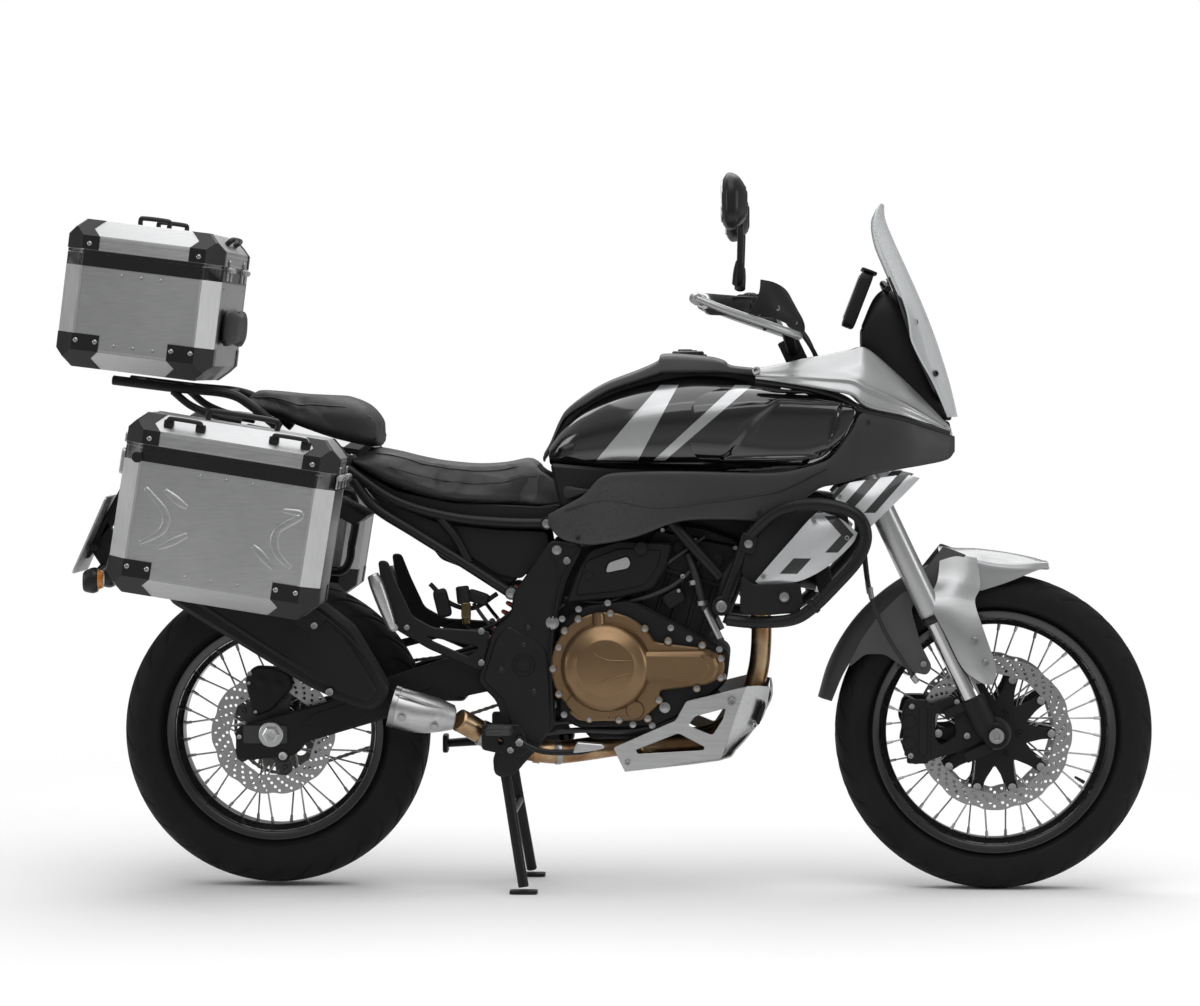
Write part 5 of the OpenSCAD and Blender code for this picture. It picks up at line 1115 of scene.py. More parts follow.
# Swingarm beams with a pressed recess, and the axle with its nut and adjusters
beam = roundCorners(rows("-74 277; -74 339; -48 349; 112 393; 200 432; 340 478; 480 520; 527 515; 560 500; "
    "565 470; 550 440; 500 428; 340 394; 211 352; 73 311; 50 283; -44 273"), 12)
armShapes = both(plate(beam, -123.6, -98.4, edge=3.5), drum(25, 283, 15, -124, -98.4, 2),
    plate(roundCorners(rows("60 348; 92 372; 196 404; 330 448; 338 426; 210 380; 120 340"), 8), -125.4,
    -122, edge=1.4), bar((527, -131.4, 475), (527, -98, 475), 26))
armShapes += [block((374, 0, 423), (54, 198, 60), 8), bar((527, -150, 475), (527, 150, 475), 10)]
build("swingarm_beams", armShapes, castBlack, ["swingarm"])
build("axle_blocks", both(plate(roundCorners(rows("-58 308; -58 346; 34 346; 34 308"), 6), -127.6, -123.4,
    [circle(0, 327, 11)], 1)), castGrey)
washer = turned(rows("10 -124.4; 10 -128.6; 24 -128.6; 26 -127; 26 -124.4; 10 -124.4"), rearAxle, "y", 48)
hexNut = turned(rows("7 -130; 7 -137.4; 14 -137.8; 17.4 -136; 17.4 -128; 7 -128; 7 -130"), rearAxle, "y", 6)
build("rear_axle_nuts", both(washer, hexNut) + [bar(rearAxle + [0, -134, 0], rearAxle + [0, 134, 0], 7.2)]
    + both(*bolts([(-66, -124, 322, 5), (25, -124, 283, 9)])), paleSilver, ["rear_axle"], 30)

# Shock: a coil round a damper
turn = np.linspace(0, 2 * np.pi * 7, 240)
coil = np.stack([29 * np.cos(turn), 29 * np.sin(turn), np.linspace(8, 150, 240)], 1)
spring = tube(coil[::2], 4.5, 2, 12)
build("shock_spring", [aimed(spring, (466, 0, 497), (86, 0, 165))], redPlastic)
build("shock_body", [bar((430, 0, 462), (466, 0, 497), 12), bar((462, 0, 490), (552, 0, 662), 13),
    bar((462, 0, 490), (472, 0, 508), 31, 40, 2), bar((543, 0, 645), (551, 0, 660), 31, 40, 2)], castBlack,
    ["rear_shock"])
print("chassis made")

# Engine: crankcase in two halves with flanges, barrel, head and cam cover, each a rounded plate
crank = roundCorners(rows("596 368; 596 555; 650 600; 745 612; 905 528; 952 500; 946 440; 885 385; 800 345; "
    "640 342"), 16)
barrel = roundCorners(rows("738 600; 903 516; 950 640; 775 692"), 10)
head = roundCorners(rows("772 686; 950 632; 984 700; 978 716; 800 752; 792 740"), 10)
camCover = roundCorners(rows("798 748; 980 712; 966 736; 900 760; 850 767; 812 762"), 9)
engine = [plate(crank, -127, 127, edge=5), plate(barrel, -104, 104, edge=5),
    plate(head, -111.5, 111.5, edge=5), plate(camCover, -105, 105, edge=7)]
engine += both(plate(crank * 0.965 + np.array([773, 475]) * 0.035, -144.6, -124, edge=3),
    plate(roundCorners(rows("772 680; 948 628; 951 636; 775 689"), 2), -112, -98, edge=1),
    plate(roundCorners(rows("796 740; 982 700; 984 712; 799 751"), 3), -112, -98, edge=1))
ribLines = [((x0, z0), (x1, z1)) for x0, z0, x1, z1 in ((770, 600, 800, 680), (800, 584, 828, 672),
    (830, 568, 860, 662), (862, 552, 890, 653), (892, 538, 922, 644), (810, 700, 822, 742),
    (850, 690, 860, 734), (892, 678, 902, 724), (932, 664, 944, 714))]
engine += both(*[bar((a[0], -104, a[1]), (b[0], -106, b[1]), 4.5, 12) for a, b in ribLines])
engine += both(drum(848, 716, 15, -118, -104), drum(926, 690, 13, -117, -104),
    drum(690, 585, 16, -140, -110, 3), drum(760, 566, 20, -136, -104, 3),
    block((836, -118, 612), (46, 34, 34), 5, turn=30))
engine += [plate(roundCorners(rows("640 342; 800 345; 780 318; 665 316"), 8), -95, 95, edge=5)]
build("engine_castings", engine, castBlack, ["engine_block"])
engineBolts = [(606, 570), (640, 590), (700, 603), (930, 508), (938, 452), (880, 400), (610, 372),
    (792, 350), (752, 352), (868, 530), (830, 552)]
build("engine_bolts", both(*bolts([(x, -144.5, z, 5.5) for x, z in engineBolts], kind="hex"),
    *bolts([(x, -111.8, z, 5) for x, z in ((792, 708), (958, 658), (812, 752), (962, 716), (880, 732))])),
    boltSteel)

# Bronze covers. The clutch side: a flange with bolts, a dished ring, a flat disc with two soft ripples,
# a long boss to the front and a filler neck above.
clutchCentre = (697, 0, 472)
cx, cz = clutchCentre[0], clutchCentre[2]
arc = lambda a0, a1, r, n: [[cx + r * math.cos(math.radians(k)), cz + r * math.sin(math.radians(k))]
    for k in np.linspace(a0, a1, n)]
flange = roundCorners(arc(28, 232, 113, 22) + [[620, 378], [640, 361], [770, 361], [808, 398], [806, 424],
    [905, 436], [936, 452], [942, 474], [936, 496], [905, 510], [806, 522]], 9)
boss = roundCorners(rows("760 446; 900 440; 920 448; 930 473; 920 498; 900 506; 760 504"), 9)
dish = turned(rows("0.1 -194; 56 -194; 61 -192.5; 64 -189; 78 -186; 86 -180; 92 -168; 94 -156"),
    clutchCentre, "y", 96)
ripple = [tube(rows("672 -194 502; 700 -195 490; 728 -195.4 488; 752 -194 488"), [0.6, 1.6, 1.8, 0.6], 10,
    10, 0.6), tube(rows("664 -194 436; 700 -195 448; 728 -195.4 458; 750 -194 462"), [0.6, 1.6, 1.8, 0.6],
    10, 10, 0.6)]
bronzeShapes = [plate(flange, -160, -145.6, edge=3), dish, plate(boss, -178, -156, edge=6),
    plate(roundCorners(rows("770 452; 896 448; 912 473; 896 498; 770 498"), 8), -180, -174, edge=2),
    bar((684, -168, 520), (681, -158, 584), 15, 28, 3, 13), plate(roundCorners(rows("612 396; 650 360; "
    "706 362; 702 388; 664 398; 636 432"), 10), -165, -158, edge=3)]
bronzeShapes += ripple + [turned(rows("9 -168; 17 -168; 19 -165; 19 -158"), (757, 0, 384), "y", 32)]
build("clutch_casing", bronzeShapes, bronze, ["clutch_cover"])
ringBolts = [(640, 570), (706, 582), (777, 551), (825, 526), (895, 517), (933, 490), (933, 451),
    (884, 429), (806, 404), (783, 366), (724, 363), (663, 365), (600, 416), (588, 468), (600, 512),
    (612, 546)]
build("clutch_bolts", [drum(x, z, 8.4, -163, -146, 2, 20) for x, z in ringBolts], bronze)
build("clutch_screws", bolts([(x, -163, z, 5) for x, z in ringBolts] + [(757, -160, 384, 8),
    (818, -150, 388, 9)], kind="hex"), boltSteel)
leftDish = turned(rows("0.1 188; 40 188; 46 185; 50 178; 62 174; 70 166; 72 146"), (850, 0, 484), "y", 80)
leftFlange = roundCorners(rows("764 400; 764 540; 720 560; 650 560; 650 535; 700 520; 700 400; 650 395; "
    "650 372; 740 365"), 9)
sprocketCover = roundCorners(rows("599 418; 599 520; 640 532; 696 518; 696 402; 640 400"), 12)
build("left_casings", [leftDish, plate(leftFlange, 145.6, 165, edge=4),
    plate(sprocketCover, 145.6, 161, [circle(640, 466, 9)], 3), plate(roundCorners(rows("760 420; 850 404; "
    "930 440; 930 520; 850 560; 760 545"), 20), 145.6, 160, edge=4)], bronze, ["left_engine_covers"])
build("left_casing_bolts", bolts([(850 + 66 * math.cos(a), 166, 484 + 66 * math.sin(a), 5)
    for a in np.arange(8) * 0.785] + [(612, 161, 430, 5), (612, 161, 508, 5), (684, 161, 412, 5),
    (684, 161, 508, 5), (662, 165, 548, 5), (740, 165, 546, 5), (738, 165, 378, 5)], (0, 1, 0), "hex"),
    boltSteel)

# Air box cover with its clear window and cap, hoses with clamps, cables
airCover = roundCorners(rows("612 602; 640 676; 662 713; 722 732; 834 727; 823 680; 793 632; 720 612"), 12)
window = roundCorners(rows("694 664; 700 686; 742 700; 748 684; 742 674"), 8)
build("air_box_covers", both(plate(airCover, -138, -114.5, edge=4),
    plate(roundCorners(rows("632 618; 655 690; 724 716; 812 712; 802 676; 776 640; 716 626"), 10), -141,
    -136, [window], 2), drum(768, 716, 14, -148, -138, 3), drum(660, 660, 9, -144, -140, 1.5)), castBlack)
build("air_box_windows", both(plate(window * 0.96 + window.mean(0) * 0.04, -142, -138, edge=0.6)),
    paleSilver)
hoses = [(rows("866 -120 704; 880 -132 664; 896 -138 602; 900 -136 590"), 9),
    (rows("960 -118 690; 1010 -130 660; 1080 -140 652; 1140 -130 640"), 13),
    (rows("730 -118 600; 800 -130 622; 850 -128 650; 900 -120 700"), 5),
    (rows("610 -120 612; 700 -126 604; 760 -130 640; 830 -128 690; 900 -126 740"), 4),
    (rows("560 -124 330; 640 -120 338; 760 -130 340; 860 -132 372; 930 -120 420"), 6),
    (rows("420 -112 600; 450 -116 560; 490 -122 520; 560 -126 560; 610 -126 600"), 4),
    (rows("940 -110 560; 960 -112 610; 990 -100 680; 1040 -80 740"), 5)]
build("engine_hoses", both(*[tube(p, r, 9, 14) for p, r in hoses]), hoseRubber)
build("hose_clamps", both(bar((877, -130, 650), (879, -131, 640), 11.5),
    bar((894, -138, 608), (895, -138, 598), 11.5), bar((900, -138, 594), (931, -142, 530), 7.5),
    bar((1128, -131, 643), (1138, -130, 641), 15.5), *bolts(rows("869 -116 702 5; 854 -128 658 5; "
    "975 -130 623 6; 846 -134 628 4"))), bareMetal)

# Exhaust: headers, collector and the run back to the silencer
rightHeader = rows("992 -42 640; 1012 -44 590; 1016 -46 520; 1006 -46 440; 975 -44 365; 915 -42 318; "
    "830 -40 306; 770 -36 304")
runBack = rows("772 -20 304; 710 -40 300; 650 -74 294; 590 -98 290; 530 -104 298; 484 -105 312; "
    "440 -113 330; 410 -133 350; 392 -147 361")
build("exhaust_headers", both(tube(rightHeader, 21, 10, 28), bar((1014, -45, 562), (1015, -45.5, 546), 24,
    28), bar((986, -42, 652), (998, -43, 626), 30, 28, 2)) + [tube(runBack, 24, 10, 30),
    bar((785, -56, 304), (785, 56, 304), 23, 28, 6), bar((560, -101, 293), (545, -102, 295), 27, 28)],
    heatTint(), ["exhaust_pipes"])
build("exhaust_clamps", [bar((452, -111, 325), (434, -115, 333), 27, 30),
    bar((600, -95, 290.5), (588, -98, 290), 26, 30)] + bolts([(443, -118, 352, 5), (594, -122, 300, 5)]),
    boltSteel)
shield = tube(rows("384 -154 366; 350 -162 371; 310 -169 377; 262 -171 390"), [25, 35, 41.5, 41.5], 12, 48)
build("heat_shield", [shield], bareMetal, ["exhaust_heat_shield"])
build("shield_trim", [tube(rows("372 -184 384; 330 -202 398; 288 -207 414; 266 -206 420"), [1, 3, 3, 1],
    10, 10), bar((268, -171, 388.5), (256, -171, 391.6), 43.4, 48)], boltSteel)
build("shield_bolts", bolts([(280, -211, 372, 8), (346, -198, 352, 8)], (0, -0.96, -0.25), "hex"), boltSteel)

# Silencer: a faceted black can with a raised side, an end cap with a tail pipe, and its strap
can = roundCorners(rows("84 436; 150 404; 214 384; 246 402; 256 428; 181 556; 120 603; -110 744; -150 740; "
    "-206 632; -196 606"), 14)
inner = roundCorners(rows("98 450; 160 420; 212 404; 232 424; 164 540; 112 580; -104 716; -134 712; "
    "-178 634; -170 620"), 12)
build("silencer_can", [plate(can, -214, -139, edge=9), plate(inner, -221, -210, edge=5),
    plate(inner, -143, -132, edge=5), bar((-112, -178, 640), (-178, -178, 672), 24, 32)], castBlack,
    ["silencer"])
build("silencer_ribs", [tube(rows("232 -220 470; 160 -221.5 548; 80 -221.5 604; -100 -221.5 712"), 1.8, 10,
    10), tube(rows("96 -221 462; 20 -221.5 508; -80 -221.5 572; -160 -221 622"), 1.8, 10, 10),
    plate(roundCorners(rows("60 566; 92 600; 130 576; 98 542"), 6), -224, -216)], frameBlack)
build("silencer_bolts", bolts(rows("133 -220 424 8; 102 -223 560 7; -60 -220 650 6")), boltSteel)
tailRing = turned(rows("18 -6; 24 -6; 25 -4; 25 4; 22 5; 18 3; 18 -6"), axis="z", segments=40)
build("tail_pipe_ring", [aimed(tailRing, (-170, -178, 669), (-0.9, 0, 0.44))], boltSteel)

# Radiator: core with fins, tanks and a fan shroud
back = lambda s: (s[0] @ np.array(rows("0.978 0 0.208; 0 1 0; -0.208 0 0.978")) + [1135, 0, 615], s[1], s[2])
radiatorParts = [back(block((17, -152, 82), (33, 26, 164), 9)), back(block((17, 152, 82), (33, 26, 164),
    9)), back(block((17, 0, 3), (30, 300, 7), 9)), back(block((17, 0, 161), (30, 300, 7), 9)),
    back(turned(rows("0.1 12; 15 12; 17 8; 17 0"), (17, -152, 158), "z", 28))]
fins = [back(block((17, 0, z), (26, 284, 2.6), 8, 8, 12)) for z in np.linspace(10, 154, 24)]
fins += [back(block((18, y, 82), (20, 1.2, 152), 8, 6, 10)) for y in np.linspace(-138, 138, 60)]
build("radiator_tanks", radiatorParts, castBlack, ["radiator"])
build("radiator_fins", fins, castGrey, angle=None)
build("radiator_fan", [back(turned(rows("60 -2; 66 -2; 66 2; 60 2; 60 -2"), (4, 0, 82), "x", 60))]
    + [back(bar((2, 0, 82), (2, 62 * math.cos(a), 82 + 62 * math.sin(a)), 4, 8)) for a in np.arange(6)
    * 1.047], blackPlastic)

# Skid plate: pierced sides, facets that turn in towards the front, and one bent floor
skidSide = roundCorners(rows("712 306; 840 362; 862 402; 986 433; 934 284; 735 258"), 5)
skidHoles = [roundCorners(rows("758 301; 846 336; 900 308; 898 301; 762 293"), 6),
    roundCorners(rows("866 352; 880 371; 944 388; 938 366; 916 332"), 6)]
facet = smoothGrid(rows("986 -159 433; 1012 -142 433; 1035 -122 429; 966 -159 376; 996 -142 366; "
    "1018 -122 362; 936 -159 286; 950 -142 298; 962 -122 304").reshape(3, -1, 3), 6, 6)
floorLine = rows("735 0 259; 930 0 283; 962 0 302; 998 0 343; 1034 0 404; 1034 0 429")
floorPath = catmull(floorLine, 3)
floorGrid3 = floorPath[:, None] + np.array([0, 1, 0]) * np.interp(floorPath[:, 0], [735, 930, 1000],
    [157, 157, 122])[:, None, None] * np.linspace(-1, 1, 9)[None, :, None]
build("skid_sides", both(plate(skidSide, -160, -156.4, skidHoles, 0.8), panel(facet, 3))
    + [panel(floorGrid3, 3.4)], skidMetal, ["skid_plate"], 30)
build("skid_trim", both(plate(roundCorners(rows("1012 352; 1026 392; 1022 404; 1004 360"), 4), -150, -132,
    edge=1)), blackPlastic)
build("skid_bolts", both(*bolts([(956, -160, 403, 9), (742, -160, 276, 6)]),
    *bolts([(1000, -141, 352, 6)], (0.5, -0.8, -0.2))), boltSteel)

# Crash bars with clamps
crashLine = rows("945 -186 572; 1000 -198 568; 1075 -222 574; 1118 -236 598; 1168 -250 648; 1212 -254 700; "
    "1228 -254 748; 1208 -252 790; 1150 -244 810; 1092 -232 808; 1042 -214 790; 1004 -198 756; "
    "984 -186 728; 960 -180 660; 938 -180 606")
build("crash_tubes", both(tube(crashLine, 12.5, 10, 24), bar((935, -166.5, 600), (935, -192, 600), 20, 32,
    2), plate(roundCorners(rows("968 716; 1000 704; 1010 742; 978 752"), 6), -204, -196, edge=2),
    bar((1120, -237, 600), (1126, -239, 606), 15.5, 24, 1)), frameBlack, ["crash_bars"])
lowBracket = roundCorners(rows("975 665; 1000 646; 1095 650; 1102 606; 1090 588; 1010 583; 972 590"), 10)
build("crash_brackets", both(plate(lowBracket, -222, -214, edge=2), drum(1063, 621, 14, -225, -220)),
    blackPlastic)
build("crash_bolts", both(*bolts([(1063, -225, 621, 8), (990, -204, 728, 7)], kind="hex")), boltSteel)
print("engine and exhaust made")


# Footrests, levers, chain, rear caliper and stands
hanger = roundCorners(rows("440 300; 440 352; 520 352; 540 300; 520 282; 478 292"), 8)
armOut = roundCorners(rows("458 545; 340 552; 296 576; 266 640; 246 690; 226 690; 236 620; 262 548; "
    "330 508; 440 462"), 10)
armHole = roundCorners(rows("326 534; 434 512; 412 492; 340 524"), 5)
build("footrest_hangers", both(plate(hanger, -156, -146.5, [circle(480, 318, 6)], 2),
    plate(armOut, -155.6, -146.5, [armHole], 2.5)), frameBlack, ["footrests"])
build("rider_pegs", both(block((480, -201, 343), (54, 90, 13), 7),
    bar((478, -154, 338), (478, -166, 340), 11), *[block((480, y, 350.5), (50, 5, 5), 6, 8, 12)
    for y in range(-240, -160, 9)]), castGrey)
build("passenger_pegs", both(tube(rows("258 -166 548; 252 -167 566; 240 -169 600; 226 -171 640; "
    "217 -172 662"), [8, 11, 14, 15, 12], 8, 28), bar((262, -155, 552), (260, -172, 552), 8)), bareMetal)
build("foot_pedals", [tube(rows("520 -174 318; 570 -188 300; 640 -198 300; 672 -200 306"), [7, 6, 6, 5], 8,
    16), tube(rows("530 174 318; 580 190 322; 650 200 336; 690 204 344"), [7, 6, 6, 5], 8, 16),
    bar((520, -157, 318), (520, -180, 318), 12), bar((530, 157, 318), (530, 180, 318), 12)], frameBlack,
    ["foot_levers"])
build("pedal_pads", [plate(roundCorners(rows("632 300; 668 304; 696 310; 694 318; 640 322"), 4), -222,
    -186, edge=2), tube(rows("690 196 346; 690 216 346; 690 236 346"), 8, 5, 20)], bareMetal)
build("peg_bolts", both(*bolts(rows("500 -156 300 7; 456 -156 340 7; 440 -155.6 545 7; 440 -155.6 480 7; "
    "286 -155.6 552 6"))) + bolts([(520, -180, 318, 8)]), boltSteel)

# Chain: side plates and rollers laid round the two sprockets, and the small front sprocket
chain = {"rear": (0, 327, 102.5), "front": (625, 470, 40), "links": 116}
rx, rz, rr = chain["rear"]
fx, fz, fr = chain["front"]
span = math.hypot(fx - rx, fz - rz)
tilt, spread = math.atan2(fz - rz, fx - rx), math.acos((rr - fr) / span)
aRear = np.linspace(tilt + spread, tilt + 2 * math.pi - spread, 80)
aFront = np.linspace(tilt - spread, tilt + spread, 40)
run = np.vstack([np.column_stack([rx + rr * np.cos(aRear), rz + rr * np.sin(aRear)]),
    np.column_stack([fx + fr * np.cos(aFront), fz + fr * np.sin(aFront)])])
run = np.vstack([run, run[:1]])
along = np.concatenate([[0], np.cumsum(np.hypot(*np.diff(run, axis=0).T))])
at = np.linspace(0, along[-1], chain["links"] + 1)
linkX, linkZ = np.interp(at, along, run[:, 0]), np.interp(at, along, run[:, 1])
linkShape = roundCorners(rows("-11 -4.4; -4 -3; 4 -3; 11 -4.4; 11 4.4; 4 3; -4 3; -11 4.4"), 3, 3)
links = []
for k in range(chain["links"]):
    dx, dz = linkX[k + 1] - linkX[k], linkZ[k + 1] - linkZ[k]
    c, s = dx / math.hypot(dx, dz), dz / math.hypot(dx, dz)
    ring = linkShape @ np.array([[c, s], [-s, c]]) + [(linkX[k] + linkX[k + 1]) / 2,
        (linkZ[k] + linkZ[k + 1]) / 2]
    out = 4.4 if k % 2 else 3.0
    for y in (86 - out, 86 + out - 1.2):
        links.append(skin(np.stack([np.column_stack([ring[:, 0], np.full(len(ring), y + d), ring[:, 1]])
            for d in (0, 1.2)])))
    links.append(bar((linkX[k], 82, linkZ[k]), (linkX[k], 90, linkZ[k]), 3.4, 10))
build("chain_links", links, chainSteel, ["drive_chain"])
teeth = 16
toothed = [[625 + r * math.cos(a), 470 + r * math.sin(a)] for k in range(teeth)
    for r, a in ((34, (k + 0.1) * 2 * math.pi / teeth), (39, (k + 0.4) * 2 * math.pi / teeth),
    (39, (k + 0.6) * 2 * math.pi / teeth), (34, (k + 0.9) * 2 * math.pi / teeth))]
build("front_sprocket", [plate(np.array(toothed), 83, 89, [circle(625, 470, 10)], 0.6)], boltSteel)
build("chain_guard", [plate(roundCorners(rows("-40 446; 40 458; 330 530; 390 560; 396 548; 336 514; 60 440; "
    "-30 428"), 8), 97, 100, edge=0.8)], blackPlastic)

caliperOut = roundCorners(rows("-40 34; -56 114; -40 140; 4 138; 40 122; 44 96; 20 72; 0 48"), 12) + [0, 327]
build("rear_caliper", [plate(caliperOut, -107.6, -92, edge=4), plate(caliperOut, -80, -66.4, edge=4),
    plate(roundCorners(rows("-50 112; -36 136; 30 126; 20 106"), 5) + [0, 327], -94, -78),
    drum(-22, 436, 14, -108, -104, 2), drum(12, 426, 14, -108, -104, 2)], castBlack, ["rear_brake_caliper"])
build("rear_caliper_bolts", bolts(rows("-46 -107.6 452 5; -48 -107.6 432 4; -34 -107.6 372 4")), boltSteel)
build("rear_cylinder", [bar((408, -126, 556), (404, -126, 604), 9, 24, 3),
    block((407, -136, 586), (20, 12, 34), 6)], goldParts)
build("rear_cylinder_cap", [bar((402, -126, 600), (398, -126, 636), 14, 28, 3),
    block((430, -112, 612), (46, 30, 26), 5, turn=-18), block((356, -112, 600), (30, 24, 60), 5, turn=14),
    tube(rows("404 -126 560; 420 -124 544; 470 -118 560; 520 -112 600"), 4, 8, 12),
    tube(rows("330 -110 640; 372 -112 600; 420 -110 590; 470 -108 620"), 5, 8, 12)], castBlack)

standTubes = both(tube(rows("484 -112 262; 490 -116 228; 508 -129 120; 526 -142 14"), [13, 11, 11, 11], 8,
    20), block((526, -141, 4.2), (58, 34, 8), 8))
standTubes += [bar((484, -131, 262), (484, 131, 262), 15), bar((484, -149, 262), (484, 149, 262), 8),
    bar((501, -118, 166), (501, 118, 166), 9)]
build("centre_stand_tubes", standTubes, frameBlack, ["centre_stand"], body="centre_stand_body")
build("side_stand_leg", [drum(600, 300, 16, 167, 185, 2), bar((600, 129, 300), (600, 176, 300), 6),
    tube(rows("600 176 300; 560 181 297; 430 198 286; 338 210 278"), [12, 10.5, 10, 9], 8, 22),
    block((336, 212, 278), (12, 44, 40), 6)], frameBlack, ["side_stand"], body="side_stand_body")

# Luggage rack and pannier racks
rackTubes = both(tube(rows("-330 -112 1062; -200 -112 1046; -90 -112 1034; -40 -112 1008; 18 -108 961"),
    10, 9, 20), tube(rows("-205 -112 1040; -165 -112 1008; -110 -110 986; -62 -106 976"), 8, 9, 16))
rackTubes += [bar((x, -112, z), (x, 112, z), 8) for x, z in ((-300, 1058), (-200, 1046), (-100, 1035))]
rackLoop = rows("130 -234 700; 140 -234 760; 134 -234 806; 110 -234 821; -20 -234 836; -140 -234 854; "
    "-170 -234 838; -186 -234 780; -197 -234 716; -184 -234 692; -120 -234 679; -60 -234 668; 80 -234 647; "
    "112 -234 650; 126 -234 672; 130 -234 700")
rackStays = rows("100 -234 822; 100 -200 836; 100 -150 870; 100 -115 894; -120 -234 850; -112 -200 870; "
    "-90 -150 915; -74 -111 947").reshape(2, -1, 3)
build("rack_tubes", rackTubes, frameBlack, ["luggage_rack"])
build("pannier_rack_tubes", both(tube(rackLoop, 9, 8, 18), *[tube(p, 8, 8, 16) for p in rackStays],
    block((-20, -234, 838), (60, 22, 14), 6), block((-10, -234, 664), (60, 22, 14), 6)), frameBlack,
    ["pannier_racks"])

# Cases. Each is drawn about the middle of its parting line: walls with chamfered corners and a chamfered
# foot, a lid the same way up, a black band round the parting, strips of a brighter copy of the case metal
# as painted highlights on the upright corners and folds, black corner caps, latches, handles and hinges.
# Inset says how far a level is drawn in.
cases = {"top_case": {"at": (-248, 0, 1308), "tilt": 7, "size": (322, 440, 234), "side": 0, "body": "root",
    "lid": "top_case_lid_body"}, "right_pannier": {"at": (-36, -364, 902), "tilt": 9,
    "size": (424, 232, 292), "side": -1, "body": "root", "lid": "right_pannier_lid_body"},
    "left_pannier": {"at": (-36, 364, 902), "tilt": 9, "size": (424, 232, 292), "side": 1, "body": "root",
    "lid": "left_pannier_lid_body"}}
caseForm = {"corner": 36, "foot": 35, "wall": 3, "lid": 70, "slope": 34, "round": 4, "band": 26}


def caseRing(size, inset, z):
    x, y = size[0] / 2 - inset, size[1] / 2 - inset
    c = max(caseForm["corner"] - 2 * inset, 4)
    ring = roundCorners([[-x + c, -y], [x - c, -y], [x, -y + c], [x, y - c], [x - c, y], [-x + c, y],
        [-x, y - c], [-x, -y + c]], caseForm["round"], 4)
    return np.column_stack([ring, np.full(len(ring), z)])


def caseShape(size, depth, chamfer, sign, lift=0.0):
    wall, soft = caseForm["wall"], 2.5
    inside = [(chamfer + 1, depth - wall), (wall, depth - chamfer), (wall, 0), (0.4, 0)]
    outside = [(0, 0.8), (0, depth - chamfer - soft), (0.8, depth - chamfer + soft * 0.4),
        (chamfer - soft * 0.7, depth - soft * 0.7), (chamfer + soft * 0.7, depth)]
    return skin(np.stack([caseRing(size, i, lift + sign * z) for i, z in inside + outside]))


def caseBand(size, zFrom, zTo, proud):
    levels = [(-proud, zFrom), (-proud, zTo), (1, zTo), (1, zFrom)]
    return skin(np.stack([caseRing(size, i, z) for i, z in levels]), loop=True)


def casePatch(size, sx, sy, levels, reach, proud):
    # a bent sheet over one upright corner: levels are insets and heights, reach is its width along the case
    # and half of that across it
    c, grid = caseForm["corner"], []
    for inset, z in levels:
        x, y, cut = size[0] / 2 - inset + proud, size[1] / 2 - inset + proud, max(c - 2 * inset, 3)
        grid.append([[sx * (x - cut - reach), sy * y, z], [sx * (x - cut), sy * y, z],
            [sx * x, sy * (y - cut), z], [sx * x, sy * (y - cut - reach / 2), z]])
    g = np.array(grid, float)
    upright = np.sign(levels[-1][1] - levels[0][1]) * sx * sy
    return panel(g if upright > 0 else g[:, ::-1], 2.4)


def caseGrip(a, b, out, radius):
    # a bail handle between two feet, standing out along one direction
    a, b, out = np.array(a, float), np.array(b, float), np.array(out, float)
    return [tube([a, a + out * 0.8, a + out + (b - a) * 0.14, b + out - (b - a) * 0.14, b + out * 0.8, b],
        radius, 7, 14)]


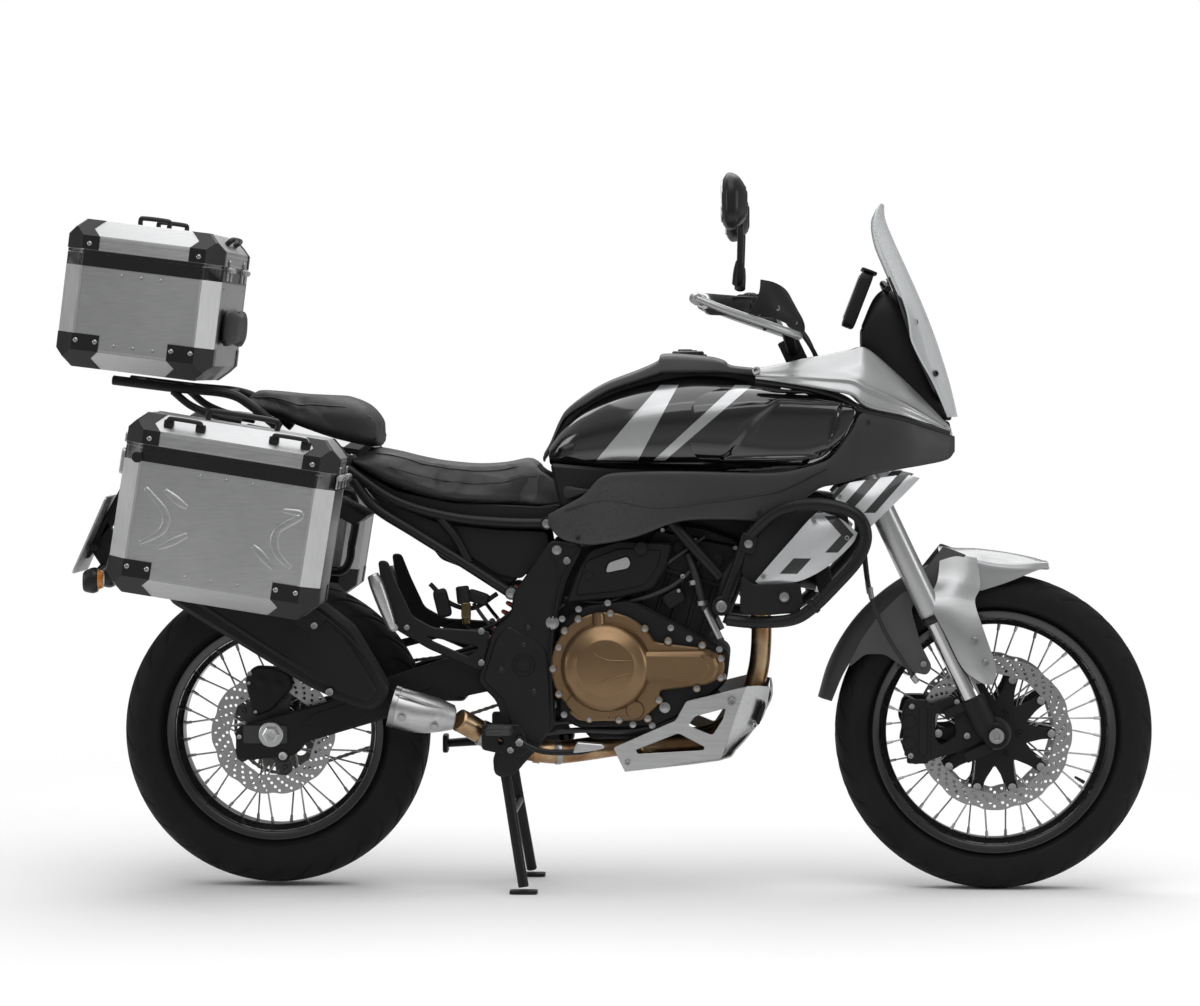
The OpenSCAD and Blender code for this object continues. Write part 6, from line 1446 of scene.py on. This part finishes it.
for name, case in cases.items():
    size, at, side = case["size"], np.array(case["at"], float), case["side"]
    l, w, h = size
    stand = lambda shapes: [(p @ turnUp(case["tilt"]) + at, q, t) for p, q, t in shapes]
    band, lid, foot, slope, corner = (caseForm[k] for k in ("band", "lid", "foot", "slope", "corner"))
    hingeX = l / 2 + 7
    latchY = (-w / 4, w / 4) if side else (-110, 110)
    corners = [(sx, sy) for sx in (-1, 1) for sy in (-1, 1)]
    build(name + "_walls", stand([caseShape(size, h, foot, -1)]), caseMetal, [name], 20)
    build(name + "_lid_skin", stand([caseShape(size, lid, slope, 1, 0.5)]), caseMetal, [name + "_lid"], 20,
        body=case["lid"])
    trim = [caseBand(size, -band, -0.3, 1.8)]
    lowCaps = [casePatch(size, sx, sy, [(0, -h + foot + 34), (0, -h + foot), (16, -h + foot - 16),
        (foot, -h), (foot + 4, -h)], 56, 2) for sx, sy in corners]
    if side:
        face = side * w / 2
        trim += [drum(-l / 2 + 30, -20, 11, face, face + side * 7, 2, 28)]
    build(name + "_trim", stand(trim + lowCaps), satinBlack, angle=25)
    topCaps = [casePatch(size, sx, sy, [(0, 8), (0, lid - slope + 0.5), (16, lid - slope + 16.5),
        (slope, lid + 0.5), (slope + 4, lid + 0.5)], 34, 2) for sx, sy in corners]
    lidTrim = [caseBand(size, 1, 7, 1.8)]
    grips = []
    if side:
        y = side * (w / 2 - slope / 2)
        out = (0, side * 13, 13)
        for x in (-100, 112):
            grips += caseGrip((x - 32, y, lid - slope / 2), (x + 32, y, lid - slope / 2), out, 4.4)
            grips += [block((x + d, y + side * 2, lid - slope / 2 + 2), (20, 16, 16), 5) for d in (-32, 32)]
        grips += caseGrip((-70, 0, lid), (70, 0, lid), (0, 0, 20), 6)
    else:
        for y in (-120, 120):
            grips += caseGrip((-30, y, lid), (30, y, lid), (0, 0, 16), 5)
        grips += caseGrip((l / 2 - slope * 0.5, -60, lid - slope * 0.5),
            (l / 2 - slope * 0.5, 60, lid - slope * 0.5), (12, 0, 12), 6)
    build(name + "_lid_trim", stand(topCaps + lidTrim + grips), satinBlack, angle=25, body=case["lid"])
    # Strips of the brighter case metal on the upright corners and along the fold above the foot: painted
    # highlights where the chamfers catch the light
    cornerHighlights = [casePatch(size, sx, sy, [(0, -h + foot + 34), (0, -band)], 5, 1) for sx, sy in corners]
    edge = l / 2 - 66
    cornerHighlights += [panel(np.array([[[x, sy * (w / 2 + 0.4), z] for x in (-edge, edge)]
        for z in (-h + foot + 5, -h + foot)])[:, ::-sy], 1) for sy in (-1, 1)]
    build(name + "_strips", stand(cornerHighlights), caseHighlightMetal, angle=20)
    # Bands of the brighter case metal along the folds of the lid: painted highlights
    lidFoldHighlights = [caseBand(size, 8, 11, 0.8), caseBand(size, lid - slope - 8, lid - slope - 5, 0.8)]
    build(name + "_lid_folds", stand(lidFoldHighlights), caseHighlightMetal, angle=20, body=case["lid"])
    # hinge leaves and barrels on the case, with the pin; one barrel for each on the lid
    barrels = [bar((hingeX, y + d - 11.4, 0), (hingeX, y + d + 11.4, 0), 6) for y in (-w / 4, w / 4)
        for d in (-24, 24)]
    pins = [bar((hingeX, y - 36, 0), (hingeX, y + 36, 0), 2.5, 12) for y in (-w / 4, w / 4)]
    leaves = [block((l / 2 + 3.6, y + d, -11), (4, 22, 24), 8, 8, 20) for y in (-w / 4, w / 4)
        for d in (-24, 24)]
    latch = [block((-l / 2 - 5, y, -34), (10, 34, 52), 6) for y in latchY]
    build(name + "_hinges", stand(barrels + pins + leaves + latch), bareMetal)
    lidLeaves = [bar((hingeX, y - 11, 0), (hingeX, y + 11, 0), 6) for y in (-w / 4, w / 4)]
    lidLeaves += [block((l / 2 + 3.6, y, 11), (4, 21, 20), 8, 8, 20) for y in (-w / 4, w / 4)]
    lidLeaves += [block((-l / 2 - 4, y, 14), (8, 26, 20), 6) for y in latchY]
    build(name + "_lid_leaves", stand(lidLeaves), bareMetal, body=case["lid"])
    rivets, lidRivets = [], []
    for sy in (-1, 1):
        out, rowX = (0, sy, 0), np.array([-l / 8, 0, l / 8])
        rivets += bolts([(x, sy * w / 2, z, 4) for x in rowX for z in (-band - 12, -h + foot + 16)], out,
            "rivet")
        rivets += bolts([(sx * (l / 2 - corner - d), sy * (w / 2 + 2), -h + foot + 20, 5) for sx in (-1, 1)
            for d in (6, 46)], out, "dome")
        lidRivets += bolts([(sx * (l / 2 - corner - 12), sy * (w / 2 + 2), 20, 5) for sx in (-1, 1)], out,
            "dome")
    for sx in (-1, 1):
        rivets += bolts([(sx * l / 2, y, z, 4) for y in (-w / 3, w / 3)
            for z in (-band - 12, -h + foot + 16)], (sx, 0, 0), "rivet")
    build(name + "_rivets", stand(rivets), boltSteel)
    build(name + "_lid_rivets", stand(lidRivets), boltSteel, body=case["lid"])

# Pressed beads on the outer faces of the panniers
beads = [[[-203, 850], [-165, 800], [-170, 765], [-215, 740]], [[-165, 845], [-150, 832], [-135, 820],
    [-120, 810]], [[-180, 730], [-160, 738], [-140, 747], [-120, 757]],
    [[70, 805], [105, 795], [60, 765], [55, 725], [85, 690]], [[10, 735], [22, 722], [36, 706], [50, 690]]]
build("pannier_beads", both(*[tube([[x, -479.6, z] for x, z in b], [1.6] + [2.8] * (len(b) - 2) + [1.6],
    10, 14, 3.1) for b in beads]), caseMetal, angle=None)

# Back pad of the top case: a foam pad behind its cover
padForm = {"wide": 150, "thick": 26, "tall": 96}
padShape = block((0, 0, 0), (padForm["thick"], 2 * padForm["wide"], padForm["tall"]), 5, 26, 60)
padShape = (padShape[0] + [161 + 12, 0, -118]) @ turnUp(7) + np.array([-248, 0,
    1308]), padShape[1], padShape[2]
pad("top_case_pad", [padShape], pillionLeather, [], lambda x: x * 0 + 1.0)

# Tail: plate holder, blank plate, lamp and indicators
holder = roundCorners(rows("-92 940; -92 972; -150 960; -330 838; -412 690; -402 684; -310 806; -150 915"), 8)
plateShape = block((0, 0, 0), (4, 180, 176), 30, 8, 60)
build("tail_holder", [plate(holder, -14, 14, edge=4), plate(roundCorners(rows("-392 700; -358 770; "
    "-344 730; -366 660"), 6), -14, 14, edge=3), plate(roundCorners(rows("-120 950; -120 930; 40 830; "
    "170 760; 200 780; 60 850; -60 940"), 8), -96, 96, edge=3), bar((-330, -30, 800), (-330, 30, 800),
    10), bar((-382, -60, 712), (-382, 60, 712), 7)], blackPlastic, ["tail_plate_holder"])
build("blank_plate", [(plateShape[0] @ turnUp(24.3) + np.array([-384, 0, 738.5]), plateShape[1],
    plateShape[2])], paleSilver)
lampRing = roundCorners(rows("-150 962; -206 926; -218 940; -176 976"), 6)
build("tail_lamp_lens", [plate(lampRing, -70, 70, edge=3)], lensRed, ["tail_lamp"])
build("indicator_stalks", both(tube(rows("-370 -14 668; -372 -40 664; -374 -70 658; -374 -92 652"),
    [7, 6, 6, 5], 7, 16), skin(ovals(rows("-394 622 664 -121 -85; -374 618 672 -127 -81; "
    "-362 622 670 -126 -82"), 6, 28, 2.4, 4))), satinBlack, ["indicators"])
build("indicator_lenses", both(skin(ovals(rows("-368 624 669 -125 -83; -358 627 667 -122 -86; "
    "-352 630 664 -119 -89"), 6, 28, 2.4, 4))), lensAmber)
print("cases and tail made")


# Steering. Pieces are drawn upright along the steering axis (x ahead, y left, s up it) and then leaned back
leaned = lambda *shapes: [(p @ turnUp(-25.5) + np.array([1610.9, 0, 0]), q, t) for p, q, t in shapes]


def onAxis(shape):  # a plate drawn in X and Z lies flat across the axis
    return shape[0][:, [0, 2, 1]], shape[1], shape[2]


yokeLine = roundCorners(rows("-34 -20; -22 -44; 2 -96; 4 -128; 24 -137; 54 -132; 62 -104; 50 -40; 46 0; "
    "50 40; 62 104; 54 132; 24 137; 4 128; 2 96; -22 44; -34 20"), 12)
legHoles = [circle(30, -104, 25.2, 36), circle(30, 104, 25.2, 36)]
build("yoke_plates", leaned(onAxis(plate(yokeLine, 942, 974, legHoles, 3)),
    onAxis(plate(yokeLine, 1153, 1175, legHoles, 3)), turned(rows("0.1 942; 15 942; 15 1176; 0.1 1176"),
    axis="z", segments=32), turned(rows("0.1 1175; 12 1175; 20 1177; 22 1180; 20 1183; 0.1 1184"),
    axis="z", segments=36), *both(block((62, -118, 958), (20, 18, 26), 5),
    block((60, -118, 1164), (18, 18, 18), 5))), castBlack, ["fork_yokes"], body="steering")
build("yoke_bolts", leaned(*both(*bolts([(66, -127, 958, 5), (64, -127, 1164, 5)]))), boltSteel,
    body="steering")
legRight = [turned(rows("17 1183; 21 1183; 25 1180; 25 634; 24.2 632; 24.2 630; 25 628; 24.6 626; 17 626"),
    (30, -104, 0), "z", 48)]
build("fork_tubes", leaned(*both(*legRight)), silverPaint, ["fork_legs"], body="steering")
innerLeg = turned(rows("12 628; 20.5 628; 20.5 434; 12 434"), (30, -104, 0), "z", 48)
build("fork_chrome", leaned(*both(innerLeg)), chrome, body="steering")
seal = turned(rows("17 628; 24.6 628; 26.4 624; 26.4 614; 24 610; 20.6 609"), (30, -104, 0), "z", 48)
topCap = turned(rows("0.1 1192; 9 1192; 10 1190; 10 1186; 20 1185; 22 1183; 22 1178"), (30, -104, 0), "z", 36)
build("fork_seals", leaned(*both(seal, topCap)), satinBlack, body="steering")
shoe = turned(rows("16 437.6; 22 437.6; 25.5 434; 25.5 380; 24 370; 20 352"), (30, -104, 0), "z", 40)
lugs = [onAxis(plate(roundCorners(rows("-36 -112; -36 -96; 24 -94; 24 -114"), 4), s0, s1, edge=2))
    for s0, s1 in ((318, 339), (418, 437))]
boot = turned(rows("10.3 -22; 24 -22; 27 -19; 27 19; 24 22; 10.3 22; 10.3 -22"), (42, -104, 345.6), "y", 48)
build("fork_shoes", leaned(*both(shoe, boot, *lugs)), castBlack, body="steering")
axleRing = turned(rows("8 -130.5; 8 -136; 9 -136.9; 15 -136.9; 16 -135.8; 16.6 -130.5; 8 -130.5"),
    frontAxle, "y", 48)
build("front_axle_rod", [bar(frontAxle + [0, -131, 0], frontAxle + [0, 131, 0], 10), *both(axleRing)],
    boltSteel, ["front_axle"], body="steering")

# Mudguard: a silver peak with side leaves that run down outside the fork, and a grey rear part with skirts
guardForm = {"radius": 372, "half": 69, "sheet": 3, "split": 40}
stations = rows("169 26; 158 34; 147 40; 136 40; 124 36; 113 32; 101 26; 90 20; 80 14; 71 6")
guardRows = [[[frontAxle[0] + (guardForm["radius"] - d * abs(u) ** 3) * math.cos(math.radians(a)),
    (guardForm["half"] - max(0, 90 - a) * 1.6) * u, frontAxle[2] + (guardForm["radius"] - d * abs(u) ** 3)
    * math.sin(math.radians(a))] for u in np.linspace(-1, 1, 9)] for a, d in stations]
rearGuard = smoothGrid(guardRows, 7, 3)[:guardForm["split"] + 1]
# each place along the peak: x, the heights of its lower edge, shoulder and ridge, and its half width
peakPlaces = rows("1384 652 698 716 66; 1420 640 696 712 69; 1460 626 690 711 69; 1490 632 684 708 68; "
    "1532 646 680 702 64; 1578 664 680 693 54; 1612 675 680 683 40")
peakRows = [[[x, -w, low], [x, -w + 1, shoulder - 8], [x, -w * 0.8, shoulder + 3], [x, 0, top],
    [x, w * 0.8, shoulder + 3], [x, w - 1, shoulder - 8], [x, w, low]] for x, low, shoulder, top,
    w in peakPlaces]
peak = smoothGrid(peakRows, 7, 4)
leafRows = rows("1386 -67 700; 1424 -70 700; 1462 -68 694; 1380 -86 650; 1424 -90 650; 1468 -84 636; "
    "1364 -124 604; 1408 -122 604; 1456 -112 604; 1396 -133 536; 1434 -137 536; 1476 -130 540; "
    "1430 -134 470; 1464 -137 470; 1499 -130 470; 1466 -133 441; 1480 -134 436; 1492 -131 436").reshape(6,
    -1, 3)
leaf = smoothGrid(leafRows, 7, 6)
fin = roundCorners(rows("1349 664; 1392 718; 1404 714; 1440 700; 1392 640; 1364 606"), 4)
build("mudguard_peak", [panel(peak, guardForm["sheet"]), *both(panel(leaf, guardForm["sheet"]))],
    silverPaint, ["front_mudguard"], body="steering")
build("mudguard_fins", both(plate(fin, -71, -67, edge=1.4)), coverGrey, body="steering")
skirt = roundCorners(rows("1340 640; 1300 616; 1256 572; 1222 524; 1200 480; 1198 466; 1232 494; 1272 494; "
    "1292 480; 1328 457; 1360 450; 1370 468; 1346 516; 1326 590; 1350 620"), 10)
build("mudguard_rear", [panel(rearGuard, guardForm["sheet"]), *both(plate(skirt, -71, -67.5, edge=1))],
    coverGrey, body="steering")
build("guard_bolts", both(*bolts([(1352, -71, 474, 7)]), *bolts([(1455, -135, 528, 7),
    (1477, -134, 482, 7)], (0.1, -0.99, 0))), boltSteel, body="steering")

# Front calipers: two halves over the disc, a pierced bracket to the fork and a ribbed outer face
caliperLine = roundCorners(rows("1313 392; 1332 400; 1373 394; 1373 277; 1332 266; 1318 281; 1307 304; "
    "1313 332; 1304 355"), 8)
bracket = roundCorners(rows("1366 394; 1428 412; 1462 388; 1480 324; 1456 304; 1366 277"), 9)
window = roundCorners(rows("1376 374; 1414 369; 1419 328; 1388 307; 1376 322"), 7)
calipers = [plate(caliperLine, -98.6, -80, edge=4), plate(caliperLine, -68, -52.4, edge=4),
    plate(bracket, -99.6, -90, [window], 2), plate(roundCorners(rows("1342 386; 1360 384; 1360 288; "
    "1342 282"), 6), -101.4, -97, edge=1.6), block((1338, -75, 394), (44, 42, 12), 6),
    block((1340, -75, 274), (44, 42, 12), 6)]
calipers += [drum(1322, z, 13, -101.6, -97, 2) for z in (312, 356)]
build("front_calipers", both(*calipers), castBlack, ["front_brake_calipers"], body="steering")
build("caliper_bolts", both(*bolts(rows("1327 -99 388 6; 1325 -99 286 6; 1441 -99.6 328 7; "
    "1420 -99.6 398 6"))), boltSteel, body="steering")
hose = rows("1222 -34 848; 1226 -60 790; 1230 -82 710; 1242 -94 620; 1270 -101 545; 1310 -104 480; "
    "1332 -92 446")
build("hose_lines", both(tube(hose, 4, 9, 12)), hoseRubber, ["brake_hoses"], body="steering")
build("hose_ends", both(bar((1328, -94, 451), (1338, -88, 438), 6.5),
    bar((1240, -93, 634), (1244, -95, 610), 5.6)), boltSteel, body="steering")

# Handlebar, grips, switches, levers and cables
b0, b1, b2, b3 = (np.array(v, float) for v in ((4.5, -62, 1247), (12, -170, 1323), (-22, -246, 1355),
    (-118, -430, 1407)))
way = (b3 - b2) / np.linalg.norm(b3 - b2)
barRight = tube([b0 + [0, 12, 0], b0 - [0, 8, 0], b1, b2, b2 + 30 * way, b3], 11, 10, 22)
taper = bar(b0 + [0, 62, 0], b0, 14.3, 28)
clampShapes = [block((4, -36, 1221), (44, 20, 92), 8), block((4, -36, 1262), (44, 20, 14), 6)]
build("bar_tube", leaned(*both(barRight, taper, *clampShapes)), frameBlack, ["handlebar"], body="steering")
gripFrom, gripTo = b2 + 62 * way, b3 - 12 * way
gripLength = np.linalg.norm(gripTo - gripFrom)
grooves = [[11.5, 0], [20, 0.5], [20, 4], [16.5, 7]]
for k in np.linspace(12, gripLength - 12, 26):
    grooves += [[16.5, k], [15.4, k + 0.6], [15.4, k + 2], [16.5, k + 2.6]]
grip = aimed(turned(grooves + [[16.5, gripLength - 3], [14, gripLength]], axis="z", segments=32), gripFrom,
    way)
build("grips", leaned(*both(grip)), gripRubber, angle=25, body="steering")
switch = aimed(block((0, 0, 22), (44, 44, 44), 4, 16, 40), b2 + 14 * way, way)
lever = tube([b2 + 22 * way + [34, 0, -6], b2 + 60 * way + [62, 0, -14], b2 + 130 * way + [58, 0, -18],
    b2 + 190 * way + [48, 0, -16]], [8, 6, 5, 7], 9, 16, 0.6)
perch = aimed(block((18, 0, 18), (40, 26, 30), 5), b2 + 6 * way, way)
build("switch_pods", leaned(*both(switch, perch)), satinBlack, body="steering")
build("levers", leaned(*both(lever)), frameBlack, body="steering")
build("switch_keys", leaned(aimed(block((-16, -12, 24), (8, 10, 8), 4), b2 + 14 * way, way)), redPlastic,
    body="steering")
build("bar_ends", leaned(*both(bar(b3 - 12 * way, b3 + 0 * way, 16, 28, 3))), bareMetal, body="steering")
cableLines = [[[1020, -150, 1168], [1060, -120, 1190], [1110, -80, 1150], [1150, -48, 1050],
    [1190, -40, 960]], [[1010, -190, 1188], [1080, -150, 1176], [1130, -110, 1110], [1165, -70, 1010]]]
build("cables", both(*[tube(p, 3.6, 10, 10) for p in cableLines]), hoseRubber, body="steering")
guardBar = rows("886 -448 1226; 940 -443 1204; 1020 -416 1176; 1078 -372 1156; 1088 -330 1152; "
    "1066 -262 1164; 1052 -214 1190")
build("guard_bars", both(tube(guardBar, [9, 10, 10, 10, 10, 10, 9], 10, 22, 0.8),
    bar((884, -440, 1226), (890, -452, 1222), 12)), silverPaint, ["hand_guards"], body="steering")
deflector = rows("992 -426 1198; 1004 -427 1218; 1012 -424 1240; 1014 -420 1262; 1036 -408 1188; "
    "1042 -408 1206; 1044 -404 1228; 1040 -399 1256; 1076 -374 1170; 1080 -374 1188; 1076 -368 1212; "
    "1064 -362 1240; 1100 -332 1158; 1100 -330 1172; 1094 -326 1188; 1082 -322 1208").reshape(4, -1, 3)
build("deflectors", both(panel(smoothGrid(deflector, 6, 6)[:, ::-1], 3)), blackPlastic, body="steering")
build("guard_bar_bolts", both(*bolts([(1046, -402, 1206, 6), (1082, -366, 1178, 5)], (0.4, -0.9, 0.1))),
    boltSteel, body="steering")

# Mirrors: a boot, a stalk, a shell and the glass set in its back
mirrorShell = skin(ovals(rows("938 1374 1460 -444 -318; 950 1362 1475 -460 -302; 970 1368 1468 -454 -310; "
    "988 1388 1442 -420 -344"), 7, 56, 3, 6))
build("mirror_shells", both(mirrorShell, tube(rows("968 -262 1256; 970 -276 1282; 972 -290 1302"),
    [12, 11, 8], 7, 24), tube(rows("972 -288 1298; 973 -318 1334; 974 -352 1374"), 6, 8, 16)), satinBlack,
    ["mirrors"], body="steering")
glassPlate = skin(ovals(rows("935.4 1378 1458 -440 -322; 937 1376 1460 -442 -320; "
    "939 1376 1460 -442 -320"), 3, 56, 3, 0.6))
build("mirror_glass", both(glassPlate), mirrorGlass, body="steering")
print("steering made")


# Camera, floor and light
stage = {"camera": (0.3345, -8.2, 1.093), "lens": 117.6, "pan": 2.483, "dip": 2.016, "floorRadius": 7.0,
    "floorFade": (1.1, 3.0), "lamps": 0.8}
camera = bpy.data.objects.new("camera", bpy.data.cameras.new("camera"))
camera.location = stage["camera"]
camera.rotation_euler = (math.radians(90 - stage["dip"]), 0, math.radians(stage["pan"]))
camera.data.lens, camera.data.sensor_width = stage["lens"], 36
scene.collection.objects.link(camera)
scene.camera = camera
scene.view_settings.view_transform = "Standard"


# The floor is pale and fades out with distance, so that it ends in the white behind it
def pale():
    f = Finish("pale_floor", Roughness=0.9, SpecularIORLevel=0.1)
    x, y, _ = f.axes()
    far = (x * x * 0.5 + y * y) ** 0.5
    f.set(Alpha=f.span(far, *stage["floorFade"], (1, 0)), BaseColor=f.mix(f.noise(2), (0.97, 0.97, 0.97),
        (0.98, 0.98, 0.98)))
    f.material.surface_render_method = "BLENDED"
    return f.material


ring = np.array([[0.01], [0.35], [0.7], [1.0]]) * stage["floorRadius"]
around = fullTurn(96)[None]
floorMesh = bpy.data.meshes.new("floor")
floorGrid = np.stack([ring * np.cos(around), ring * np.sin(around), np.zeros((4, 96))], -1)
floorMesh.from_pydata(floorGrid.reshape(-1, 3).tolist(), [], skin(floorGrid, caps=False)[1].tolist()
    + [list(range(96))])
floorMesh.materials.append(pale())
floor = bpy.data.objects.new("floor", floorMesh)
scene.collection.objects.link(floor)


# White to the eye; as light, brighter overhead than at the horizon and darkest below it
world = bpy.data.worlds.new("studio")
scene.world = world
world.use_nodes = True
tree = world.node_tree
tree.nodes.clear()
where = tree.nodes.new("ShaderNodeTexCoord")
parts = tree.nodes.new("ShaderNodeSeparateXYZ")
tree.links.new(where.outputs["Generated"], parts.inputs[0])
ramp = tree.nodes.new("ShaderNodeValToRGB")
for place, shade in ((0.0, 0.1), (0.46, 0.14), (0.56, 0.42), (0.8, 0.95), (1.0, 1.0)):
    stop = ramp.color_ramp.elements.new(place) if place not in (0.0,
        1.0) else ramp.color_ramp.elements[int(place)]
    stop.color = (shade, shade, shade, 1)
height = tree.nodes.new("ShaderNodeMath")
height.operation = "MULTIPLY_ADD"
height.inputs[1].default_value, height.inputs[2].default_value = 0.5, 0.5
tree.links.new(parts.outputs["Z"], height.inputs[0])
tree.links.new(height.outputs[0], ramp.inputs[0])
light, seen = tree.nodes.new("ShaderNodeBackground"), tree.nodes.new("ShaderNodeBackground")
light.inputs["Strength"].default_value = 0.5
tree.links.new(ramp.outputs[0], light.inputs["Color"])
seen.inputs["Color"].default_value = (1, 1, 1, 1)
ray, either, blend = (tree.nodes.new("ShaderNode" + kind) for kind in ("LightPath", "Math", "MixShader"))
either.operation, either.use_clamp = "ADD", True
tree.links.new(ray.outputs["Is Camera Ray"], either.inputs[0])
tree.links.new(ray.outputs["Is Transmission Ray"], either.inputs[1])
tree.links.new(either.outputs[0], blend.inputs[0])
tree.links.new(light.outputs[0], blend.inputs[1])
tree.links.new(seen.outputs[0], blend.inputs[2])
tree.links.new(blend.outputs[0], tree.nodes.new("ShaderNodeOutputWorld").inputs["Surface"])


def softbox(name, place, target, size, power):
    lamp = bpy.data.lights.new(name, "AREA")
    lamp.shape, lamp.size, lamp.size_y, lamp.energy = "RECTANGLE", *size, power * stage["lamps"]
    box = bpy.data.objects.new(name, lamp)
    scene.collection.objects.link(box)
    box.location = place
    away = (np.array(target) - np.array(place)) / np.linalg.norm(np.array(target) - np.array(place))
    box.rotation_euler = (math.acos(-away[2]), 0, math.atan2(away[1], away[0]) - math.pi / 2)


softbox("overhead", (0, 0, 4.2), (0, 0, 0.6), (5.5, 3.4), 120)
softbox("right_side", (0.4, -3.6, 4.2), (0, 0, 0.7), (5.4, 2.2), 80)
softbox("left_side", (-0.4, 3.6, 4.2), (0, 0, 0.7), (5.4, 2.2), 80)
softbox("front_fill", (5.0, -1.5, 1.6), (0, 0, 0.7), (1.6, 2.2), 45)
softbox("rear_fill", (-5.0, -1.5, 1.8), (0, 0, 0.8), (1.6, 2.2), 45)

print("stage set")
